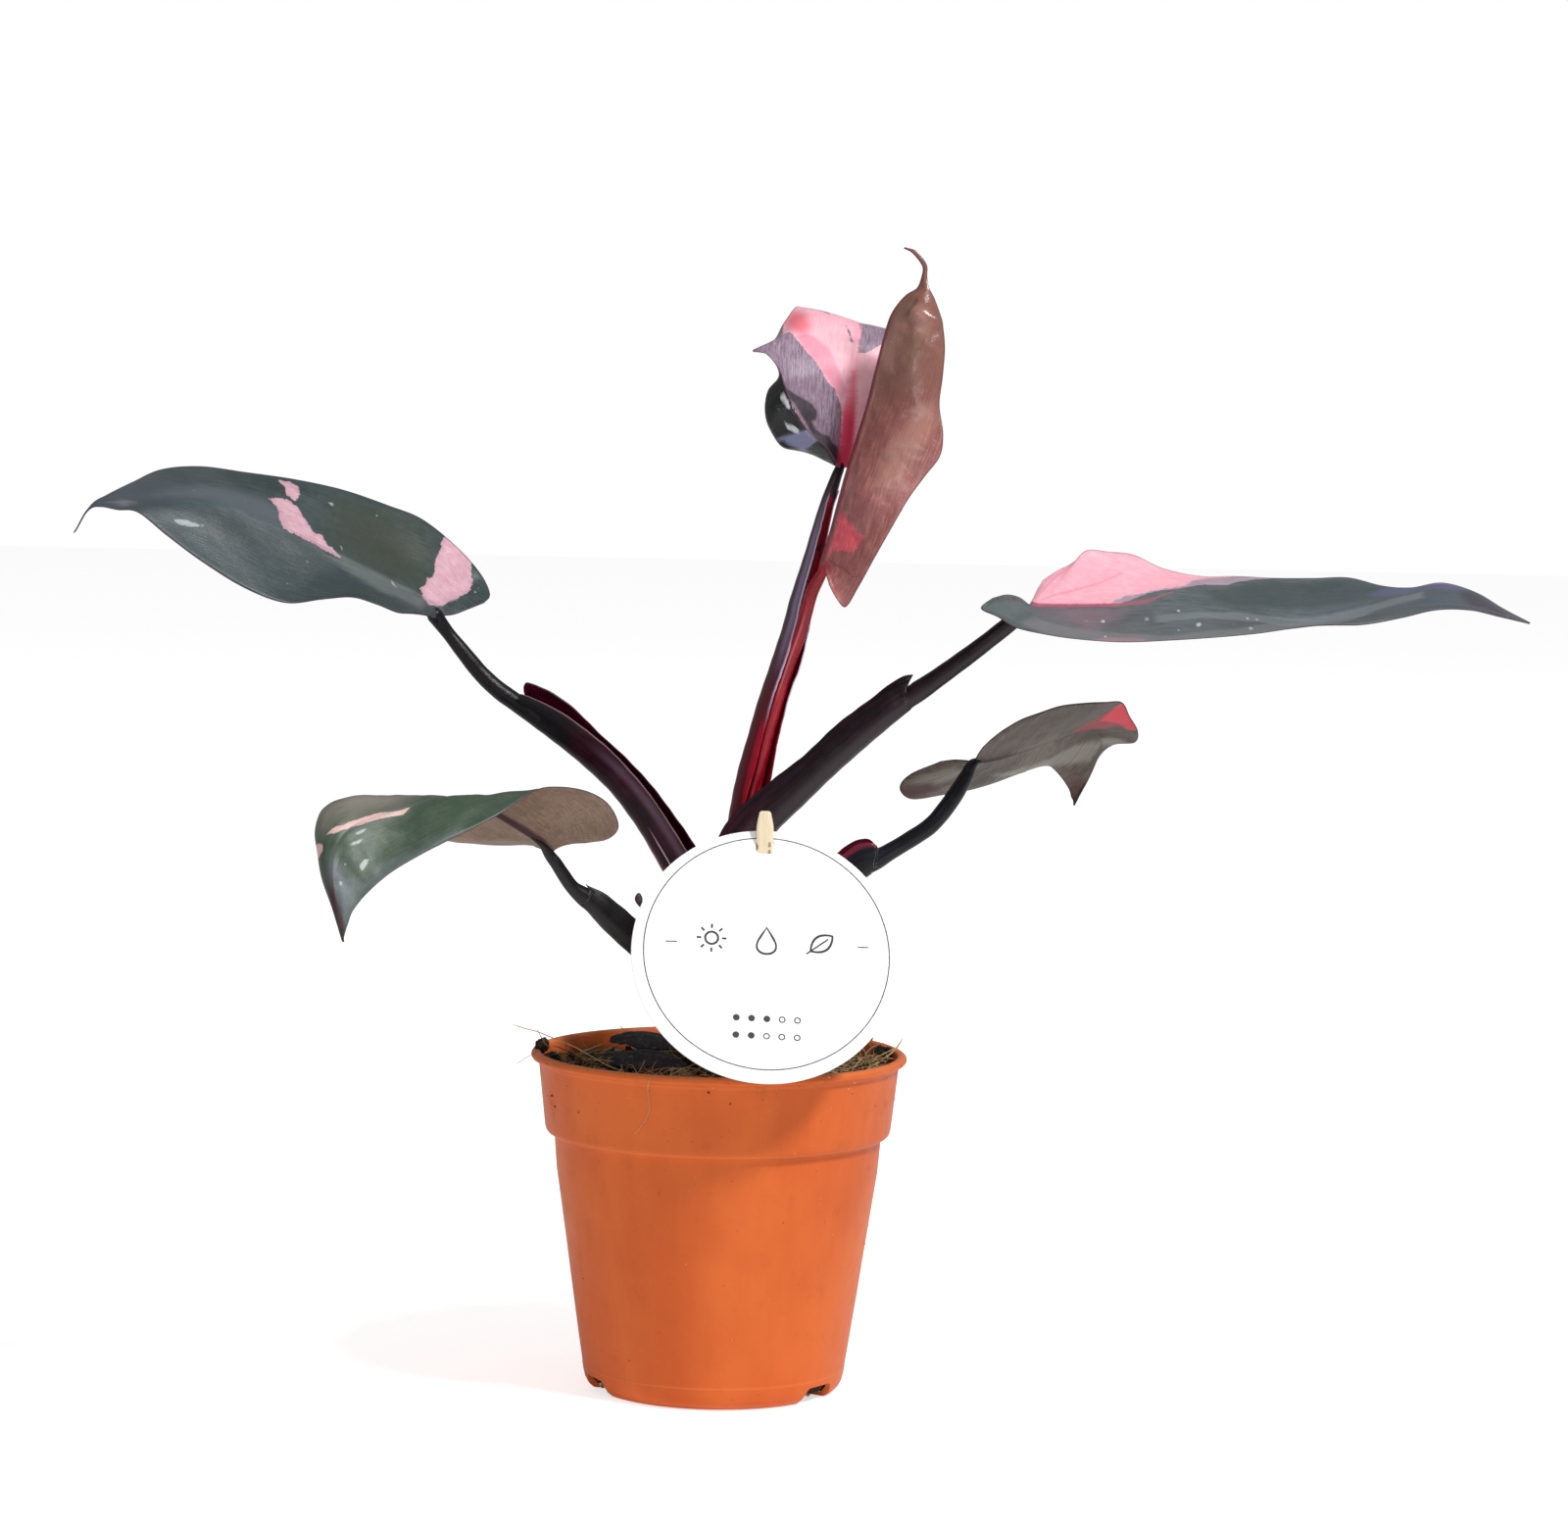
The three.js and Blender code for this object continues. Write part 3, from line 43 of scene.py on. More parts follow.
# ------------------------------------------------------------------ data, in millimetres, in the row frame
# control nets of the blades: one row per side vein, left margin to midrib to right margin
NETS = {
    "leaf_a": [
        [[-95.2, -19, 246.9], [-93.1, -14, 245.7], [-91.3, -9, 244.9], [-89.7, -6, 245.7], [-86.5, -3, 245.9], [-81.8, 1, 247.7], [-77.4, 5, 249.5]],
        [[-98.5, -24, 247.1], [-95.3, -18, 246.8], [-92.9, -12, 246.9], [-90.6, -6, 247.9], [-86.5, 1, 250.1], [-81, 7, 251.2], [-76, 11, 252]],
        [[-102.2, -30, 247.6], [-98.9, -23, 247.6], [-95.8, -15, 248.5], [-93.1, -7, 249.7], [-88.9, 4, 253], [-83.9, 11, 255.6], [-79.5, 16, 258.3]],
        [[-108, -34, 250.1], [-104.7, -27, 249.8], [-101.1, -18, 250.7], [-97.9, -9, 252.2], [-94.1, 1, 257.7], [-90.1, 9, 262.5], [-87.1, 15, 266.7]],
        [[-116, -37, 252.5], [-112.4, -30, 252.3], [-108.3, -21, 253.2], [-104.8, -12, 255.3], [-102.4, -1, 262.3], [-99.7, 7.5, 269.5], [-98.2, 14.5, 275.3]],
        [[-124.8, -40, 251.7], [-120.9, -33, 253.4], [-117.2, -24, 256.5], [-114, -16, 260.5], [-112.3, -5, 267.5], [-110.4, 4.5, 274.4], [-108.6, 11.5, 279.5]],
        [[-135.6, -43, 250.6], [-131.9, -36, 254], [-128.2, -28, 259.5], [-124.8, -20, 266.3], [-124.4, -9, 273], [-123.4, -0.5, 279.6], [-122.9, 6.5, 284.4]],
        [[-147.7, -46, 255], [-143.3, -40, 258.5], [-139.4, -32, 264.3], [-135.7, -24, 272], [-136.6, -13.5, 277.8], [-137.1, -6.5, 283.5], [-137.9, 0.5, 287.6]],
        [[-160.6, -49, 263], [-155.7, -43, 265.9], [-150.5, -36, 270.9], [-146.3, -28, 277.1], [-148.4, -18, 282], [-150.9, -10, 286], [-153, -3, 289.6]],
        [[-171.4, -50, 270.9], [-166.7, -45, 273.3], [-161.9, -40, 276.5], [-157, -33, 280.7], [-160, -24, 285], [-163.4, -16, 288.4], [-166.1, -10, 291.3]],
        [[-180.2, -50, 277.7], [-176.4, -47, 278.9], [-172.4, -43, 280.3], [-168.2, -38, 281.9], [-171.4, -30, 285.2], [-174.4, -24, 288.3], [-177.3, -18, 290.3]],
        [[-186.5, -50, 278.4], [-184, -48, 279], [-181.6, -46, 280.2], [-179.3, -43, 281.7], [-181.2, -38, 283.7], [-183, -34, 285.3], [-184.9, -29, 286.4]],
        [[-191.6, -50, 279.2], [-190.4, -49.5, 279.4], [-189.4, -48.5, 279.8], [-188.4, -47, 280.7], [-189.3, -45, 281.6], [-190.2, -43, 282.1], [-190.9, -42, 282.7]],
        [[-195.2, -51, 278.1], [-195.1, -50.6, 278.4], [-195, -50.3, 278.7], [-194.9, -50, 279], [-194.8, -49.7, 279.3], [-194.7, -49.4, 279.6], [-194.6, -49, 279.8]],
        [[-199.4, -53.4, 271.2], [-199.3, -53.2, 271.3], [-199.3, -53.1, 271.3], [-199.2, -53, 271.4], [-199, -52.9, 271.5], [-199, -52.8, 271.5], [-198.9, -52.6, 271.6]],
    ],
    "leaf_b1": [
        [[33.8, -1, 295.9], [33.2, 1, 295.4], [34.5, 4, 294.6], [35.5, 6, 294], [36.7, 6, 294.6], [37.9, 7, 295.2], [39.2, 8, 295.9]],
        [[30.6, -8, 300.9], [25.1, -4, 299.5], [30.4, 2, 297.6], [35.7, 6, 296.1], [39.5, 7, 296.8], [42.9, 9, 297.5], [46.4, 11, 298.1]],
        [[25.8, -12, 304.8], [16.7, -6, 300.9], [26.9, 1, 302.2], [36.3, 6, 299.2], [41.6, 8, 299.3], [47.3, 10, 299.4], [52.6, 13, 299.5]],
        [[22.1, -14, 309.4], [12.9, -7, 305.5], [24.3, 1, 306.8], [36.7, 6, 303], [42.8, 8, 302.5], [49.4, 11, 302.5], [56.3, 15, 303.2]],
        [[19.2, -13, 314.8], [10.9, -7, 311.6], [23.3, 1, 312.4], [37.1, 6, 307.3], [43.9, 8, 307.1], [51.5, 12, 307.9], [59.4, 17, 308.9]],
        [[16.9, -9, 320.3], [12, -4, 318.3], [23.8, 2, 317.3], [37.4, 6, 312.3], [44.8, 9, 313], [52.9, 13, 314.4], [61.8, 19, 316.4]],
        [[15, -5, 325.2], [16.3, -1, 322.7], [25.6, 3, 322.3], [37.8, 6, 317.9], [45.6, 9, 319.3], [54.1, 14, 321.3], [63.2, 20, 324]],
        [[10.9, -2, 330], [16.4, 3, 328.6], [26.7, 5, 327.3], [38.3, 7, 323.5], [46.1, 10, 324.9], [54.3, 15, 327.2], [63.8, 22, 330.2]],
        [[6.5, 3, 331], [17.6, 8, 333.6], [28.2, 8, 331.7], [38.8, 8, 328.8], [46.6, 11, 329.9], [54.8, 17, 331.9], [63.8, 24, 334.3]],
        [[12.9, 14, 334.2], [20.3, 13, 338.4], [29.7, 11, 336.4], [39.4, 10, 333.4], [47.2, 14, 334.5], [55.1, 20, 335.7], [63.2, 27, 336.8]],
        [[15.9, 21, 339.6], [22.7, 18, 342.2], [30.9, 16, 340.5], [40, 14, 336.9], [47.3, 19, 337.1], [54.3, 25, 337.3], [61.4, 32, 337.5]],
        [[19.9, 28, 345.3], [24.6, 25, 344.5], [31.5, 22, 342.7], [40.3, 20, 339.5], [47.4, 26, 338.7], [53.5, 33, 338.3], [59.1, 39, 336.6]],
        [[21.2, 37, 344], [25.6, 34, 344.1], [31.9, 31, 343.2], [40.7, 28, 340.5], [47.2, 34, 339.1], [52.4, 41, 337.1], [57.1, 46, 333.7]],
        [[23.8, 45, 340.1], [27.6, 42, 341.4], [33, 39, 341.4], [40.9, 36, 339.6], [46.7, 42, 337.6], [51.4, 48, 334.3], [55.4, 52, 329.6]],
        [[26.8, 52, 333.5], [30, 49, 335.5], [34.7, 46, 336.2], [40.7, 43, 335.9], [45.7, 49, 333.2], [49.3, 53, 329.8], [52.7, 57, 325.1]],
        [[30.9, 56, 325.3], [33.1, 54, 327.6], [36.2, 51, 329.2], [40, 48, 329.9], [43.3, 53, 327.1], [46, 57, 324.3], [48.1, 60, 320.5]],
        [[34.9, 56, 318.3], [35.8, 55, 319.6], [37, 53, 320.9], [38.6, 52, 321.9], [39.9, 54, 320.7], [40.9, 56, 319.4], [41.6, 57, 317.5]],
        [[36.9, 54.3, 314.1], [36.9, 54.2, 314.2], [37, 54.1, 314.2], [37.2, 54, 314.2], [37.3, 54.1, 314.2], [37.4, 54.2, 314.2], [37.5, 54.3, 314.1]],
    ],
    "leaf_b2": [
        [[32, -15, 258.1], [31.3, -13, 260.4], [30.7, -10, 262.4], [30.1, -7, 263.9], [31, -4, 262.8], [32.3, -2, 261.2], [33.6, 0, 259.3]],
        [[34.5, -18, 253.9], [33.8, -15, 256.9], [32.9, -12, 261.6], [30.6, -7.5, 266], [33.2, -3, 263.5], [35.5, -1, 260.3], [37.1, 1, 257.2]],
        [[37.3, -20, 251.6], [36.6, -17, 256.7], [34.7, -13, 262.3], [31.2, -8, 268.2], [34.4, -3, 265], [37, -1, 261], [39, 2, 256.5]],
        [[41.1, -21, 257.9], [39, -18, 260.5], [36.1, -14, 265.2], [32.1, -8.5, 271.4], [35.9, -3, 267.2], [39.1, 0, 263.1], [41.7, 2, 260]],
        [[45.8, -22, 266.9], [42.2, -19, 267.3], [37.9, -15, 270.8], [33.2, -9, 275.4], [37.7, -4, 271.6], [41.8, 0, 268.5], [45.3, 2, 266.9]],
        [[50.8, -23, 276.2], [45.4, -20, 275.7], [39.9, -16, 277.9], [34.6, -9, 281.3], [40, -5, 278.2], [45, -1, 276.6], [49.8, 2, 276.3]],
        [[56.1, -24, 285.8], [49.1, -21, 284.9], [42.4, -17, 285.9], [36.4, -9, 288.1], [42.3, -5, 286.6], [48.6, -1, 285.7], [54.9, 3, 286]],
        [[61.1, -24, 292.9], [52.6, -22, 292.7], [45, -17, 293.6], [38.1, -9, 295.2], [44.6, -5, 294.3], [51.8, 0, 293.4], [60, 3, 293.5]],
        [[65.6, -23, 299], [56.1, -22, 300.7], [47.3, -17, 301.6], [40.1, -9, 302.6], [47.2, -5, 302.1], [55.1, -0, 301.2], [64.5, 3, 300.1]],
        [[66.5, -22, 306], [57.8, -21, 308.3], [49.3, -17, 309.6], [42.1, -9, 310.3], [48.9, -5, 310.1], [56.8, 0, 309], [65.6, 3, 307.6]],
        [[65.2, -20, 315.1], [58.3, -20, 316.8], [50.7, -16, 317.9], [44.1, -9, 318.4], [50.3, -5, 318.2], [57.2, -1, 317.4], [64.1, 2, 316.2]],
        [[66.1, -18, 324], [59.3, -19, 325.7], [52.3, -16, 326.8], [46, -9, 326.4], [51.9, -6, 326.8], [58.5, -2, 326], [64.8, 1, 324.9]],
        [[66.6, -16, 333.5], [60.1, -18, 335.1], [53.7, -15, 335.3], [48, -9, 334.7], [53.6, -6, 335.4], [59.2, -3, 334.9], [65.2, 0, 334.2]],
        [[65.4, -14, 341.7], [60.5, -16, 343.1], [55.4, -14, 343.3], [50.3, -9, 342.7], [55, -7, 343.4], [59.3, -4, 343.2], [64.1, -2, 342.1]],
        [[63.3, -12, 347.8], [60.5, -13, 348.5], [57.2, -12, 348.6], [54.2, -9, 348.3], [56.7, -7.5, 348.6], [59.2, -6, 348.6], [62, -4, 347.9]],
        [[61.6, -11, 351.3], [60.4, -11, 351.6], [59.3, -10.5, 351.4], [58.1, -9, 351.1], [59, -8.5, 351.4], [60, -7.5, 351.6], [61.1, -6, 351.4]],
        [[60.8, -9.8, 354.8], [60.3, -10, 354.8], [59.9, -10, 354.8], [59.4, -9, 354.8], [59.9, -8.4, 354.8], [60.4, -8, 354.8], [60.7, -7.8, 354.8]],
        [[60.5, -9.8, 358.8], [60.2, -10, 358.7], [59.8, -9.8, 358.5], [59.5, -9, 358.4], [59.8, -8.6, 358.6], [60.1, -8.2, 358.7], [60.4, -8, 358.9]],
        [[57.2, -9.5, 362.9], [56.9, -9.6, 362.7], [56.6, -9.5, 362.5], [56.3, -9, 362.4], [56.6, -8.7, 362.5], [56.9, -8.5, 362.7], [57.1, -8.4, 362.9]],
        [[53.6, -9.2, 364], [53.5, -9.1, 364], [53.5, -9.1, 363.9], [53.4, -9, 363.8], [53.5, -8.9, 363.9], [53.5, -8.9, 364], [53.6, -8.8, 364]],
    ],
    "leaf_c": [
        [[100.5, 13, 259.7], [98.7, 9, 257.1], [97, 4, 254.1], [95.6, 0, 252.4], [92.1, -6, 255], [87.8, -13, 256.1], [83.2, -20, 255.3]],
        [[105, 17, 262.5], [102.3, 12, 259.8], [99.5, 6, 256.3], [96.8, 0, 252.3], [91.1, -9, 253.1], [85.5, -18, 253.1], [79.3, -27, 252.3]],
        [[110.4, 20, 265.3], [106.7, 14, 261.4], [102.7, 7, 256.9], [98.7, 0, 252.2], [93.9, -10, 251], [89.1, -21, 250.2], [84.4, -31, 249.9]],
        [[114.9, 22, 269.2], [110.9, 16, 263.6], [106.5, 8, 257.6], [101.5, 0, 252.2], [97.6, -11, 250.2], [93.6, -23, 248.6], [89.8, -34, 246.9]],
        [[121.9, 24, 268.8], [117.2, 17, 263.3], [112.2, 9, 257.6], [106.8, 0, 252.3], [104, -12, 249.4], [101.2, -24, 247.2], [98.9, -35, 245]],
        [[130.2, 25, 267.9], [125.5, 18, 262.8], [120.3, 9, 257.8], [114.8, 0, 252.5], [112.9, -12, 249], [111, -24, 246.2], [109.2, -35, 243.7]],
        [[139.9, 26, 263.7], [135.6, 18, 260.5], [130.6, 9, 256.7], [125.1, 0, 253], [124.3, -12, 249.2], [123.7, -23, 245.8], [123, -34, 243]],
        [[152, 27, 261.4], [147.6, 18, 259.2], [142.8, 9, 256.3], [137.5, 0, 253.4], [137.7, -11, 249.7], [137.8, -22, 246.6], [138.2, -33, 243.8]],
        [[163.7, 27, 261.6], [159.5, 18, 259.1], [155, 9, 256.3], [149.9, 0, 253], [151, -10, 249.6], [152.3, -21, 247.1], [153.6, -31, 245]],
        [[175.7, 26, 261.3], [171.8, 18, 258.7], [167.2, 9, 255.3], [162.4, 0, 251.5], [163.5, -9, 249.2], [164.7, -19, 247.6], [165.9, -29, 246.3]],
        [[188.4, 24, 261.6], [184.3, 17, 258], [179.8, 9, 253.9], [175, 1, 249.2], [175.6, -8, 248.5], [176.3, -17, 248], [176.8, -26, 247.9]],
        [[199.1, 21, 262.1], [195.6, 15, 258], [191.5, 8, 253.3], [187.5, 1, 248.2], [187.2, -7, 248.3], [186.9, -15, 248.6], [186.9, -23, 249]],
        [[209.8, 18, 259.8], [206.4, 13, 256.8], [203.3, 7, 253.5], [199.8, 1, 250.3], [199.6, -6, 249.8], [199.6, -12, 249.3], [199.8, -18, 249.1]],
        [[218.4, 14, 259.6], [216.3, 10, 257.7], [214.2, 5, 255.7], [212.2, 1, 253.2], [211.9, -4, 252.4], [211.9, -9, 251.7], [211.9, -14, 251.2]],
        [[227.8, 10, 261.5], [226.5, 7, 259.3], [224.8, 3, 257], [223.5, 0, 254.7], [223.3, -4, 254.3], [223.2, -7, 254], [223, -11, 253.7]],
        [[237.9, 6, 258.8], [236.6, 3, 257.5], [235.4, 1, 256], [234.3, -1, 254.5], [234.3, -3, 254.2], [234.3, -5, 253.9], [234.2, -8, 253.8]],
        [[246.2, 2, 254], [245.8, 1, 253.4], [245.2, -1, 252.9], [244.7, -2, 252.3], [244.6, -3, 252], [244.3, -4, 251.8], [244, -5, 251.7]],
        [[254.2, -2.5, 249.9], [254.1, -2.7, 249.8], [254, -2.8, 249.8], [254, -3, 249.7], [253.9, -3.2, 249.7], [253.9, -3.3, 249.6], [253.8, -3.5, 249.6]],
    ],
    "leaf_d": [
        [[69.1, 12, 201.2], [73.1, 10, 201.9], [76.9, 9, 201.9], [79.6, 8, 201.6], [80.2, 7, 202.9], [81, 5, 204.7], [82.1, 3, 206.6]],
        [[59.6, 18, 196.3], [66.8, 15, 197.9], [74.2, 12, 200.2], [81, 10, 201.8], [82, 7, 204.2], [83.4, 4, 207], [84.8, 1, 209.5]],
        [[56.4, 24, 191.3], [65.1, 20, 194.3], [74, 15, 198.1], [82.6, 12, 201.8], [84.6, 8, 205.2], [86.5, 3, 209], [88.7, 0, 212.7]],
        [[60.5, 30, 187.3], [68.8, 25, 191.4], [77.1, 20, 196.5], [84.9, 15, 202.1], [87.7, 9, 206.7], [90.8, 4, 211.5], [94, 0, 215.9]],
        [[70.8, 36, 188.3], [76.6, 31, 192], [82.6, 25, 196.8], [88.2, 19, 202.5], [91.9, 12, 207.8], [95.9, 6, 213.4], [99.6, 1, 218]],
        [[79.9, 42, 189.6], [84.1, 36, 193], [88.5, 30, 197.5], [92.6, 24, 203.1], [97.5, 17, 209.1], [102, 10, 214.8], [106.6, 5, 220.1]],
        [[87.9, 49, 191.4], [91.4, 42, 194.6], [94.5, 36, 198.7], [97.6, 30, 204], [103.4, 23, 210.1], [109.3, 17, 215.7], [114.5, 12, 220.7]],
        [[95.6, 56, 193.8], [98.4, 49, 196.4], [100.9, 43, 200.2], [103.3, 37, 205.5], [109.5, 31, 211.2], [116, 25, 216.2], [121.9, 20, 220.6]],
        [[102.7, 63, 195.7], [105.2, 57, 198.2], [107.4, 51, 201.9], [109.5, 45, 207.2], [115.8, 40, 211.9], [122.4, 35, 216.2], [128, 30, 219.9]],
        [[106.9, 70, 195.7], [110.1, 64, 199], [113, 59, 203.3], [115.4, 53, 208.7], [121.5, 49, 211.1], [127, 45, 213.4], [131.5, 42, 214.6]],
        [[109.6, 76, 193.6], [113.9, 72, 197.1], [117.4, 67, 202.5], [120.4, 61, 208.7], [125.8, 59, 209.4], [130.7, 56, 209.7], [135.1, 54, 209]],
        [[112.6, 81, 190.1], [116.6, 78, 193.7], [120.1, 74, 199.4], [123.6, 69, 206], [127.7, 68, 206.2], [131.9, 67, 205.4], [135.1, 66, 204.4]],
        [[114.9, 85, 186.5], [118, 83, 189.7], [121, 80, 194.6], [124.2, 77, 200.5], [125.8, 77, 201.9], [127.2, 78, 202.2], [128.8, 78, 202.5]],
        [[115.7, 87, 184], [117.6, 86, 186.2], [119.8, 85, 188.9], [122.2, 83, 193.1], [122.8, 84, 195], [123.2, 84, 196], [123.8, 85, 197.3]],
        [[116.5, 88, 182.6], [117.1, 87, 183.4], [118, 87, 184.4], [119.2, 86, 186.2], [119.5, 86, 187.2], [119.9, 87, 187.8], [120.2, 87, 188.8]],
        [[116.7, 88.2, 181], [116.7, 88.1, 181], [116.8, 88, 181], [116.8, 88, 181], [116.9, 88, 181.1], [117, 88, 181.1], [117, 88, 181.2]],
    ],
    "leaf_e": [
        [[-42, -52, 179], [-46.2, -47, 178], [-49.7, -42, 176.6], [-52.6, -38, 174.7], [-54.9, -34, 174.5], [-56.3, -31, 174.7], [-58.1, -27, 175]],
        [[-34.6, -59, 180.9], [-40.8, -54, 180.7], [-47.1, -47, 179.9], [-53.5, -39, 175.7], [-55.6, -33, 175.3], [-57.8, -27, 175.3], [-60.5, -22, 175.2]],
        [[-31.2, -62, 185.3], [-39, -56, 186.1], [-47.7, -48, 183], [-54.4, -40, 176.7], [-57.2, -32, 176], [-60.3, -25, 175.4], [-64.1, -18, 174.8]],
        [[-34.2, -64, 192], [-41.4, -57, 190.6], [-49.2, -48, 185.1], [-55.5, -41, 178], [-59.5, -35, 177], [-63.8, -28, 175.9], [-68.9, -21, 174.8]],
        [[-40.5, -65, 195.9], [-45.9, -57, 192.7], [-51.9, -49, 186.1], [-57.3, -43, 179.3], [-61.8, -37, 177.7], [-67.4, -29.5, 176], [-74.3, -22, 175]],
        [[-49.2, -66, 197.3], [-51.8, -59, 194.2], [-55.7, -52, 188.4], [-59.9, -46, 181.4], [-65.4, -38.5, 178.4], [-72.2, -31, 176.4], [-79.8, -23.5, 175.6]],
        [[-56.8, -68, 196.1], [-58.4, -60, 195.1], [-60.7, -55, 190.7], [-63.6, -50, 184.1], [-69.5, -41.5, 179.9], [-76.6, -34, 176.9], [-86, -27, 176.5]],
        [[-67.4, -77, 189.3], [-67.2, -67, 194.8], [-67.3, -61, 192.9], [-68.4, -56, 187.6], [-75.9, -46.5, 183.3], [-83.9, -39.5, 180], [-93.5, -33, 178.6]],
        [[-79.8, -85, 183], [-77.2, -77, 190.9], [-75.7, -69, 194.5], [-76.4, -63, 191.7], [-84.6, -53, 188.5], [-92.6, -46, 185.6], [-101.5, -40, 182.8]],
        [[-89.1, -90, 178.3], [-87.1, -83, 186.2], [-85.6, -76, 192.4], [-84.9, -70, 194.1], [-93.5, -59, 192.5], [-101.1, -53, 190], [-109.4, -48, 187.6]],
        [[-98, -94, 172.9], [-96.2, -89, 179.8], [-94.4, -83, 186.6], [-93.2, -77, 191.7], [-101.3, -69, 193.4], [-108.6, -64, 192.8], [-115.5, -59.5, 190.3]],
        [[-104.6, -98, 167], [-103.6, -94, 174.3], [-102.7, -89, 182], [-102.3, -84, 188.9], [-109.9, -78.5, 193.6], [-115.6, -74.5, 192.7], [-120.4, -71, 189.8]],
        [[-108.4, -101, 162], [-108.2, -98, 169.6], [-108.9, -94, 178.3], [-110.6, -90, 185.5], [-114.6, -88, 188.5], [-118.8, -86.5, 188], [-121.5, -84.5, 184.5]],
        [[-109.6, -103, 158.4], [-110.5, -101, 164.9], [-112, -98, 172.5], [-114.7, -95, 179.4], [-116.9, -93.8, 180.4], [-118.9, -92, 179.6], [-120.1, -90, 177.6]],
        [[-110.2, -104, 156.4], [-111.1, -103, 160.7], [-112.8, -101, 166.3], [-114.8, -99, 171.9], [-116.2, -98, 172.2], [-117.3, -97, 171.8], [-118.2, -95.5, 170.9]],
        [[-110.5, -105, 154.8], [-111.2, -104, 157.3], [-112.3, -103, 160.7], [-113.3, -102, 163.5], [-113.7, -101.5, 163.4], [-114.2, -101, 163.1], [-114.6, -100, 162.6]],
        [[-110.5, -105.5, 153.3], [-110.6, -105.3, 153.3], [-110.7, -105.1, 153.3], [-110.8, -105, 153.3], [-110.9, -104.9, 153.4], [-111, -104.7, 153.4], [-111.1, -104.5, 153.3]],
    ],
}

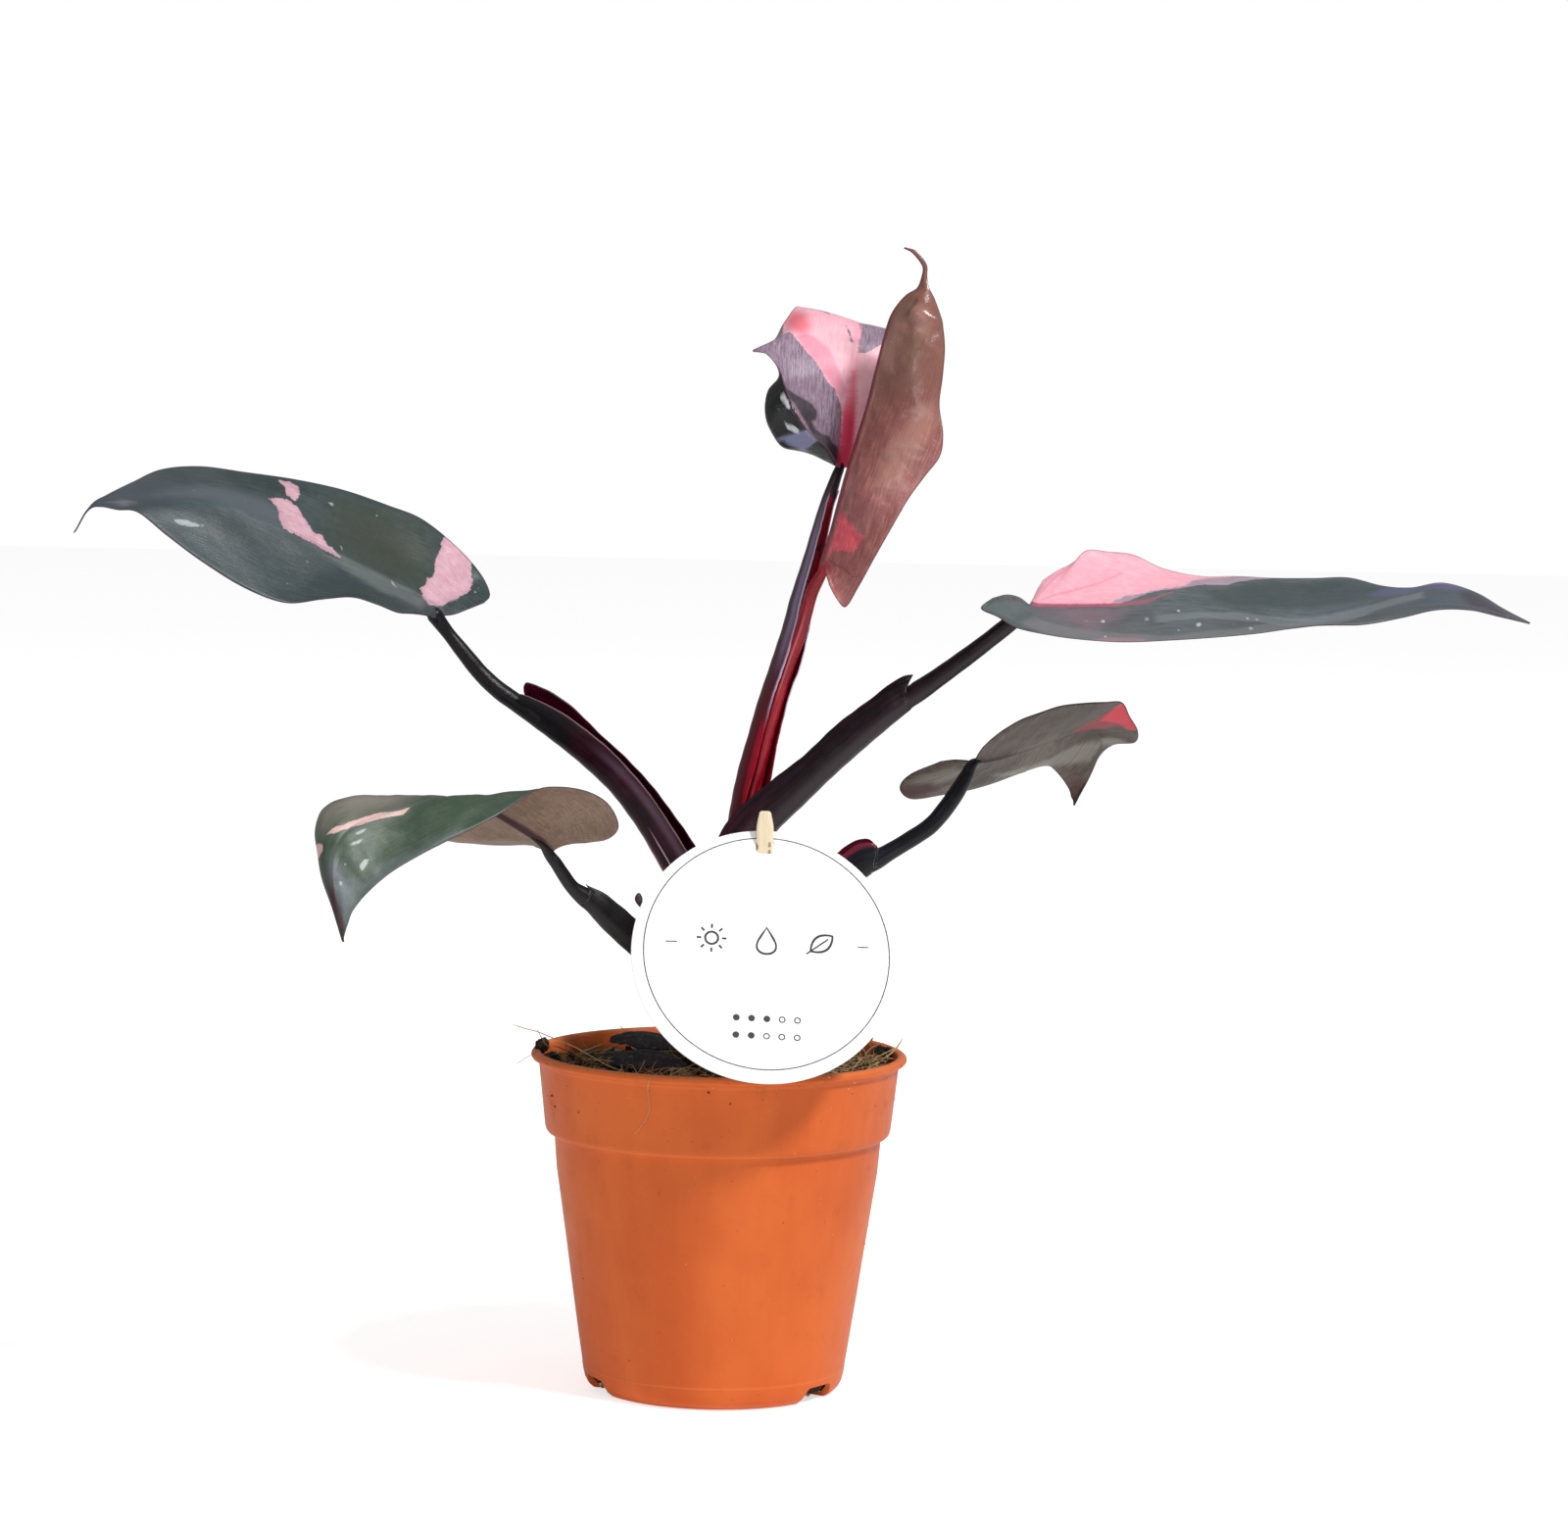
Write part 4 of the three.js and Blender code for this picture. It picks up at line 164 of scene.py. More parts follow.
# stalk centre lines: x, y, z, radius, sheath depth; o is the way the sheath opens
STALKS = {
    "petiole_a": {"o": [0.5, -0.4, 0.77], "st": [
        [-88.8, -6.2, 243, 2, 0],
        [-86.8, -6.6, 239.6, 2.2, 0],
        [-82.6, -7, 233.8, 2.4, 0],
        [-77.4, -7, 227.7, 2.65, 0],
        [-71.9, -7, 222.7, 2.8, 0],
        [-66, -7, 218.6, 2.9, 0],
        [-61, -7, 215.9, 3.7, 0.7],
        [-54.1, -7, 212, 4.4, 1],
        [-46.3, -7, 206.7, 4.9, 1],
        [-38.5, -6.6, 200.5, 5.1, 1],
        [-31.2, -6.2, 193.4, 5.2, 1],
        [-24.9, -5.8, 185.7, 5.4, 1],
        [-19.5, -5.4, 178, 5.7, 1],
        [-14.4, -5, 169.9, 6, 1],
        [-9.6, -4.6, 161.9, 6.1, 1],
        [-5.7, -4.2, 154.7, 6, 0.8],
    ]},
    "petiole_b1": {"o": [0.45, -0.89, 0], "st": [
        [34.6, 5.6, 291.8, 1.7, 0],
        [33.1, 5.2, 287.4, 2, 0],
        [31.3, 4.9, 282.4, 2.3, 0.5],
        [29, 4.6, 274.9, 2.7, 0.8],
        [26.7, 4.3, 267.1, 3, 1],
        [24.6, 4.1, 259.3, 3.4, 1],
        [22.6, 4, 250.8, 3.8, 1],
        [21.5, 4, 243.6, 4, 1],
        [18.9, 4, 232.7, 4.3, 1],
        [15.7, 4, 221.7, 4.6, 1],
        [12.3, 4, 209.1, 5, 1],
        [9.6, 4, 198.1, 5.6, 1],
        [7.9, 4, 189.6, 5.9, 1],
        [5.9, 4, 179.2, 6, 1],
        [4.1, 3.5, 171.3, 6, 0.8],
    ]},
    "petiole_b2": {"o": [0.45, -0.89, 0], "st": [
        [30, -6.3, 262, 1.5, 0],
        [28.9, -5.2, 259.7, 1.8, 0],
        [27, -3.6, 255.9, 2, 0],
        [25.8, -2.3, 251.8, 2, 0],
        [23.8, -0.9, 243.9, 2.1, 0],
        [20.2, 1, 232.9, 2.1, 0],
        [17.2, 1.7, 223.4, 2.1, 0],
        [14.2, 1.9, 212.4, 2.2, 0],
        [11.6, 2.1, 201.4, 2.2, 0],
        [10.6, 2.2, 196.7, 2.2, 0],
    ]},
    "petiole_c": {"o": [-0.45, 0.35, 0.82], "st": [
        [93.6, 2.2, 249.6, 1.9, 0],
        [89.9, 2.6, 246.3, 2.6, 0],
        [80.5, 2.6, 238.6, 2.7, 0],
        [72.8, 2, 232.7, 2.9, 0],
        [65.1, 1.2, 227, 3.1, 0],
        [60.8, 0.6, 224, 3.4, 0],
        [56.5, 0, 222.4, 4.7, 0.8],
        [49.7, -1, 217.3, 5, 1],
        [40.5, -2.4, 209.8, 5.5, 1],
        [34.4, -3.4, 204.1, 5.3, 1],
        [28.3, -4.4, 198.3, 5.4, 1],
        [19.1, -5.8, 190, 6, 1],
        [13, -6.8, 184.4, 6.4, 1],
        [8.2, -7.4, 178.7, 6.7, 1],
        [4.6, -7.4, 171.8, 6.7, 0.8],
    ]},
    "petiole_d": {"o": [-0.4, -0.12, 0.9], "st": [
        [78.8, 7, 200.4, 1.8, 0],
        [77.5, 6.4, 197.6, 2.2, 0],
        [75.6, 5.6, 194.2, 2.5, 0],
        [71.4, 4, 187.7, 2.7, 0],
        [66.1, 2.4, 181.4, 2.7, 0],
        [59.3, 1, 176.7, 2.7, 0],
        [53.1, 0, 172.9, 2.8, 0],
        [49.4, -0.6, 170.7, 3.2, 0.1],
        [45.7, -1, 169.8, 4.4, 0.9],
        [40.8, -1.6, 167.2, 5, 1],
        [33.7, -2.4, 162.8, 5.3, 1],
        [24.4, -3.2, 156.7, 5.5, 1],
        [16.8, -4, 151, 5.6, 1],
        [10, -4.4, 145.6, 5.6, 0.8],
    ]},
    "petiole_e": {"o": [0.5, 0.3, 0.8], "st": [
        [-53.2, -38, 173.1, 1.9, 0],
        [-51.7, -37.5, 171, 2.3, 0],
        [-49.2, -36.5, 167.2, 2.6, 0],
        [-45.6, -35, 163.2, 2.9, 0],
        [-41.9, -33.4, 160.1, 3.4, 0.4],
        [-38.6, -32, 157.8, 3.8, 1],
        [-34.5, -30, 153.8, 4.3, 1],
        [-29.1, -27, 148.1, 4.8, 1],
        [-23.1, -21.5, 141.7, 5.3, 1],
        [-15.4, -15.5, 135.5, 5.6, 1],
        [-7.1, -9, 129.9, 5.8, 0.8],
    ]},
    "main_stem": {"o": [0, -1, 0], "st": [
        [1.6, 0, 88.5, 6.2, 0],
        [1.3, 0, 105.5, 6.4, 0],
        [1.2, 0, 115, 6.6, 0],
        [1, 0, 124.5, 6.8, 0],
        [1.1, -0, 133.9, 7, 0],
        [1.3, 0, 143.4, 7, 0],
        [1.4, 0, 152.8, 7, 0],
        [1.9, 0, 160.6, 6.6, 0],
        [2.4, 0, 166.9, 5.4, 0],
    ]},
    "dry_bud": {"o": [0, -1, 0], "st": [
        [-3.7, -7.8, 147.3, 0.9, 0],
        [-9.6, -12, 150.8, 0.7, 0],
        [-15.7, -16, 153.6, 0.55, 0],
        [-20.9, -19, 155.1, 0.45, 0],
        [-23.9, -20.5, 155.4, 0.4, 0],
        [-25.2, -21, 156.3, 0.45, 0],
        [-25.6, -21.2, 157.3, 0.9, 0],
        [-25.9, -21.2, 158.5, 1.25, 0],
        [-25.9, -21.2, 159.6, 1, 0],
        [-25.8, -21.2, 160.5, 0.35, 0],
    ]},
}

# outlines of the coloured patches, as (row, side) on the blade: side -1 is the left margin, 0 the midrib, 1 the right margin
MARKS = {
    "leaf_a": {
        "pink": [
            [(7.33, 0.883), (7.08, 0.9), (6.92, 0.8), (6.88, 0.633), (6.96, 0.5), (7.04, 0.533), (7.17, 0.583), (7.21, 0.733)],
            [(7.62, 0.417), (7.38, 0.483), (7.17, 0.5), (6.92, 0.433), (6.67, 0.25), (6.42, 0.117), (6.29, 0.15), (6.21, 0.15), (6.04, 0.05), (5.79, 0.017), (5.58, -0.017), (5.88, -0.033), (6.38, -0.017), (6.71, -0.017), (6.92, -0.017), (7.25, -0.017), (7.38, 0.1), (7.38, 0.233), (7.46, 0.317)],
            [(3.29, 1.3), (3.42, 1.3), (3.04, 1.3), (2.5, 1.3), (2.38, 0.933), (2.08, 0.833), (1.75, 0.75), (1.38, 0.583), (1.08, 0.383), (1.08, 0.133), (1.21, 0.05), (1.88, -0.133), (2.54, -0.017), (3.04, 0.1), (2.96, 0.183), (3.08, 0.283), (2.92, 0.333), (3.17, 0.5), (3.29, 0.6), (3.29, 0.733), (3.38, 0.883)],
        ],
        "grey": [
            [(9.38, -0.667), (9.17, -0.533), (8.75, -0.467), (8.83, -0.55), (9.12, -0.683)],
            [(6.25, 0.65), (6.17, 0.667), (6.08, 0.617), (6.12, 0.6)],
            [(5.21, 0.75), (5.17, 0.767), (5.12, 0.717), (5.17, 0.717)],
            [(4.17, 0.033), (4.08, 0.033), (3.79, -0.033), (3.88, -0.05), (4.08, 0)],
            [(5.75, 0.133), (5.71, 0.133), (5.62, 0.067), (5.67, 0.083)],
            [(1.42, 0.7), (1.33, 0.75), (1.21, 0.733), (1.25, 0.7)],
            [(9.62, 0.2), (9.54, 0.217), (9.58, 0.167), (9.62, 0.183)],
            [(6.33, -0.233), (6.25, -0.233), (6.25, -0.25), (6.33, -0.25)],
        ],
        "warm": [
        ],
        "olive": [
            [(6.04, 0.733), (5, 0.883), (3.92, 0.767), (3.46, 0.683), (3.12, 0.167), (3.83, -0.033), (5.04, 0.017), (5.79, 0.133), (6.21, 0.4)],
        ],
        "blue": [
            [(10.62, 0.117), (9.46, 0.333), (8.21, 0.383), (7.21, 0.283), (6.46, 0.067), (7.29, -0.05), (8.75, -0.083), (9.88, 0.033)],
        ],
        # painted highlight: a pale band along the midrib
        "rib_painted_highlight": [
            [(5.67, -0.017), (4.75, 0.017), (3.75, 0.033), (2.25, -0.05), (2.08, -0.367), (3.79, -0.3), (5.12, -0.183), (5.79, -0.067)],
        ],
        # painted shade: a darker band below the midrib
        "shade": [
            [(10.54, -0.4), (8.67, -0.15), (6.88, -0.067), (5.58, -0.133), (4.29, -0.333), (5.71, -0.383), (7.5, -0.417), (9, -0.617)],
        ],
        # painted sheen: pale patches near the tip and along the midrib
        "sheen": [
            [(12.17, -0.05), (11.67, 0.033), (11.08, -0.25), (11.33, -0.5)],
            [(7.21, 0.133), (6.62, 0.033), (6, 0), (5.71, -0.017), (6.08, -0.033), (6.71, -0.033)],
        ],
        "low": [
            [(8.67, -1), (7.38, -0.867), (6.04, -0.75), (4.83, -0.583), (5.58, -0.483), (7.38, -0.517), (8.67, -0.667)],
        ],
    },
    "leaf_b1": {
        "grey": [
            [(-0.4, -0.02), (1.17, -0.033), (2.46, -0.05), (3.54, -0.05), (4.33, -0.05), (5.21, -0.067), (5.54, -0.1), (5.92, -0.133), (6.17, -0.2), (6.46, -0.25), (6.96, -0.317), (7.25, -0.383), (7.67, -0.467), (7.88, -0.517), (8.29, -0.617), (8.72, -0.7), (8.75, -0.83), (9.3, -0.9), (9.9, -0.97), (10.1, -1.3), (5, -1.3), (2, -1.3), (-0.4, -1.3)],
            [(11.46, -0.017), (10.08, 0.033), (9.17, 0.017), (8.42, 0.033), (8.29, 0.133), (8.5, 0.233), (8.71, 0.333), (9.67, 0.417), (11.21, 0.433), (11.58, 0.233), (11.75, 0.1)],
            [(11.29, -0.6), (12.25, 1.3), (11.38, -0.383), (10.83, -0.367), (10.96, -0.483), (11.29, -0.6)],
            [(10.38, -0.167), (9.92, -0.1), (9.25, -0.05), (9.08, -0.033), (9, -0.067), (9.54, -0.1)],
        ],
        "dark": [
            [(5.46, -0.55), (5.12, -0.467), (4.92, -0.417), (4.71, -0.35), (4.54, -0.283), (4.17, -0.233), (3.62, -0.25), (3.5, -0.283), (3.08, -0.267), (2.83, -0.217), (2.88, -0.15), (2.42, -0.133), (2.25, -0.083), (0.42, -0.017), (1.17, -0.25), (2.17, -0.3), (3.29, -0.333), (4.25, -0.4)],
        ],
        # painted highlights on the glossy curled flap
        "flap_painted_highlight": [
            [(4.75, -0.933), (4.62, -0.95), (4.17, -0.967), (3.71, -0.967), (3.88, -0.933), (4.38, -0.917)],
            [(3.33, -0.883), (3.08, -0.9), (2.67, -0.933), (2.25, -0.933), (2.46, -0.9), (2.83, -0.867)],
        ],
        # painted sheen: a lavender band along the flap's lower edge
        "flap_painted_sheen": [
            [(2.46, -0.717), (2.29, -0.783), (1.62, -0.767), (1.12, -0.667), (2.08, -1.3), (2.42, -1.3)],
        ],
        # painted shadow: a soft mauve arc where the blade's hidden far part hangs behind the thin pink tissue
        "arc_painted_shadow": [
            [(8.42, -0.617), (8.71, -0.533), (8.62, -0.417), (8.17, -0.267), (7.42, -0.167), (6.58, -0.083), (6.04, -0.033), (5.42, -0.067), (5.92, -0.15), (6.54, -0.25), (7.38, -0.4), (7.92, -0.533)],
        ],
        "warm": [
            [(0.04, -0.1), (2.46, -0.05), (3.54, -0.05), (4.54, -0.05), (5.46, -0.033), (6.33, -0.017), (7.29, -0.017), (7.33, 0.033), (6.08, 0.05), (4.71, 0.1), (3.04, 0.133), (1.58, 0.15), (0, 0.367)],
        ],
        "salmon": [
            [(10.33, -1), (10.71, -0.933), (10.12, -0.633), (9.21, -0.517), (8.58, -0.55), (8.67, -0.683), (9.83, -0.933)],
        ],
        "flap": [
            [(0.3, -1.3), (0.3, -0.72), (1, -0.7), (2, -0.69), (3, -0.69), (4, -0.69), (5, -0.7), (6, -0.75), (7, -0.85), (7.5, -1), (7.5, -1.3)],
        ],
    },
    "leaf_b2": {
        # painted highlights: pale copper streaks and patches where the blade catches the light
        "painted_highlight": [
            [(10.88, -0.167), (11.71, 0.1), (12.33, -0.1), (12.75, -0.15), (12.62, -0.233), (12.04, -0.233), (11.5, -0.233), (10.83, -0.25)],
            [(13.29, -0.383), (13.42, -0.55), (13.04, -0.667), (12.71, -0.65), (12.75, -0.533)],
            [(12.38, -0.583), (12.5, -0.7), (12.25, -0.717), (12.12, -0.633)],
            [(6.42, -0.433), (7.17, -0.383), (7.83, -0.433), (8.71, -0.517), (9.71, -0.7), (9.96, -0.867), (9.58, -0.933), (8.75, -0.833), (7.83, -0.767), (6.83, -0.7), (6.42, -0.6)],
        ],
        "olive": [
            [(12.04, -0.283), (12.42, -0.433), (12.12, -0.683), (11.58, -0.733), (11.17, -0.567), (11.12, -0.367)],
            [(13.88, 0.133), (13.79, -0.367), (13.08, -0.367), (12.58, -0.333), (12.75, -0.217)],
        ],
        "deep": [
            [(13.92, -0.35), (13.79, -0.467), (13.08, -0.4), (12.79, -0.35), (13, -0.3)],
            [(6.46, -0.467), (6.46, -0.483), (5.58, -0.45), (5.58, -0.433)],
            [(1.75, -0.083), (2.83, -0.367), (3.42, -0.883), (3.38, -0.9), (2.71, -0.383), (1.54, -0.1)],
        ],
        "pink": [
            [(-0.4, 0), (-0.4, 0), (-0.4, 0), (4.92, -0.05), (5.08, -0.133), (4.88, -0.217), (4.92, -0.333), (4.62, -0.367), (4.71, -0.45), (4.71, -0.583), (4.38, -0.483), (4.17, -0.517), (3.88, -0.433), (3.42, -0.233), (2.67, -0.1), (1.42, -0.05)],
        ],
        "warm": [
            [(-0.4, 0), (1.12, -0.033), (1.83, -0.2), (0.88, -0.317), (0.08, -0.4), (-0.4, -0.133)],
        ],
        "grey": [
        ],
    },
    "leaf_c": {
        "pink": [
            [(0, -0.117), (-0.4, -0.617), (-0.4, -0.967), (0.96, -1.3), (2.17, -1.3), (3, -1.3), (3.92, -1.3), (4.96, -1.3), (6.04, -1.3), (6.71, -1.3), (7.54, -1.3), (8, -1.3), (8, -1), (7.71, -0.917), (7.38, -0.9), (7, -0.783), (7, -0.583), (6.46, -0.417), (6.17, -0.283), (5.83, -0.217), (5.71, -0.1), (5.67, -0.017), (4.92, -0.017), (3.92, -0.017), (1.92, -0.017)],
            [(13.38, -1), (13.96, -0.983), (14.5, -1), (14.83, -1.3), (14.21, -1.3), (13.54, -1.3)],
        ],
        "grey": [
            [(5.5, -0.017), (5.54, -0.117), (5.67, -0.3), (6.04, -0.383), (6.33, -0.533), (6.88, -0.717), (6.92, -0.9), (7.42, -1), (8, -1.3), (9, -1.3), (9.08, -0.983), (8.58, -0.883), (8.21, -0.767), (8.04, -0.65), (7.33, -0.65), (6.96, -0.5), (6.5, -0.383), (6.29, -0.283), (6.04, -0.067), (5.88, 0)],
            [(5.46, 0.383), (5.54, 0.383), (5.54, 0.45), (5.46, 0.433)],
            [(6.54, 0.333), (6.62, 0.35), (6.62, 0.417), (6.58, 0.4)],
            [(7.71, 0.5), (7.79, 0.517), (7.75, 0.6), (7.67, 0.6)],
            [(7.33, 0.133), (7.38, 0.15), (7.38, 0.2), (7.33, 0.2)],
            [(8.92, 0.65), (8.96, 0.7), (8.88, 0.8), (8.83, 0.783)],
            [(6.79, 0.733), (6.83, 0.733), (6.79, 0.8), (6.75, 0.783)],
        ],
        "warm": [
        ],
        "fleck": [
            [(5.46, 0.433), (5.46, 0.383), (5.5, 0.367), (5.54, 0.383), (5.58, 0.433), (5.54, 0.467), (5.5, 0.483), (5.46, 0.467)],
            [(6.54, 0.383), (6.54, 0.35), (6.58, 0.333), (6.62, 0.35), (6.62, 0.383), (6.62, 0.417), (6.58, 0.433), (6.54, 0.417)],
            [(7.67, 0.533), (7.71, 0.483), (7.75, 0.467), (7.79, 0.483), (7.79, 0.533), (7.75, 0.6), (7.67, 0.65), (7.62, 0.633)],
            [(7.33, 0.183), (7.33, 0.167), (7.38, 0.15), (7.42, 0.15), (7.42, 0.183), (7.38, 0.217), (7.33, 0.233), (7.33, 0.217)],
            [(7.17, 0.75), (7.21, 0.7), (7.21, 0.7), (7.25, 0.7), (7.25, 0.733), (7.21, 0.783), (7.21, 0.783), (7.17, 0.783)],
            [(9.04, 0.267), (9.08, 0.2), (9.12, 0.183), (9.12, 0.217), (9.12, 0.25), (9.08, 0.317), (9.04, 0.333), (9, 0.333)],
            [(9.29, 0.25), (9.33, 0.2), (9.38, 0.167), (9.38, 0.2), (9.38, 0.25), (9.33, 0.317), (9.29, 0.35), (9.25, 0.35)],
            [(8.88, 0.733), (8.92, 0.667), (8.96, 0.65), (9, 0.667), (8.96, 0.767), (8.92, 0.817), (8.83, 0.867), (8.83, 0.817)],
            [(6.79, 0.767), (6.79, 0.733), (6.83, 0.717), (6.83, 0.733), (6.83, 0.783), (6.83, 0.8), (6.79, 0.817), (6.79, 0.8)],
            [(5.58, 0.867), (5.62, 0.833), (5.62, 0.817), (5.67, 0.833), (5.67, 0.867), (5.67, 0.9), (5.67, 0.917), (5.62, 0.917)],
            [(5, 0.417), (5, 0.4), (5.04, 0.383), (5.08, 0.4), (5.08, 0.417), (5.08, 0.45), (5.04, 0.467), (5.04, 0.467)],
        ],
        "lobevein": [
            [(0.54, -0.167), (1.12, -0.45), (1.42, -0.817), (2.17, -1), (2.38, -0.933), (1.79, -0.7), (1.54, -0.367), (1.17, -0.083)],
            [(1.5, -0.117), (3.54, -0.267), (4.58, -0.417), (5.08, -0.65), (5.17, -0.617), (4.67, -0.383), (3.71, -0.217), (1.75, -0.083)],
        ],
        "rimpink": [
            [(5.29, 1), (5.58, 0.9), (6.12, 0.883), (6.5, 0.933), (6.54, 1.3), (5.92, 1.3), (5.25, 1.3)],
        ],
        # painted sheen: the near half lighter towards its margin
        "near": [
            [(2.92, 0.833), (3.79, 0.967), (5, 1.3), (6.71, 1.3), (8.33, 1.3), (10.29, 1.3), (12.17, 1.3), (12.75, 0.917), (10.58, 0.233), (8.5, 0.733), (7.12, 0.867), (5.88, 0.75), (4.58, 0.65), (3.12, 0.5)],
        ],
        # painted highlight: a bright band along the midrib's groove
        "valley_painted_highlight": [
            [(6.83, 0.317), (8.04, 0.167), (9.62, 0), (10.79, -0.083), (11.92, -0.3), (13.46, -0.617), (13.62, -0.35), (12.21, -0.05), (10.67, 0.933), (9.33, 0.383), (8, 0.317), (6.79, 0.483)],
        ],
        "dusk": [
            [(7.54, -0.433), (8.92, -0.767), (10.58, -0.933), (12.29, -1), (13, -0.983), (12.04, -0.533), (10.67, -0.233), (9.46, -0.167), (8.25, -0.117)],
        ],
        "blush": [
            [(2.71, 0.05), (4.21, 0.033), (5.58, 0.033), (6.5, 0.1), (6.12, 0.35), (5.67, 0.617), (5.21, 0.783), (4.54, 0.55), (3.67, 0.3)],
        ],
        "ribred": [
            [(0.29, -0.067), (4.54, -0.017), (5.83, -0.017), (6.58, -0.15), (6.96, -0.5), (6.92, -0.4), (6.62, -0.017), (5.88, 0.05), (4.62, 0.05), (1.83, 0.083)],
        ],
        "lobe": [
            [(0.83, 0.95), (0.5, 0.717), (0.67, 0.267), (1.88, 0.167), (2.29, 0.567), (1.92, 0.917), (1.5, 1)],
        ],
        "tipc": [
            [(11.79, -0.667), (12.17, -0.95), (13, -1), (13.96, -1), (14.54, -1), (14.83, -0.95), (14.33, -0.667), (13.42, -0.717), (12.54, -0.65)],
        ],
        "tippink": [
            [(13.42, -1), (13.96, -1), (14.54, -1), (14.62, -1), (13.96, -0.933), (13.5, -0.933)],
        ],
        "brown": [
            [(14.62, -0.633), (14.83, -0.9), (15.92, -0.617), (17, 0.75), (16.96, 1), (15.88, 1), (15.04, -0.1)],
        ],
    },
    "leaf_d": {
        "pink": [
            [(8.04, 0.117), (8.17, 0.3), (8.12, 0.617), (8.08, 0.85), (8.04, 1.3), (8.54, 1.3), (9.54, 1.3), (9.92, 0.883), (9.79, 0.7), (9.62, 0.533), (10.04, 0.15), (9.42, -0.05)],
        ],
        "grey": [
        ],
        "bright": [
            [(8.54, 0.483), (8.08, 0.85), (8.04, 1.3), (8.54, 1.3), (9.54, 1.3), (9.92, 0.883), (9.88, 0.75), (9.33, 0.633)],
        ],
        # painted light: a paler band where the blade is lit
        "light": [
            [(5.12, -0.483), (7.5, -0.567), (9.08, -0.417), (11.08, -0.067), (11.21, 0.833), (12.38, 1.3), (11.54, -0.317), (10.29, -0.633), (8.08, -1.3)],
        ],
        "lobe": [
            [(1.88, -0.95), (1.29, -0.717), (0.96, -0.35), (2.29, -0.233), (2.71, -0.4), (2.5, -0.717), (2.42, -0.95)],
        ],
        # painted shadow: a darker zone beside the midrib
        "shade": [
            [(1.33, 0.033), (2.71, 0.783), (4.04, 0.983), (5.96, 0.9), (7.71, 0.817), (7.62, 0.217), (5.62, 0.133), (3.29, -0.033)],
        ],
        "edge": [
            [(10.79, -0.633), (12.21, -0.417), (12.79, 0.017), (13.58, 0), (14.71, 0.75), (12.79, -1), (11.25, -0.917)],
        ],
        "warm": [
            [(1.83, -0.917), (2.21, -0.633), (3.38, -0.667), (3.5, -1), (3.17, -1.3), (2.46, -1.3)],
            [(12.83, -0.383), (13.5, -0.45), (14.5, -0.5), (14.92, -1.3), (12.17, -1.3), (11.75, -0.75)],
        ],
    },
    "leaf_e": {
        "pink": [
            [(12.62, 0.45), (12.12, 0.15), (11.62, 0.067), (10.83, 0.033), (10.42, -0.017), (9.96, -0.017), (10.21, -0.117), (10.58, -0.067), (11.12, -0.033), (11.67, -0.017), (12.08, 0.033), (12.5, 0.2)],
            [(12.42, 1.3), (12.62, 1), (12.92, 0.533), (13.12, 0.517), (13.25, 0.75), (13.21, 1.3), (12.71, 1.3)],
        ],
        "grey": [
            [(11.83, -0.1), (11.58, -0.1), (11.33, -0.1), (11.54, -0.133), (11.75, -0.133)],
            [(12.12, -0.183), (11.79, -0.2), (11.5, -0.217), (11.71, -0.25), (12.04, -0.217)],
            [(11.71, -0.5), (11.46, -0.483), (11.17, -0.517), (11.29, -0.567), (11.5, -0.6), (11.67, -0.55)],
            [(12.67, -0.283), (12.54, -0.317), (12.54, -0.333), (12.67, -0.3)],
            [(13.42, -0.3), (13.12, -0.383), (13.17, -0.417), (13.42, -0.35)],
        ],
        "warm": [
        ],
        # painted sheen: soft bluish-lavender patches near the tip and along the margin
        "sheen": [
            [(14, 0.383), (13, -0.167), (12.75, -0.367), (11.96, -0.7), (11.58, -0.717), (12.04, -0.933), (13.71, -0.833), (15.38, 0.483), (14.67, 0.517)],
            [(11.25, -0.85), (10.25, -0.85), (9.04, -0.95), (7.83, -0.983), (8.75, -0.933), (9.79, -0.967), (10.71, -0.983)],
        ],
        "mauve": [
            [(11.38, 1), (11.21, 0.583), (10.25, 0.367), (9.33, 0.25), (10.38, 0.1), (11.58, 0.15), (12.25, 0.617)],
        ],
        "base": [
            [(15.75, 1), (15.46, -0.05), (13.75, -0.867), (14.62, -1), (16, -1.3), (16, 1.3)],
        ],
        "green": [
            [(12.38, 0.6), (12.08, 0.283), (11.33, 0.1), (10.54, -0.15), (10, -0.433), (10.04, -0.683), (10.38, -0.817), (11.29, -0.75), (12.79, -0.45), (13.46, 0.033), (12.92, 0.45)],
            [(9.1, -0.15), (8.2, -0.1), (7.2, -0.2), (6.8, -0.6), (7.3, -0.9), (8.4, -0.9), (9.2, -0.6)],
        ],
    },
}

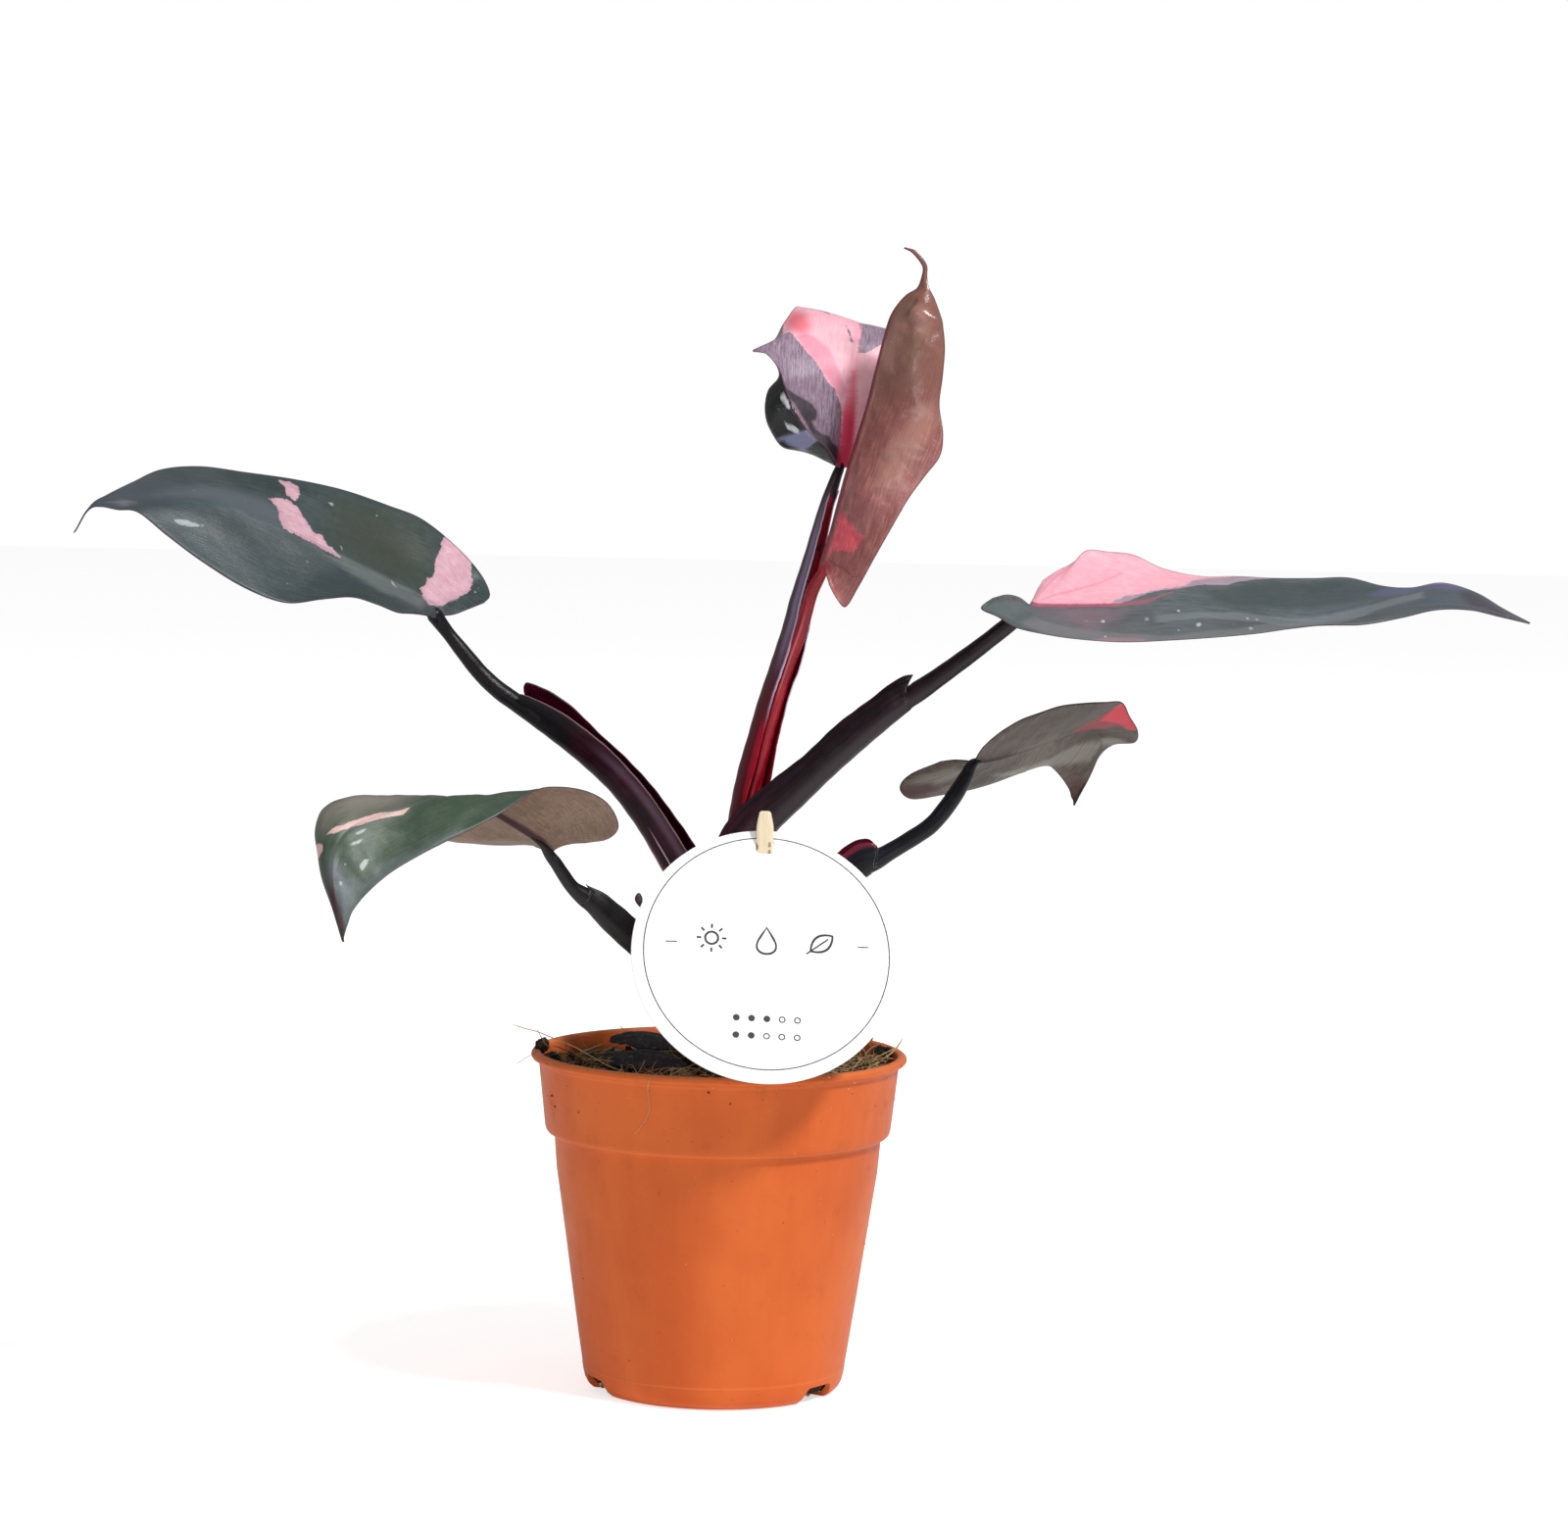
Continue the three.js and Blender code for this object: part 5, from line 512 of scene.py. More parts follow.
# loose fibres (points) and specks on the pot (x, y, z, size, tone)
PLACES = {
    "long": [
        [(-64.9, -22, 118.3), (-61.2, -22, 117.1), (-56.8, -22, 116), (-52.8, -23, 114.6), (-48, -25, 113.1), (-43.9, -28, 111.8), (-38.8, -31, 109.5), (-34.4, -33, 107.4), (-30.6, -35, 106.3)],
        [(-64.3, -8, 103.8), (-63, -9, 104.6), (-61.4, -10, 105.9), (-59.8, -11, 106.9), (-57.6, -12, 108.3)],
        [(-33.5, 44, 109.6), (-32.2, 43, 108.4), (-30.5, 41, 107.1), (-28.1, 38, 106)],
        [(-57.8, -10, 115.2), (-56.4, -11, 112.9), (-55.1, -12, 111.2), (-53.4, -14, 109.6)],
        [(51.1, 12, 117.5), (49.9, 12, 114.3), (49, 12, 111.1), (48.4, 12, 108.6)],
        [(58.6, 5, 112.3), (56.4, 0, 109.8), (53.4, -6, 108), (50.3, -12, 106.7), (46.8, -18, 105.9)],
        [(39.4, 0, 110.1), (41.9, -4, 108.5), (45.6, -8, 106.9), (48.7, -14, 106)],
    ],
    "front": [(-19.91, -56.44, 107.77), (-20.78, -56.64, 105.96), (-21.11, -54.02, 103.13), (-20.62, -53.64, 100.34), (-20.43, -53.4, 97.56), (-20.86, -52.99, 95.35), (-21.9, -52.3, 93.09), (-23.1, -51.54, 91.11), (-24.16, -50.89, 89.76), (-24.91, -50.39, 88.75)],
    "specks": [
        (-47.16, -32.39, 100.29, 0.55, "w"),
        (-51.15, -23.79, 92.7, 0.5, "d"),
        (-52.2, -22.26, 95.87, 0.5, "d"),
        (-22.95, -52.86, 102.92, 0.4, "w"),
        (-16.47, -54.52, 97.81, 0.4, "w"),
        (-13.33, -54.6, 90.87, 0.4, "w"),
        (-31.69, -45.35, 83.82, 0.45, "w"),
        (-2.32, -57.71, 103.14, 0.6, "d"),
        (-1.11, -60.11, 105.04, 0.45, "w"),
        (10.02, -57.14, 103.6, 0.45, "w"),
        (13.33, -57.63, 104.04, 0.4, "w"),
        (16.45, -54.49, 97.53, 0.4, "w"),
        (18.86, -53.73, 97.77, 0.35, "w"),
        (13.78, -54.97, 95.12, 0.35, "w"),
        (15.63, -54.22, 92.9, 0.35, "w"),
        (27.73, -49.2, 93.26, 0.35, "w"),
        (35.58, -44.36, 96.95, 0.4, "w"),
        (40.98, -40.25, 102.57, 0.4, "w"),
        (42.75, -41.94, 104.7, 0.4, "w"),
        (44.77, -35.53, 99.78, 0.35, "w"),
        (53.86, -21.25, 103.39, 0.4, "w"),
        (52.65, -22.5, 100.75, 0.4, "w"),
        (53.84, -17.09, 93.4, 0.4, "w"),
        (25.35, -54.48, 105.93, 0.4, "w"),
        (24.58, -49.47, 83.44, 0.4, "w"),
        (34.73, -48.46, 107.35, 1.1, "y"),
        (-27.53, -50.11, 99.97, 0.3, "w"),
        (-9.14, -55.86, 94.5, 0.3, "w"),
        (4.53, -55.91, 89.9, 0.3, "w"),
        (-36.77, -42.29, 89.38, 0.3, "w"),
        (-43.19, -36.33, 92.94, 0.3, "d"),
        (-22.68, -46.7, 75, 0.3, "w"),
        (9.43, -50.18, 67.02, 0.3, "w"),
        (30.54, -42, 75.25, 0.3, "w"),
        (-8.5, -47.45, 47.74, 0.3, "w"),
        (19.11, -42.2, 34.92, 0.3, "w"),
        (-26.86, -37.41, 33.08, 0.3, "w"),
        (37.13, -32.42, 55.13, 0.3, "w"),
    ],
}


# ------------------------------------------------------------------ camera
CAM_POS = (0.01892, -1.5, 0.3216)
TILT, ROLL, LENS = 0.0807, 0.0193, 108.702


def make_camera():
    fw = Vector((0, math.cos(TILT), -math.sin(TILT)))
    rt = Vector((1, 0, 0))
    up = Vector((0, math.sin(TILT), math.cos(TILT)))
    rc = rt * math.cos(ROLL) + up * math.sin(ROLL)
    uc = up * math.cos(ROLL) - rt * math.sin(ROLL)
    cam = bpy.data.cameras.new("camera")
    cam.lens, cam.sensor_width = LENS, 36.0
    cam.clip_start, cam.clip_end = 0.05, 60
    ob = bpy.data.objects.new("camera", cam)
    m = Matrix.Identity(4)
    for k, v in enumerate((rc, uc, -fw, Vector(CAM_POS))):
        for r in range(3):
            m[r][k] = v[r]
    ob.matrix_world = m
    scene.collection.objects.link(ob)
    scene.camera = ob


# ------------------------------------------------------------------ colour and node helpers
def lin(c):
    c = c / 255.0
    return c / 12.92 if c <= 0.04045 else ((c + 0.055) / 1.055) ** 2.4


def rgb(r, g, b, k=1.0):
    return (lin(r) * k, lin(g) * k, lin(b) * k, 1.0)


class Nodes:
    """A short way to write a node tree."""

    def __init__(self, name):
        self.mat = bpy.data.materials.new(name)
        self.mat.use_nodes = True
        self.nt = self.mat.node_tree
        self.nt.nodes.clear()
        self.out = self.nt.nodes.new("ShaderNodeOutputMaterial")

    def put(self, socket, value):
        if isinstance(value, bpy.types.NodeSocket):
            self.nt.links.new(value, socket)
        elif isinstance(value, (tuple, list)) and len(value) != len(socket.default_value):
            socket.default_value = tuple(value)[: len(socket.default_value)]
        else:
            socket.default_value = value

    def new(self, kind, **inputs):
        n = self.nt.nodes.new(kind)
        for k, v in inputs.items():
            self.put(n.inputs[k.replace("_", " ")], v)
        return n

    def attr(self, name, out="Fac"):
        n = self.nt.nodes.new("ShaderNodeAttribute")
        n.attribute_name = name
        return n.outputs[out]

    def pos(self):
        """object position in millimetres"""
        n = self.nt.nodes.new("ShaderNodeTexCoord")
        return self.vscale(n.outputs["Object"], 1000.0)

    def vscale(self, v, s):
        n = self.nt.nodes.new("ShaderNodeVectorMath")
        n.operation = "MULTIPLY"
        self.put(n.inputs[0], v)
        n.inputs[1].default_value = (s, s, s) if isinstance(s, (int, float)) else s
        return n.outputs[0]

    def vadd(self, a, b):
        n = self.nt.nodes.new("ShaderNodeVectorMath")
        n.operation = "ADD"
        self.put(n.inputs[0], a)
        self.put(n.inputs[1], b)
        return n.outputs[0]

    def split(self, v):
        n = self.nt.nodes.new("ShaderNodeSeparateXYZ")
        self.put(n.inputs[0], v)
        return n.outputs[0], n.outputs[1], n.outputs[2]

    def join(self, x, y, z):
        n = self.nt.nodes.new("ShaderNodeCombineXYZ")
        for k, v in enumerate((x, y, z)):
            self.put(n.inputs[k], v)
        return n.outputs[0]

    def noise(self, vec, scale=1.0, detail=3.0, rough=0.55, dist=0.0, color=False):
        n = self.nt.nodes.new("ShaderNodeTexNoise")
        self.put(n.inputs["Vector"], vec)
        n.inputs["Scale"].default_value = scale
        n.inputs["Detail"].default_value = detail
        n.inputs["Roughness"].default_value = rough
        n.inputs["Distortion"].default_value = dist
        return n.outputs["Color" if color else "Fac"]

    def voronoi(self, vec, scale, feature="F1", out="Distance", random=1.0):
        n = self.nt.nodes.new("ShaderNodeTexVoronoi")
        n.feature = feature
        self.put(n.inputs["Vector"], vec)
        n.inputs["Scale"].default_value = scale
        n.inputs["Randomness"].default_value = random
        return n.outputs[out]

    def m(self, op, a, b=0.0, c=None, clamp=False):
        n = self.nt.nodes.new("ShaderNodeMath")
        n.operation = op
        n.use_clamp = clamp
        self.put(n.inputs[0], a)
        if len(n.inputs) > 1:
            self.put(n.inputs[1], b)
        if c is not None:
            self.put(n.inputs[2], c)
        return n.outputs[0]

    def step(self, v, lo, hi, a=0.0, b=1.0):
        """smooth step from a at lo to b at hi"""
        n = self.nt.nodes.new("ShaderNodeMapRange")
        n.interpolation_type = "SMOOTHSTEP"
        self.put(n.inputs["Value"], v)
        self.put(n.inputs["From Min"], lo)
        self.put(n.inputs["From Max"], hi)
        self.put(n.inputs["To Min"], a)
        self.put(n.inputs["To Max"], b)
        return n.outputs["Result"]

    def mix(self, f, a, b, blend="MIX"):
        n = self.nt.nodes.new("ShaderNodeMix")
        n.data_type = "RGBA"
        n.blend_type = blend
        self.put(n.inputs["Factor"], f)
        self.put(n.inputs[6], a)
        self.put(n.inputs[7], b)
        return n.outputs[2]

    def ramp(self, f, stops, mode="EASE"):
        n = self.nt.nodes.new("ShaderNodeValToRGB")
        n.color_ramp.interpolation = mode
        e = n.color_ramp.elements
        while len(e) > 1:
            e.remove(e[-1])
        e[0].position, e[0].color = stops[0]
        for p, c in stops[1:]:
            k = e.new(p)
            k.color = c
        self.put(n.inputs["Fac"], f)
        return n.outputs["Color"]

    def bump(self, height, dist=0.001, strength=1.0, normal=None):
        n = self.nt.nodes.new("ShaderNodeBump")
        n.inputs["Strength"].default_value = strength
        n.inputs["Distance"].default_value = dist
        self.put(n.inputs["Height"], height)
        if normal is not None:
            self.put(n.inputs["Normal"], normal)
        return n.outputs["Normal"]

    def surface(self, color, rough=0.5, normal=None, spec=0.5, coat=0.0, coat_rough=0.2, sheen=0.0, trans=None, trans_color=None, subsurf=0.0):
        p = self.nt.nodes.new("ShaderNodeBsdfPrincipled")
        self.put(p.inputs["Base Color"], color)
        self.put(p.inputs["Roughness"], rough)
        p.inputs["Specular IOR Level"].default_value = spec
        p.inputs["Coat Weight"].default_value = coat
        p.inputs["Coat Roughness"].default_value = coat_rough
        p.inputs["Sheen Weight"].default_value = sheen
        if subsurf:
            p.inputs["Subsurface Weight"].default_value = subsurf
            p.inputs["Subsurface Radius"].default_value = (1.0, 0.5, 0.3)
            p.inputs["Subsurface Scale"].default_value = 0.002
        if normal is not None:
            self.put(p.inputs["Normal"], normal)
        last = p.outputs[0]
        if trans is not None:
            t = self.nt.nodes.new("ShaderNodeBsdfTranslucent")
            self.put(t.inputs["Color"], trans_color if trans_color is not None else color)
            if normal is not None:
                self.put(t.inputs["Normal"], normal)
            x = self.nt.nodes.new("ShaderNodeMixShader")
            self.put(x.inputs[0], trans)
            self.nt.links.new(last, x.inputs[1])
            self.nt.links.new(t.outputs[0], x.inputs[2])
            last = x.outputs[0]
        self.nt.links.new(last, self.out.inputs["Surface"])
        return self.mat


# ------------------------------------------------------------------ mesh helpers
def mesh_object(name, verts_mm, quads, mats=(), face_mat=None, smooth=True, attrs=None, sharp=None):
    me = bpy.data.meshes.new(name)
    v = np.asarray(verts_mm, np.float64) * MM
    me.from_pydata([tuple(p) for p in v], [], [tuple(int(i) for i in q) for q in quads])
    for m in mats:
        me.materials.append(m)
    if face_mat is not None:
        me.polygons.foreach_set("material_index", np.asarray(face_mat, np.int32))
    me.polygons.foreach_set("use_smooth", np.full(len(me.polygons), bool(smooth)))
    for k, a in (attrs or {}).items():
        a = np.asarray(a, np.float32)
        if a.ndim == 1:
            at = me.attributes.new(k, "FLOAT", "POINT")
            at.data.foreach_set("value", a)
        else:
            at = me.attributes.new(k, "FLOAT_VECTOR", "POINT")
            at.data.foreach_set("vector", a.ravel())
    me.update()
    if sharp is not None:
        mark_sharp(me, sharp)
    ob = bpy.data.objects.new(name, me)
    scene.collection.objects.link(ob)
    return ob


def mark_sharp(me, degrees):
    bm = bmesh.new()
    bm.from_mesh(me)
    limit = math.radians(degrees)
    for e in bm.edges:
        e.smooth = not (len(e.link_faces) == 2 and e.calc_face_angle(0) > limit)
    bm.to_mesh(me)
    bm.free()
    me.update()


def catmull(P, t):
    """P (n, ...) control points, t array of parameters 0..n-1, ends reflected"""
    P = np.asarray(P, float)
    n = len(P)
    t = np.clip(np.asarray(t, float), 0, n - 1)
    E = np.concatenate([[2 * P[0] - P[1]], P, [2 * P[-1] - P[-2]]])
    i = np.minimum(np.floor(t).astype(int), n - 2)
    f = (t - i).reshape((-1,) + (1,) * (P.ndim - 1))
    a, b, c, d = E[i], E[i + 1], E[i + 2], E[i + 3]
    return 0.5 * (2 * b + (c - a) * f + (2 * a - 5 * b + 4 * c - d) * f * f + (3 * b - a - 3 * c + d) * f ** 3)


def closed_catmull(P, n):
    P = np.asarray(P, float)
    m = len(P)
    t = np.arange(n) * (m / n)
    i = np.floor(t).astype(int)
    f = (t - i)[:, None]
    a, b, c, d = P[(i - 1) % m], P[i % m], P[(i + 1) % m], P[(i + 2) % m]
    return 0.5 * (2 * b + (c - a) * f + (2 * a - 5 * b + 4 * c - d) * f * f + (3 * b - a - 3 * c + d) * f ** 3)


def unit(v):
    return v / np.maximum(np.linalg.norm(v, axis=-1, keepdims=True), 1e-12)


def value_noise(p, seed=0):
    """smooth lattice noise in 0..1 for an (n, d) array"""
    p = np.asarray(p, float)
    d = p.shape[1]
    i = np.floor(p).astype(np.int64)
    f = p - i
    f = f * f * (3 - 2 * f)
    out = np.zeros(len(p))
    for corner in range(2 ** d):
        w = np.ones(len(p))
        h = np.full(len(p), seed * 7919 + 17, np.int64)
        for k in range(d):
            bit = (corner >> k) & 1
            w *= f[:, k] if bit else 1 - f[:, k]
            h = (h * 73856093) ^ ((i[:, k] + bit) * (19349663 + 2 * k * 83492791))
        h = (h ^ (h >> 13)) * 1274126177
        h = (h ^ (h >> 16)) & 0xFFFF
        out += w * (h / 65535.0)
    return out


def fractal(p, octaves=4, seed=0):
    p = np.asarray(p, float)
    out, amp, tot = 0, 1.0, 0
    for k in range(octaves):
        out = out + amp * value_noise(p * 2 ** k + 31.7 * k, seed + k)
        tot += amp
        amp *= 0.5
    return out / tot


# ------------------------------------------------------------------ leaves
def inside(poly, pts):
    """even-odd test, poly (m,2), pts (n,2)"""
    x, y = pts[:, 0], pts[:, 1]
    c = np.zeros(len(pts), bool)
    m = len(poly)
    for k in range(m):
        x1, y1 = poly[k]
        x2, y2 = poly[(k + 1) % m]
        if y1 == y2:
            continue
        hit = ((y1 > y) != (y2 > y)) & (x < (x2 - x1) * (y - y1) / (y2 - y1) + x1)
        c ^= hit
    return c


def surface_at(net, u, v):
    """points of the mid surface for arrays u (row units) and v (-1..1)"""
    net = np.asarray(net, float)
    R = catmull(net, u)                       # n x 7 x 3
    out = np.empty((len(u), 3))
    for sgn, cols in ((-1, (3, 2, 1, 0)), (1, (3, 4, 5, 6))):
        k = (v < 0) if sgn < 0 else (v >= 0)
        if not k.any():
            continue
        C = R[k][:, cols]                      # n x 4 x 3
        t = np.clip(np.abs(v[k]) * 3, 0, 3)
        E = np.concatenate([(2 * C[:, 0] - C[:, 1])[:, None], C, (2 * C[:, 3] - C[:, 2])[:, None]], 1)
        i = np.minimum(np.floor(t).astype(int), 2)
        f = (t - i)[:, None]
        r = np.arange(len(t))
        a, b, c, d = E[r, i], E[r, i + 1], E[r, i + 2], E[r, i + 3]
        out[k] = 0.5 * (2 * b + (c - a) * f + (2 * a - 5 * b + 4 * c - d) * f * f + (3 * b - a - 3 * c + d) * f ** 3)
    return out


def patch_distance(net, polys, S, U, V):
    """signed distance in mm, inside positive, of surface points to patches given as (u, v) outlines"""
    best = np.full(len(S), -12.0)
    pts = np.stack([U, V], 1)
    for poly in polys:
        poly = np.asarray(poly, float)
        line = []
        for k in range(len(poly)):
            a, b = poly[k], poly[(k + 1) % len(poly)]
            if abs(a[1]) > 1.001 and abs(b[1]) > 1.001:
                continue
            if a[0] < -0.001 and b[0] < -0.001:
                continue
            n = 14
            t = np.linspace(0, 1, n, endpoint=False)[:, None]
            seg = a + (b - a) * t
            line.append(seg[(np.abs(seg[:, 1]) <= 1.0) & (seg[:, 0] >= 0)])
        line = np.concatenate(line)
        L = surface_at(net, line[:, 0], line[:, 1])
        d = np.full(len(S), 1e9)
        for s in range(0, len(L), 24):
            q = ((S[:, None, :] - L[None, s:s + 24]) ** 2).sum(-1).min(1)
            d = np.minimum(d, q)
        d = np.sqrt(d)
        d = np.where(inside(poly, pts), d, -d)
        best = np.maximum(best, d)
    return np.clip(best, -12, 12)


def leaf(name, node, flip, mats, marks, thick=0.5, nu=None, nv=34, rib=1.0, quilt=0.10, groove=0.35, waves=0.0, seed=1,
         wave_size=9.0, rib_w=0.75, bumps=(), rib_stop=None):
    net = np.asarray(NETS[node], float)
    K = len(net)
    nu = nu or (K - 1) * 13 + 1
    us = np.linspace(0, K - 1, nu)
    s = np.linspace(0, 1, nv + 1)
    s = 0.45 * s ** 2 + 0.55 * s               # finer next to the midrib
    vs = np.concatenate([-s[::-1], s[1:]])
    nc = len(vs)
    U, V = np.meshgrid(us, vs, indexing="ij")
    S = surface_at(net, U.ravel(), V.ravel()).reshape(nu, nc, 3)
    a = np.gradient(S, axis=0)
    b = np.gradient(S, axis=1)
    N = unit(np.cross(b, a)) * flip
    N = unit(N)
    # distances across the blade from the midrib, and along the midrib
    step = np.linalg.norm(np.diff(S, axis=1), axis=2)
    w = np.concatenate([np.zeros((nu, 1)), np.cumsum(step, 1)], 1)
    w = w - w[:, nv:nv + 1]                    # signed distance from the midrib
    half_l, half_r = -w[:, :1], w[:, -1:]
    half = np.where(w < 0, half_l, half_r)
    mid_step = np.linalg.norm(np.diff(S[:, nv], axis=0), axis=1)
    L = np.concatenate([[0], np.cumsum(mid_step)])
    total = L[-1]
    t = (L / total)[:, None] * np.ones((1, nc))
    edge = np.minimum(half - np.abs(w), 99)
    # distance from the notch edge of the heart (first row)
    col = np.linalg.norm(np.diff(S, axis=0), axis=2)
    from_base = np.concatenate([np.zeros((1, nc)), np.cumsum(col, 0)], 0)
    edge = np.minimum(edge, from_base)
    taper = np.clip(1.0 - t, 0, 1)
    sig = 0.45 + rib_w * taper
    ridge = np.exp(-(w / sig) ** 2)
    on = np.clip(half / 3.0, 0, 1)
    if rib_stop is not None:
        # the midrib flattens out before the tip
        on = on * np.clip((rib_stop[1] - t) / (rib_stop[1] - rib_stop[0]), 0, 1)
    env = np.clip(np.abs(w) / 4.0, 0, 1) * np.clip(edge / 4.0, 0, 1)
    uu = U
    lat = np.cos(2 * np.pi * uu)
    q = quilt * env * (0.5 - 0.5 * lat) * np.clip(uu, 0, 1)
    q += waves * env * (fractal(S.reshape(-1, 3) / wave_size, 3, seed).reshape(nu, nc) - 0.5)
    for bu, bv, ru, rv, bh in bumps:
        # single swellings: row, side, half widths, height
        q += bh * np.exp(-((U - bu) / ru) ** 2 - ((V - bv) / rv) ** 2)
    up = q - groove * ridge * on * (0.35 + 0.65 * taper)
    down = -q + rib * ridge * on * (0.22 + 0.78 * taper)
    # thinner towards the margin
    th = thick * (0.45 + 0.55 * np.clip(edge / 1.2, 0, 1)) / 2
    top = S + N * (th + up)[..., None]
    bot = S - N * (th + down)[..., None]
    vec = np.stack([U / (K - 1) * total, w, V], -1)
    info = np.stack([np.abs(w), edge, t], -1)
    flat = S.reshape(-1, 3)
    fields = {}
    keys = ["pink", "grey", "warm"] + [k for k in marks if k not in ("pink", "grey", "warm")]
    for k in keys:
        polys = marks.get(k)
        fields[k] = patch_distance(net, polys, flat, U.ravel(), V.ravel()) if polys else np.full(len(flat), -12.0)
    i, j = np.meshgrid(np.arange(nu - 1), np.arange(nc - 1), indexing="ij")
    A, B = (i * nc + j).ravel(), (i * nc + j + 1).ravel()
    C, D = ((i + 1) * nc + j + 1).ravel(), ((i + 1) * nc + j).ravel()
    n = nu * nc
    q1 = np.stack([A, B, C, D], 1)
    q2 = np.stack([A, D, C, B], 1) + n
    rim = [(0, c) for c in range(nc)] + [(r, nc - 1) for r in range(1, nu)] + [(nu - 1, c) for c in range(nc - 2, -1, -1)] + [(r, 0) for r in range(nu - 2, 0, -1)]
    rim = np.array([r * nc + c for r, c in rim])
    nxt = np.roll(rim, -1)
    q3 = np.stack([rim, rim + n, nxt + n, nxt], 1)
    quads = np.concatenate([q1, q2, q3])
    if flip < 0:
        quads = quads[:, ::-1]
    fm = np.concatenate([np.zeros(len(q1)), np.ones(len(q2)), np.full(len(q3), 2)])
    two = lambda x: np.concatenate([x, x])
    at = {
        "vein": two(vec.reshape(-1, 3)), "info": two(info.reshape(-1, 3)),
        "urow": two(U.ravel()), "vcol": two(V.ravel()),
    }
    at.update({k: two(fields[k]) for k in keys})
    ob = mesh_object(name, np.concatenate([top.reshape(-1, 3), bot.reshape(-1, 3)]), quads, mats, fm, True, at)
    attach(ob, "root")
    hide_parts(node)
    return ob


def leaf_material(name, base, base2, pink, pink2, grey, warm, rib, rim, rough=0.42, spec=0.4, coat=0.0,
                  rib_width=1.3, rib_end=0.35, vein=0.10, vein_color=None, streak=0.5, ragged=1.0,
                  soft=0.25, edge_width=0.5, trans_pink=0.35, trans=0.08, pink_rough=None, warm_k=0.9, warm_soft=2.2,
                  bump=1.0, base3=None, base3_at=None, tip=None, slant=0.0, fields=(), cross=(), dots=0.0, dot_color=None,
                  margin=None, vein_lines=True, scar=None, gloss=None):
    """fields: (attribute, tone, strength, from mm, to mm, raggedness, layer); cross: (tone, strength, v0, v1, v2, v3, t0, t1);
    margin: (tone, strength, width mm); gloss: (attribute, change of roughness)"""
    g = Nodes(name)
    vec = g.attr("vein", "Vector")
    x, w, v = g.split(vec)
    mid, edge, t = g.split(g.attr("info", "Vector"))
    P = g.pos()
    # noise drawn out along the side veins
    xs = g.m("SUBTRACT", x, g.m("MULTIPLY", mid, slant)) if slant else x
    along = g.join(xs, g.m("MULTIPLY", w, 0.16), 0.0) if not slant else g.join(g.m("MULTIPLY", xs, 0.10), g.m("MULTIPLY", w, 1.0), 0.0)
    rows = g.join(x, g.m("MULTIPLY", w, 0.16), 0.0)
    fine = g.noise(along, 1.6, 4, 0.62)
    finer = g.noise(along, 5.5, 3, 0.6)
    blot = g.noise(P, 0.045, 3, 0.55)
    mott = g.noise(P, 0.35, 4, 0.6)
    nz = g.m("SUBTRACT", fine, 0.5)
    # ---- base colour
    f = g.m("ADD", g.m("MULTIPLY", nz, 1.5 * streak), blot)
    f = g.m("ADD", f, g.m("MULTIPLY", g.m("SUBTRACT", mott, 0.5), 0.5))
    col = g.mix(g.step(f, 0.25, 0.8), base, base2)
    if base3 is not None:
        # a third tone, set by distance along the blade
        lo, hi = base3_at
        col = g.mix(g.m("MULTIPLY", g.step(g.m("ADD", t, g.m("MULTIPLY", g.m("SUBTRACT", blot, 0.5), 0.4)), lo, hi), 0.85), col, base3)
    for c, k, v0, v1, v2, v3, t0, t1 in cross:
        vv = g.m("ADD", g.attr("vcol"), g.m("MULTIPLY", nz, 0.10))
        msk = g.m("MULTIPLY", g.step(vv, v0, v1), g.step(vv, v3, v2))
        msk = g.m("MULTIPLY", msk, g.m("MULTIPLY", g.step(t, t0 - 0.06, t0 + 0.06), g.step(t, t1 + 0.06, t1 - 0.06)))
        col = g.mix(g.m("MULTIPLY", msk, k), col, c)
    if margin is not None:
        mm_ = g.step(g.m("ADD", edge, g.m("MULTIPLY", nz, margin[2] * 0.5)), margin[2], 0.0)
        col = g.mix(g.m("MULTIPLY", mm_, margin[1]), col, margin[0])

    def lay(col, which):
        for key, c, k, lo, hi, rg, layer in fields:
            if layer != which:
                continue
            d = g.m("ADD", g.attr(key), g.m("MULTIPLY", nz, rg))
            col = g.mix(g.m("MULTIPLY", g.step(d, lo, hi), k), col, c)
        return col

    col = lay(col, 0)
    # side veins, one at each row and a faint one between
    ph = g.m("PINGPONG", g.attr("urow"), 0.5)
    line = g.step(g.m("ADD", ph, g.m("MULTIPLY", g.m("SUBTRACT", mott, 0.5), 0.03)), 0.055, 0.0)
    ph2 = g.m("PINGPONG", g.m("MULTIPLY", g.attr("urow"), 3.0), 0.5)
    line2 = g.step(ph2, 0.12, 0.0)
    vc = vein_color or base2
    col = g.mix(g.m("MULTIPLY", line, vein), col, vc)
    col = g.mix(g.m("MULTIPLY", line2, vein * 0.45), col, vc)
    # ---- patches with ragged edges
    rag = g.m("ADD", g.m("MULTIPLY", g.m("SUBTRACT", g.noise(rows, 1.1, 3, 0.7), 0.5), 3.2 * ragged),
              g.m("MULTIPLY", g.m("SUBTRACT", finer, 0.5), 1.2 * ragged))
    gm = g.step(g.m("ADD", g.attr("grey"), g.m("MULTIPLY", rag, 0.6)), -soft, soft)
    wm = g.step(g.m("ADD", g.attr("warm"), g.m("MULTIPLY", rag, 1.2)), -warm_soft, warm_soft)
    pm = g.step(g.m("ADD", g.attr("pink"), rag), -soft, soft)
    tone = g.step(g.m("ADD", fine, g.m("MULTIPLY", g.m("SUBTRACT", finer, 0.5), 0.8)), 0.3, 0.75)
    gcol = g.mix(tone, grey[0], grey[1])
    col = g.mix(gm, col, gcol)
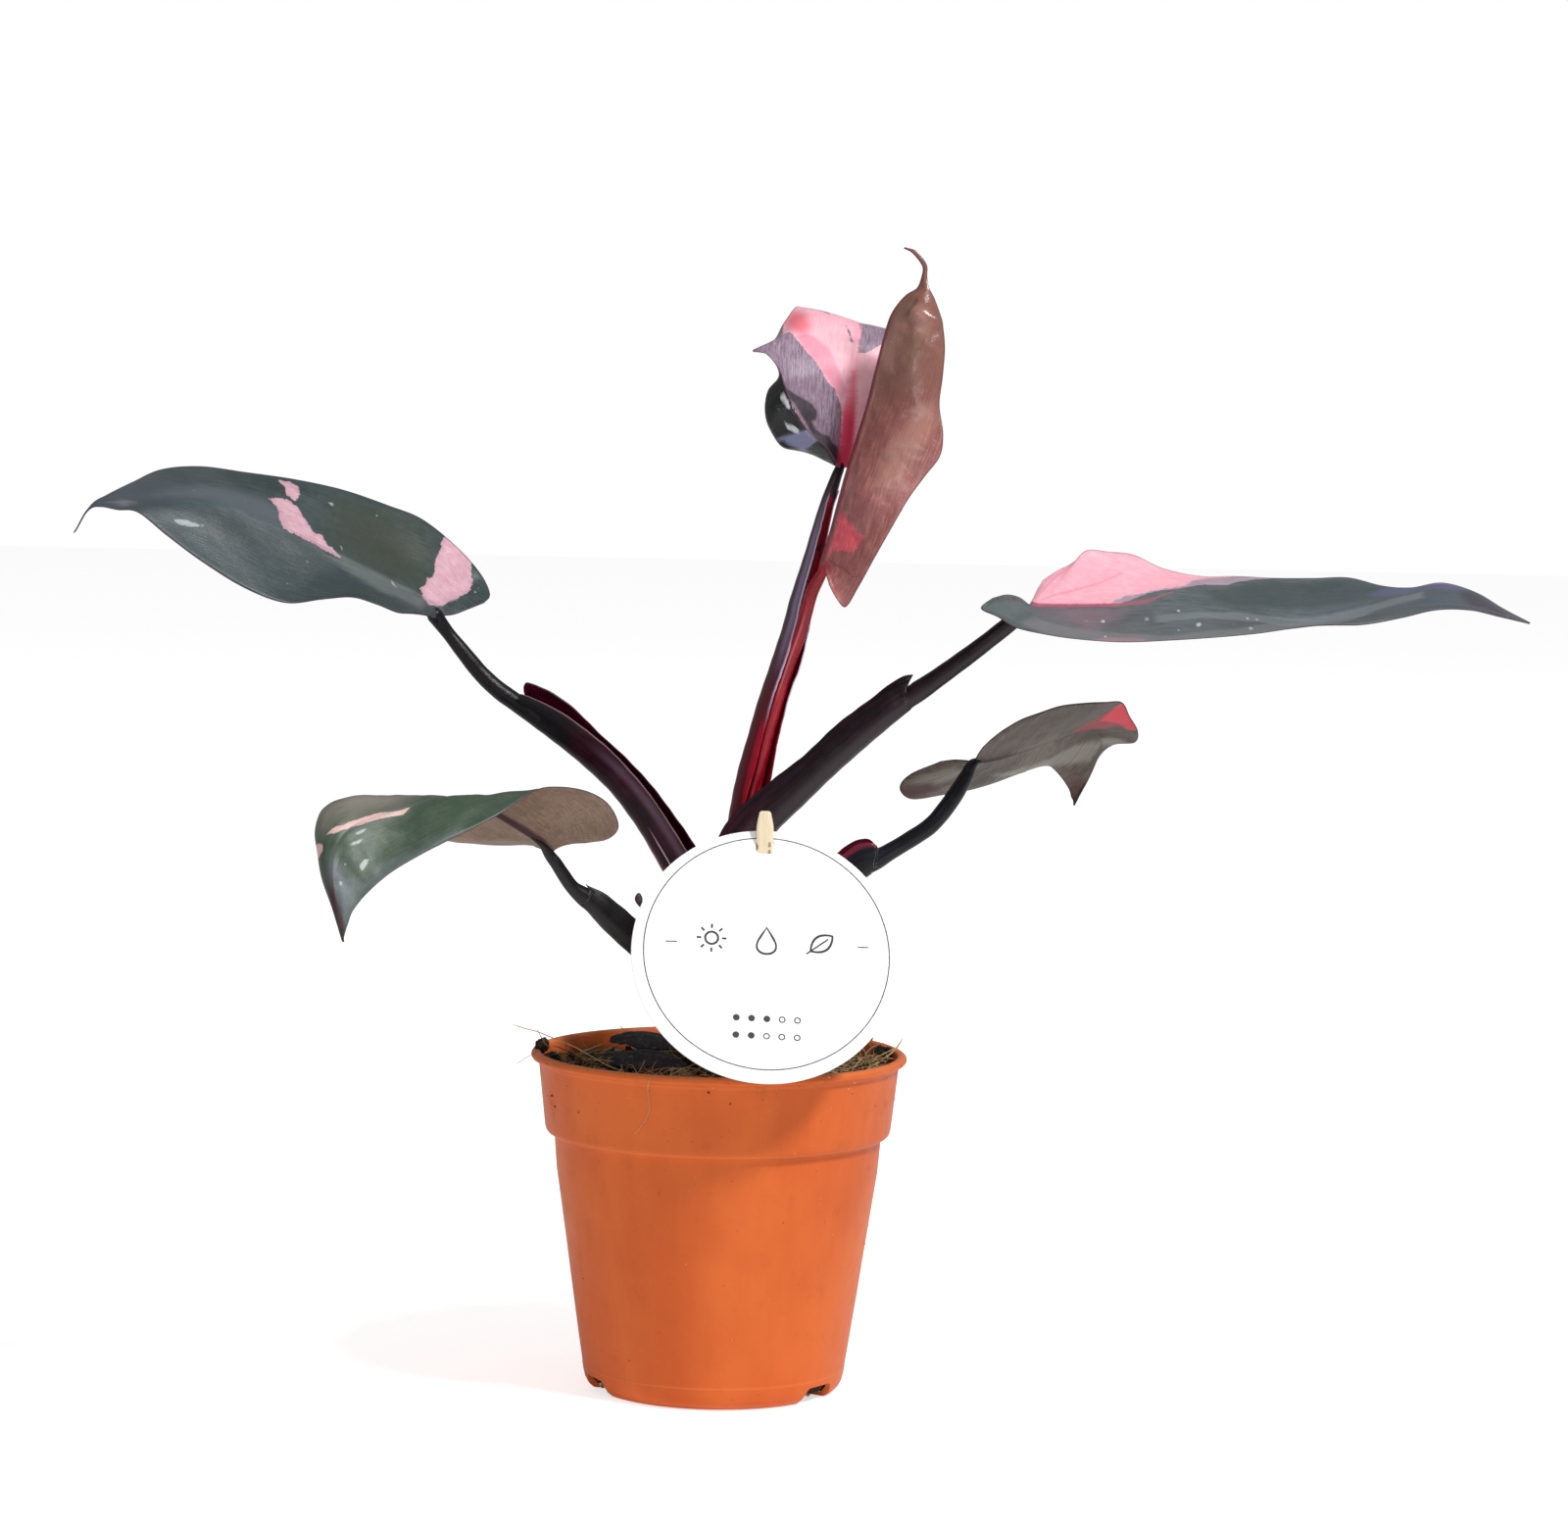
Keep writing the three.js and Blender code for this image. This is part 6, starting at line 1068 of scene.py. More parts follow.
    # skin seen through the pink: fine darker streaks at its edge
    veil = g.m("MULTIPLY", g.step(g.attr("pink"), 2.2, 0.0), g.step(finer, 0.62, 0.5))
    pcol = g.mix(g.step(g.m("ADD", fine, g.m("MULTIPLY", g.m("SUBTRACT", mott, 0.5), 0.7)), 0.3, 0.75), pink, pink2)
    col = g.mix(g.m("MULTIPLY", pm, g.m("SUBTRACT", 1.0, g.m("MULTIPLY", veil, 0.18 * ragged))), col, pcol)
    col = lay(col, 1)
    col = g.mix(g.m("MULTIPLY", wm, warm_k), col, warm)
    # ---- pale dots
    if dots:
        vn = g.nt.nodes.new("ShaderNodeTexVoronoi")
        g.put(vn.inputs["Vector"], P)
        vn.inputs["Scale"].default_value = 0.34
        r1, r2, r3 = g.split(vn.outputs["Color"])
        size = g.m("MULTIPLY_ADD", r2, 0.07, 0.035)
        dm = g.m("MULTIPLY", g.step(vn.outputs["Distance"], size, g.m("MULTIPLY", size, 0.5)), g.m("GREATER_THAN", r1, 0.86))
        col = g.mix(g.m("MULTIPLY", dm, dots), col, dot_color or rgb(206, 208, 206))
    # ---- midrib
    wid = g.m("ADD", rib_end, g.m("MULTIPLY", g.m("SUBTRACT", 1.0, t), rib_width - rib_end))
    rm = g.step(g.m("DIVIDE", mid, wid), 1.25, 0.45)
    rm = g.m("MULTIPLY", rm, rib[1])
    rcol = rib[0]
    if len(rib) > 2:
        far = g.step(t, rib[3], rib[4])
        rcol = g.mix(far, rib[0], rib[2])
        if len(rib) > 5:
            rm = g.m("MULTIPLY", rm, g.m("SUBTRACT", 1.0, g.m("MULTIPLY", far, 1.0 - rib[5])))
    col = g.mix(rm, col, rcol)
    if scar is not None:
        # a small healed ring-shaped mark: (x mm, w mm, radius)
        dx = g.m("SUBTRACT", x, scar[0])
        dw = g.m("SUBTRACT", w, scar[1])
        d = g.m("SQRT", g.m("ADD", g.m("MULTIPLY", dx, dx), g.m("MULTIPLY", dw, dw)))
        d = g.m("ABSOLUTE", g.m("SUBTRACT", g.m("ADD", d, g.m("MULTIPLY", g.m("SUBTRACT", mott, 0.5), 1.0)), scar[2]))
        col = g.mix(g.m("MULTIPLY", g.step(d, 0.35, 0.1), 0.8), col, rgb(60, 34, 32))
    if tip is not None:
        col = g.mix(g.step(g.m("ADD", t, g.m("MULTIPLY", nz, 0.06)), tip[1], tip[2]), col, tip[0])
    # ---- margin
    em = g.step(g.m("ADD", edge, g.m("MULTIPLY", g.m("SUBTRACT", mott, 0.5), 0.3)), edge_width, edge_width * 0.3)
    col = g.mix(g.m("MULTIPLY", em, rim[1]), col, rim[0])
    # ---- relief
    h = g.m("ADD", g.m("MULTIPLY", line, -0.055 if vein_lines else 0.0), g.m("MULTIPLY", line2, -0.02 if vein_lines else 0.0))
    h = g.m("ADD", h, g.m("MULTIPLY", fine, 0.07 * bump))
    h = g.m("ADD", h, g.m("MULTIPLY", finer, 0.022 * bump))
    h = g.m("ADD", h, g.m("MULTIPLY", mott, 0.07 * bump))
    h = g.m("ADD", h, g.m("MULTIPLY", g.noise(P, 2.2, 2, 0.5), 0.012 * bump))
    nrm = g.bump(h, dist=0.001, strength=1.0)
    r = g.m("ADD", rough, g.m("MULTIPLY", g.m("SUBTRACT", mott, 0.5), 0.16))
    if pink_rough is not None:
        r = g.m("ADD", g.m("MULTIPLY", pm, pink_rough - rough), r)
    if gloss is not None:
        r = g.m("ADD", g.m("MULTIPLY", g.step(g.attr(gloss[0]), -1.0, 1.0), gloss[1]), r)
    tr = g.m("ADD", trans, g.m("MULTIPLY", pm, trans_pink - trans))
    return g.surface(col, r, nrm, spec=spec, coat=coat, coat_rough=0.25, trans=tr)




# ------------------------------------------------------------------ stalks
WING = [0.08, 0.2, 0.36, 0.54, 0.72, 0.86, 0.95, 1.0]
FLOOR_A = [-62, -40, -20, 0, 20, 40, 62]


def stalk(name, node, mat, mouth=None, ear=(0, 0), ear_h=(0, 0), ear_len=12.0, ear_pow=1.5, groove=0.0, wide=0.0, steps=10, ribs=0.0, seed=3,
          ragged=0.0, path=None, core_end=0.86, open_len=20.0, flare=0.0, h_len=None, lean=0.34):
    """A round stalk whose lower part carries two thin wings, the sheath. mouth: station where the wings start;
    ear: how far each wing's corner (far side, near side) reaches up past it, one value or one for each step
    from the wing's foot to its edge; ear_h: how much it stands up."""
    spec = STALKS[node]
    ear = [np.asarray(q, float) if isinstance(q, (list, tuple)) else q * np.array(WING) ** ear_pow for q in ear]
    h_len = h_len if isinstance(h_len, tuple) else (h_len or ear_len, h_len or ear_len)
    st = np.asarray(path if path is not None else spec["st"], float)
    n = len(st)
    o = unit(np.asarray(spec["o"], float))
    ts = list(np.linspace(0, n - 1, (n - 1) * steps + 1))
    if mouth is not None:
        ts = [t for t in ts if abs(t - mouth) > 0.02]
        ts += [mouth - 0.01, mouth + 0.01, mouth + 0.05, mouth + 0.1, mouth + 0.17, mouth + 0.25, mouth + 0.33]
        ts.sort()
    ts = np.array(ts)
    Q = catmull(st, ts)
    C, R, w = Q[:, :3].copy(), Q[:, 3].copy(), np.clip(Q[:, 4], 0, 1)
    T = unit(catmull(st[:, :3], ts + 0.05) - catmull(st[:, :3], ts - 0.05))
    e1 = unit(o[None] - T * (T @ o)[:, None])
    e2 = np.cross(T, e1)
    L = np.concatenate([[0], np.cumsum(np.linalg.norm(np.diff(C, axis=0), axis=1))])
    rc = R * core_end
    core = C - e1 * (R - rc)[:, None]
    since = np.zeros(len(ts))
    if mouth is not None:
        before = ts < mouth
        k0 = int(np.floor(mouth))
        pre = st[:k0 + 1]
        ext = catmull(np.concatenate([pre, [pre[-1] + (pre[-1] - pre[-2]) * [1, 1, 1, 0.6, 0]]]), np.minimum(ts, k0 + 1))
        w[before] = 0
        wv = np.clip(st[:, 4] / 0.7, 0, 1)
        wv[np.arange(n) < mouth + 1.5] = 1
        w[~before] = np.interp(ts, np.arange(n), wv)[~before]
        r_m = np.interp(mouth, ts[before], ext[before, 3]) if before.any() else R[0]
        since = np.clip(L - np.interp(mouth, ts, L), 0, None)
        g = np.clip((ts - mouth) / 4.0, 0, 1)
        g = g * g * (3 - 2 * g)
        rc = np.where(before, ext[:, 3], r_m * (1 - g) + R * core_end * g)
        C_pre = ext[:, :3]
        base = C - e1 * (R - rc)[:, None]
        # carry the stalk's centre line smoothly into the sheath's back
        i0 = np.searchsorted(ts, mouth)
        jump = C_pre[i0] - base[i0]
        h = np.clip((ts - mouth) / 2.0, 0, 1)
        h = 1 - h * h * (3 - 2 * h)
        core = np.where(before[:, None], C_pre, base + jump * h[:, None])
        R = np.where(before, rc, R)
    ang = np.radians(np.linspace(90, 270, 19))
    W = np.array(WING)
    fa = np.radians(np.array(FLOOR_A))
    rng = np.random.default_rng(seed)
    phase = rng.uniform(0, 6.28, 4)
    near = -np.sign(e2[len(e2) // 2][1]) or 1.0
    nring = len(ang) + 4 * len(W) + len(fa)
    circ = np.radians(np.linspace(-90, 90, nring - len(ang) + 2)[1:-1])
    kinds = np.concatenate([np.zeros(len(ang)), np.zeros(len(W)), np.ones(len(W) + len(fa) + len(W)), np.zeros(len(W))])
    edge_f = np.concatenate([np.zeros(len(ang)), W, W[::-1], np.zeros(len(fa)), W, W[::-1]])
    rings, angs = [], []
    for i in range(len(ts)):
        r = rc[i]
        sy = r * (1 + wide) * (0.5 + 0.5 * max(R[i], r) / r) if w[i] > 0 else r
        grow = np.clip(since[i] / 6.0, 0, 1) if mouth is not None else 1.0
        sy = r * (1 - grow) + sy * grow
        H = max(2 * R[i] - r, r * 0.9)
        fall = max(0.0, 1 - since[i] / ear_len)
        out = []
        # back
        x = r * np.cos(ang)
        y = sy * np.sin(ang)
        rr = 1 + ribs * (np.cos(ang * 13 + phase[0]) + np.cos(ang * 21 + phase[1] + L[i] * 0.02)) * 0.5 / max(r, 1)
        out.append(np.stack([x * rr, y * rr, np.zeros(len(ang))], 1))
        th = 0.28 + 0.24 * r * (1 - W)

        def wing(sgn, inner):
            side = 1 if sgn == near else 0
            hh = H * (1 + ear_h[side] * max(0.0, 1 - since[i] / h_len[side]) ** 1.3)
            rag = 0.0
            if ragged:
                rag = ragged * (value_noise(np.array([[L[i] * 0.9, sgn * 3.0 + 5, 0.5]]), seed)[0] - 0.5)
            xx = hh * W + rag * W ** 4
            yo = sy * (1 - 0.02 * W - lean * W ** 2.2)
            yo = yo - groove * fall ** 0.7 * np.exp(-((W - 0.16) / 0.12) ** 2) * r
            if flare:
                yo = yo + flare * fall * W ** 2
            if inner:
                yy = yo - th
                xx = xx - 0.05 * (W > 0.9)
            else:
                yy = yo
            back = ear[side] * fall
            return np.stack([xx, sgn * yy, -back], 1)

        fl = 1 - np.clip(since[i] / open_len, 0, 1) if mouth is not None else 0.0
        yi = (sy - th[0]) * 0.98
        fx = fl * (r * np.cos(fa) * 0.97) + (1 - fl) * (-0.12 * r + 0.22 * r * (1 - np.cos(fa)))
        fy = fl * (r * np.sin(fa)) + (1 - fl) * yi * np.sin(fa) / math.sin(fa[-1])
        floor = np.stack([fx, fy, np.zeros(len(fa))], 1)
        wn, wp = wing(-1, False), wing(1, False)
        win, wip = wing(-1, True), wing(1, True)
        # the inner faces start from the floor
        for q, f_ in ((win, floor[0]), (wip, floor[-1])):
            low = np.clip((f_[0] + 0.12 * r - q[:, 0]) / max(r, 0.1), 0, 1)
            q[:, 0] = np.maximum(q[:, 0], f_[0] + 0.02 * r * np.arange(len(W)) / len(W) + low * 0)
        prof = np.concatenate([out[0], wn, win[::-1], floor, wip, wp[::-1]])
        c0 = np.concatenate([ang, circ + 2 * np.pi])
        circle = np.stack([r * np.cos(c0), r * np.sin(c0), np.zeros(len(c0))], 1)
        if mouth is None:
            circle = np.stack([R[i] * np.cos(c0) + (R[i] - r), R[i] * np.sin(c0), np.zeros(len(c0))], 1)
        p2 = prof * w[i] + circle * (1 - w[i])
        wob = 1 + 0.010 * math.sin(L[i] * 0.35 + phase[2]) + 0.008 * math.sin(L[i] * 0.9 + phase[3])
        P = core[i] + np.outer(p2[:, 0] * wob, e1[i]) + np.outer(p2[:, 1] * wob, e2[i]) + np.outer(p2[:, 2], T[i])
        rings.append(P)
        angs.append(np.arctan2(p2[:, 1], p2[:, 0] + 1e-9))
    P = np.concatenate(rings)
    A = np.concatenate(angs)
    nr, m = len(rings), nring
    i, k = np.meshgrid(np.arange(nr - 1), np.arange(m), indexing="ij")
    a, b = (i * m + k).ravel(), (i * m + (k + 1) % m).ravel()
    c, d = ((i + 1) * m + (k + 1) % m).ravel(), ((i + 1) * m + k).ravel()
    faces = [tuple(q) for q in np.stack([a, b, c, d], 1)]
    verts = [tuple(p) for p in P]
    info = np.stack([np.repeat(L, m), np.cos(A), np.sin(A) * near], 1)
    gut = np.tile(kinds, nr) * np.repeat(w, m)
    rim = np.tile(np.clip((edge_f - 0.55) / 0.45, 0, 1), nr) * np.repeat(w, m)
    info, gut, rim = list(map(tuple, info)), list(gut), list(rim)
    for end in (0, nr - 1):
        verts.append(tuple(core[end]))
        info.append((L[end], 0, 0))
        gut.append(0)
        rim.append(0)
        idx = len(verts) - 1
        base = end * m
        for q in range(m):
            aa, bb = base + q, base + (q + 1) % m
            faces.append((idx, aa, bb) if end else (idx, bb, aa))
    me = bpy.data.meshes.new(name)
    me.from_pydata([tuple(float(v) * MM for v in p) for p in verts], [], [tuple(int(v) for v in f) for f in faces])
    me.materials.append(mat)
    me.polygons.foreach_set("use_smooth", np.full(len(me.polygons), True))
    at = me.attributes.new("stem", "FLOAT_VECTOR", "POINT")
    at.data.foreach_set("vector", np.asarray(info, np.float32).ravel())
    for key, val in (("gutter", gut), ("wing", rim)):
        at = me.attributes.new(key, "FLOAT", "POINT")
        at.data.foreach_set("value", np.asarray(val, np.float32))
    bm = bmesh.new()
    bm.from_mesh(me)
    bmesh.ops.recalc_face_normals(bm, faces=bm.faces)
    bm.to_mesh(me)
    bm.free()
    me.update()
    mark_sharp(me, 62)
    ob = bpy.data.objects.new(name, me)
    scene.collection.objects.link(ob)
    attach(ob, "root")
    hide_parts(node)
    return ob


def with_ends(node, head=None, foot=None, change=None):
    """the centre line with a few stations added at the head (into the blade) and at the foot (into the stem)"""
    st = [list(q) for q in STALKS[node]["st"]]
    for k, q in (change or {}).items():
        st[k] = q if isinstance(q, list) else st[k][:3] + [q, st[k][4]]
    return (head or []) + st + (foot or [])


def stalk_material(name, outer, outer2, inner, edge, length, foot=None, foot_at=(0.6, 1.0), head=None, head_at=(0.0, 0.1), rough=0.34, spec=0.2,
                   streaks=(), coat=0.0, edge_w=(0.75, 0.98), edge_k=0.8, edge_at=None, bands=None, near=None, bump=1.0, low=None):
    """outer/outer2: skin tones, inner: inside of the sheath, edge: its thin margin, on some stalks partly a painted
    highlight line, foot/head: tone at either end,
    streaks: (colour, angle, half width, from, to), near: (tone, angle, half width) of a broad soft band of painted
    sheen, low: tone of the underside, painted bounce light from the floor"""
    g = Nodes(name)
    L, ca, sa = g.split(g.attr("stem", "Vector"))
    P = g.pos()
    ang = g.m("ARCTAN2", sa, ca)
    long = g.join(g.m("MULTIPLY", L, 0.03), g.m("MULTIPLY", ca, 2.2), g.m("MULTIPLY", sa, 2.2))
    fine = g.noise(long, 2.6, 4, 0.6)
    finer = g.noise(long, 8.0, 3, 0.6)
    mott = g.noise(P, 0.12, 3, 0.55)
    spots = g.voronoi(P, 0.9)
    t = g.m("DIVIDE", L, length)
    col = g.mix(g.step(g.m("ADD", fine, g.m("MULTIPLY", g.m("SUBTRACT", mott, 0.5), 0.8)), 0.35, 0.75), outer, outer2)
    if low is not None:
        # paler underside: painted bounce light from the floor
        col = g.mix(g.m("MULTIPLY", g.step(g.m("ADD", ca, g.m("MULTIPLY", g.m("SUBTRACT", fine, 0.5), 0.5)), 0.1, -0.8), 0.8), col, low)
    # painted sheen: a broad soft paler band along one side of the stalk
    if near is not None:
        c, a0, hw, f0, f1 = near
        da = g.m("ABSOLUTE", g.m("SUBTRACT", ang, a0))
        msk = g.step(g.m("ADD", da, g.m("MULTIPLY", g.m("SUBTRACT", fine, 0.5), hw * 0.5)), hw, 0.0)
        msk = g.m("MULTIPLY", msk, g.m("MULTIPLY", g.step(t, f0, f0 + 0.12), g.step(t, f1, f1 - 0.12)))
        col = g.mix(msk, col, c)
    if foot is not None:
        col = g.mix(g.step(g.m("ADD", t, g.m("MULTIPLY", g.m("SUBTRACT", fine, 0.5), 0.35)), foot_at[0], foot_at[1]), col, foot)
    if head is not None:
        col = g.mix(g.step(g.m("ADD", t, g.m("MULTIPLY", g.m("SUBTRACT", fine, 0.5), 0.05)), head_at[1], head_at[0]), col, head)
    for c, a0, hw, f0, f1 in streaks:
        da = g.m("ABSOLUTE", g.m("SUBTRACT", ang, a0))
        msk = g.step(g.m("ADD", da, g.m("MULTIPLY", g.m("SUBTRACT", fine, 0.5), hw)), hw, hw * 0.4)
        msk = g.m("MULTIPLY", msk, g.m("MULTIPLY", g.step(t, f0, f0 + 0.06), g.step(t, f1, f1 - 0.06)))
        col = g.mix(msk, col, c)
    icol = g.mix(g.step(fine, 0.3, 0.75), inner, outer)
    col = g.mix(g.m("MULTIPLY", g.step(g.attr("gutter"), 0.3, 0.7), 0.95), col, icol)
    ew = g.m("MULTIPLY", g.step(g.m("ADD", g.attr("wing"), g.m("MULTIPLY", g.m("SUBTRACT", fine, 0.5), 0.2)), edge_w[0], edge_w[1]), edge_k)
    if edge_at is not None:
        ew = g.m("MULTIPLY", ew, g.m("MULTIPLY", g.step(t, edge_at[0], edge_at[0] + 0.03), g.step(t, edge_at[1], edge_at[1] - 0.15)))
    col = g.mix(ew, col, edge)
    # pale lenticel dots
    dot = g.m("MULTIPLY", g.step(spots, 0.13, 0.08), g.step(g.noise(P, 0.25, 2), 0.56, 0.66))
    col = g.mix(g.m("MULTIPLY", dot, 0.16), col, rgb(150, 130, 130))
    h = g.m("ADD", g.m("MULTIPLY", fine, 0.10 * bump), g.m("MULTIPLY", finer, 0.03 * bump))
    h = g.m("ADD", h, g.m("MULTIPLY", g.noise(P, 0.5, 3), 0.05 * bump))
    n = g.bump(h, 0.001)
    r = g.m("ADD", rough, g.m("MULTIPLY", g.m("SUBTRACT", fine, 0.5), 0.2))
    return g.surface(col, r, n, spec=spec, coat=coat, coat_rough=0.2)


# ------------------------------------------------------------------ pot
POT = [
    (0, 0), (20, 0), (34, 0), (37.3, 0), (38.2, 0.12), (39.2, 0.5), (40.5, 1.7), (41.3, 3.3), (41.8, 5.4), (42.0, 6.7),
    (42.12, 7.2), (42.02, 7.5), (42.15, 8.2), (43.5, 17), (45.7, 32), (47.9, 47), (50.1, 62), (51.3, 70), (52.0, 78.5), (52.12, 80.6), (52.35, 81.35), (52.9, 81.75),
    (53.7, 81.85), (54.3, 82.15), (54.9, 82.8), (55.15, 83.6), (55.3, 84.6), (56.3, 93.5), (57.45, 104.0), (57.6, 104.7), (58.0, 105.1),
    (58.8, 105.25), (59.5, 105.5), (59.9, 106.0), (60.0, 106.5), (59.85, 107.1), (59.4, 107.6), (58.7, 107.93), (58.0, 108.0), (57.4, 107.85), (56.95, 107.4),
    (56.6, 106.4), (55.9, 103), (55.0, 94), (54.0, 83.6), (53.2, 81.6), (51.6, 80.9), (50.8, 80.2), (50.0, 70), (45.2, 38), (40.4, 6), (39.6, 3.6), (37.4, 1.5), (36, 1.5), (20, 1.5), (0, 1.5),
]


def lathe(profile, seg):
    prof = np.asarray(profile, float)
    verts, faces = [], []
    a = np.linspace(0, 2 * np.pi, seg, endpoint=False)
    idx = []
    for r, z in prof:
        if r < 1e-9:
            verts.append((0, 0, z))
            idx.append([len(verts) - 1] * seg)
        else:
            s = len(verts)
            verts += [(r * math.cos(t), r * math.sin(t), z) for t in a]
            idx.append(list(range(s, s + seg)))
    for i in range(len(prof) - 1):
        for k in range(seg):
            q = [idx[i][k], idx[i][(k + 1) % seg], idx[i + 1][(k + 1) % seg], idx[i + 1][k]]
            f = []
            for v in q:
                if v not in f:
                    f.append(v)
            if len(f) >= 3:
                faces.append(f)
    return verts, faces


def extruded(outline, depth_vec):
    """closed prism: outline is a list of 3-D points, swept along depth_vec"""
    n = len(outline)
    v = [tuple(p) for p in outline] + [tuple(np.asarray(p) + depth_vec) for p in outline]
    f = [list(range(n))[::-1], list(range(n, 2 * n))]
    f += [[k, (k + 1) % n, n + (k + 1) % n, n + k] for k in range(n)]
    return v, f


def raw_mesh(name, verts, faces, scale=MM):
    me = bpy.data.meshes.new(name)
    me.from_pydata([tuple(float(c) * scale for c in v) for v in verts], [], [tuple(int(i) for i in f) for f in faces])
    bm = bmesh.new()
    bm.from_mesh(me)
    bmesh.ops.recalc_face_normals(bm, faces=bm.faces)
    bm.to_mesh(me)
    bm.free()
    me.update()
    return me


def cut(ob, tools):
    """boolean difference, applied"""
    for t in tools:
        scene.collection.objects.link(t)
        md = ob.modifiers.new("cut", "BOOLEAN")
        md.operation = "DIFFERENCE"
        md.solver = "EXACT"
        md.object = t
    bpy.context.view_layer.update()
    dg = bpy.context.evaluated_depsgraph_get()
    me = bpy.data.meshes.new_from_object(ob.evaluated_get(dg))
    ob.modifiers.clear()
    old = ob.data
    ob.data = me
    bpy.data.meshes.remove(old)
    for t in tools:
        d = t.data
        bpy.data.objects.remove(t)
        bpy.data.meshes.remove(d)


def make_pot(mat, dark):
    v, f = lathe(POT, 240)
    me = raw_mesh("pot_shell", v, f)
    ob = bpy.data.objects.new("pot_shell", me)
    scene.collection.objects.link(ob)
    tools = []
    for k in range(3):
        a = math.radians(-35 + 120 * k)
        ex, ey, ez = np.array([-math.sin(a), math.cos(a), 0]), np.array([math.cos(a), math.sin(a), 0]), np.array([0, 0, 1.0])
        half = [(8.7, -1), (8.2, 0), (7.5, 1.7), (6.8, 3.4), (6.2, 4.5), (5.5, 5.1), (4.6, 5.3)]
        pts = [(-x, z) for x, z in half] + [(x, z) for x, z in half[::-1]]
        o = [ex * x + ez * z + ey * 32 for x, z in pts]
        tv, tf = extruded(o, ey * 11)
        tools.append(bpy.data.objects.new("tool", raw_mesh("tool", tv, tf)))
    cut(ob, tools)
    me = ob.data
    me.materials.clear()
    me.materials.append(mat)
    bm = bmesh.new()
    bm.from_mesh(me)
    bmesh.ops.remove_doubles(bm, verts=bm.verts, dist=1e-6)
    bmesh.ops.triangulate(bm, faces=[q for q in bm.faces if len(q.verts) > 4])
    bmesh.ops.recalc_face_normals(bm, faces=bm.faces)
    bm.to_mesh(me)
    bm.free()
    me.polygons.foreach_set("use_smooth", np.full(len(me.polygons), True))
    me.polygons.foreach_set("material_index", np.zeros(len(me.polygons), np.int32))
    mark_sharp(me, 38)
    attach(ob, "root")
    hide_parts("pot")
    return ob


def pot_material():
    g = Nodes("pot_plastic")
    P = g.pos()
    x, y, z = g.split(P)
    ang = g.m("ARCTAN2", y, x)
    blot = g.noise(P, 0.02, 3, 0.5)
    flow = g.noise(g.join(g.m("MULTIPLY", x, 0.05), g.m("MULTIPLY", y, 0.05), g.m("MULTIPLY", z, 0.012)), 1.0, 4, 0.55)
    fine = g.noise(P, 1.3, 3, 0.6)
    col = g.mix(g.step(g.m("ADD", g.m("MULTIPLY", blot, 0.5), g.m("MULTIPLY", flow, 0.5)), 0.35, 0.65), rgb(200, 91, 40), rgb(216, 106, 49))
    col = g.mix(g.m("MULTIPLY", g.step(fine, 0.5, 0.75), 0.10), col, rgb(226, 118, 62))
    # darker dust in blotches scattered over the pot
    dust = g.m("MULTIPLY", g.step(g.noise(P, 0.11, 5, 0.7), 0.56, 0.74), 0.20)
    col = g.mix(dust, col, rgb(150, 84, 52))
    # paler bands round the lip, collar and foot
    for zz, wd, k in ((107.7, 0.9, 0.30), (82.2, 0.6, 0.22), (104.2, 0.4, 0.14), (1.0, 1.0, 0.12), (7.3, 0.3, 0.18)):
        dz = g.m("ABSOLUTE", g.m("SUBTRACT", z, zz))
        e = g.m("MULTIPLY", g.step(g.m("ADD", dz, g.m("MULTIPLY", fine, 0.5)), wd + 0.5, 0.2), k)
        col = g.mix(e, col, rgb(238, 146, 92))
    # fine scuffs that run round the wall
    sc = g.noise(g.join(g.m("MULTIPLY", ang, 4.0), g.m("MULTIPLY", z, 1.4), 0.0), 1.6, 5, 0.7)
    col = g.mix(g.m("MULTIPLY", g.step(sc, 0.63, 0.74), 0.09), col, rgb(232, 136, 84))
    # grains of soil dust
    sp = g.voronoi(P, 0.33)
    spm = g.m("MULTIPLY", g.step(sp, 0.075, 0.045), g.step(g.noise(P, 0.07, 2), 0.50, 0.60))
    col = g.mix(g.m("MULTIPLY", spm, 0.8), col, rgb(74, 44, 30))
    sp2 = g.voronoi(g.vadd(P, (37.0, 11.0, 5.0)), 0.29)
    spm2 = g.m("MULTIPLY", g.step(sp2, 0.06, 0.035), g.step(g.noise(P, 0.06, 2), 0.48, 0.58))
    col = g.mix(g.m("MULTIPLY", spm2, 0.35), col, rgb(238, 176, 140))
    # inside: the wall above the soil darker and browner, fading out towards the lip
    rad = g.m("SQRT", g.m("ADD", g.m("MULTIPLY", x, x), g.m("MULTIPLY", y, y)))
    inside_wall = g.m("MULTIPLY", g.step(g.m("SUBTRACT", rad, g.m("MULTIPLY", g.m("SUBTRACT", z, 83.6), 0.0993)), 54.9, 54.3), g.step(z, 84.0, 90.0))
    low = g.step(g.m("ADD", z, g.m("MULTIPLY", g.noise(P, 0.25, 4, 0.7), 5.0)), 108.5, 103.5)
    col = g.mix(g.m("MULTIPLY", g.m("MULTIPLY", inside_wall, low), 0.7), col, rgb(86, 44, 26))
    h = g.m("ADD", g.m("MULTIPLY", g.noise(P, 0.9, 3, 0.6), 0.05), g.m("MULTIPLY", g.noise(P, 0.05, 2), 0.5))
    h = g.m("ADD", h, g.m("MULTIPLY", sc, 0.02))
    n = g.bump(h, 0.001, 0.8)
    r = g.m("ADD", 0.42, g.m("MULTIPLY", g.m("SUBTRACT", g.noise(P, 0.18, 4, 0.6), 0.5), 0.22))
    r = g.m("ADD", r, g.m("MULTIPLY", dust, 0.8))
    return g.surface(col, r, n, spec=0.16, subsurf=0.0)


# ------------------------------------------------------------------ soil
WALL = [(1.5, 37.4), (3.6, 39.6), (6, 40.4), (70, 50.0), (80.6, 50.8), (83.6, 54.0), (103, 55.9), (108, 57.5)]


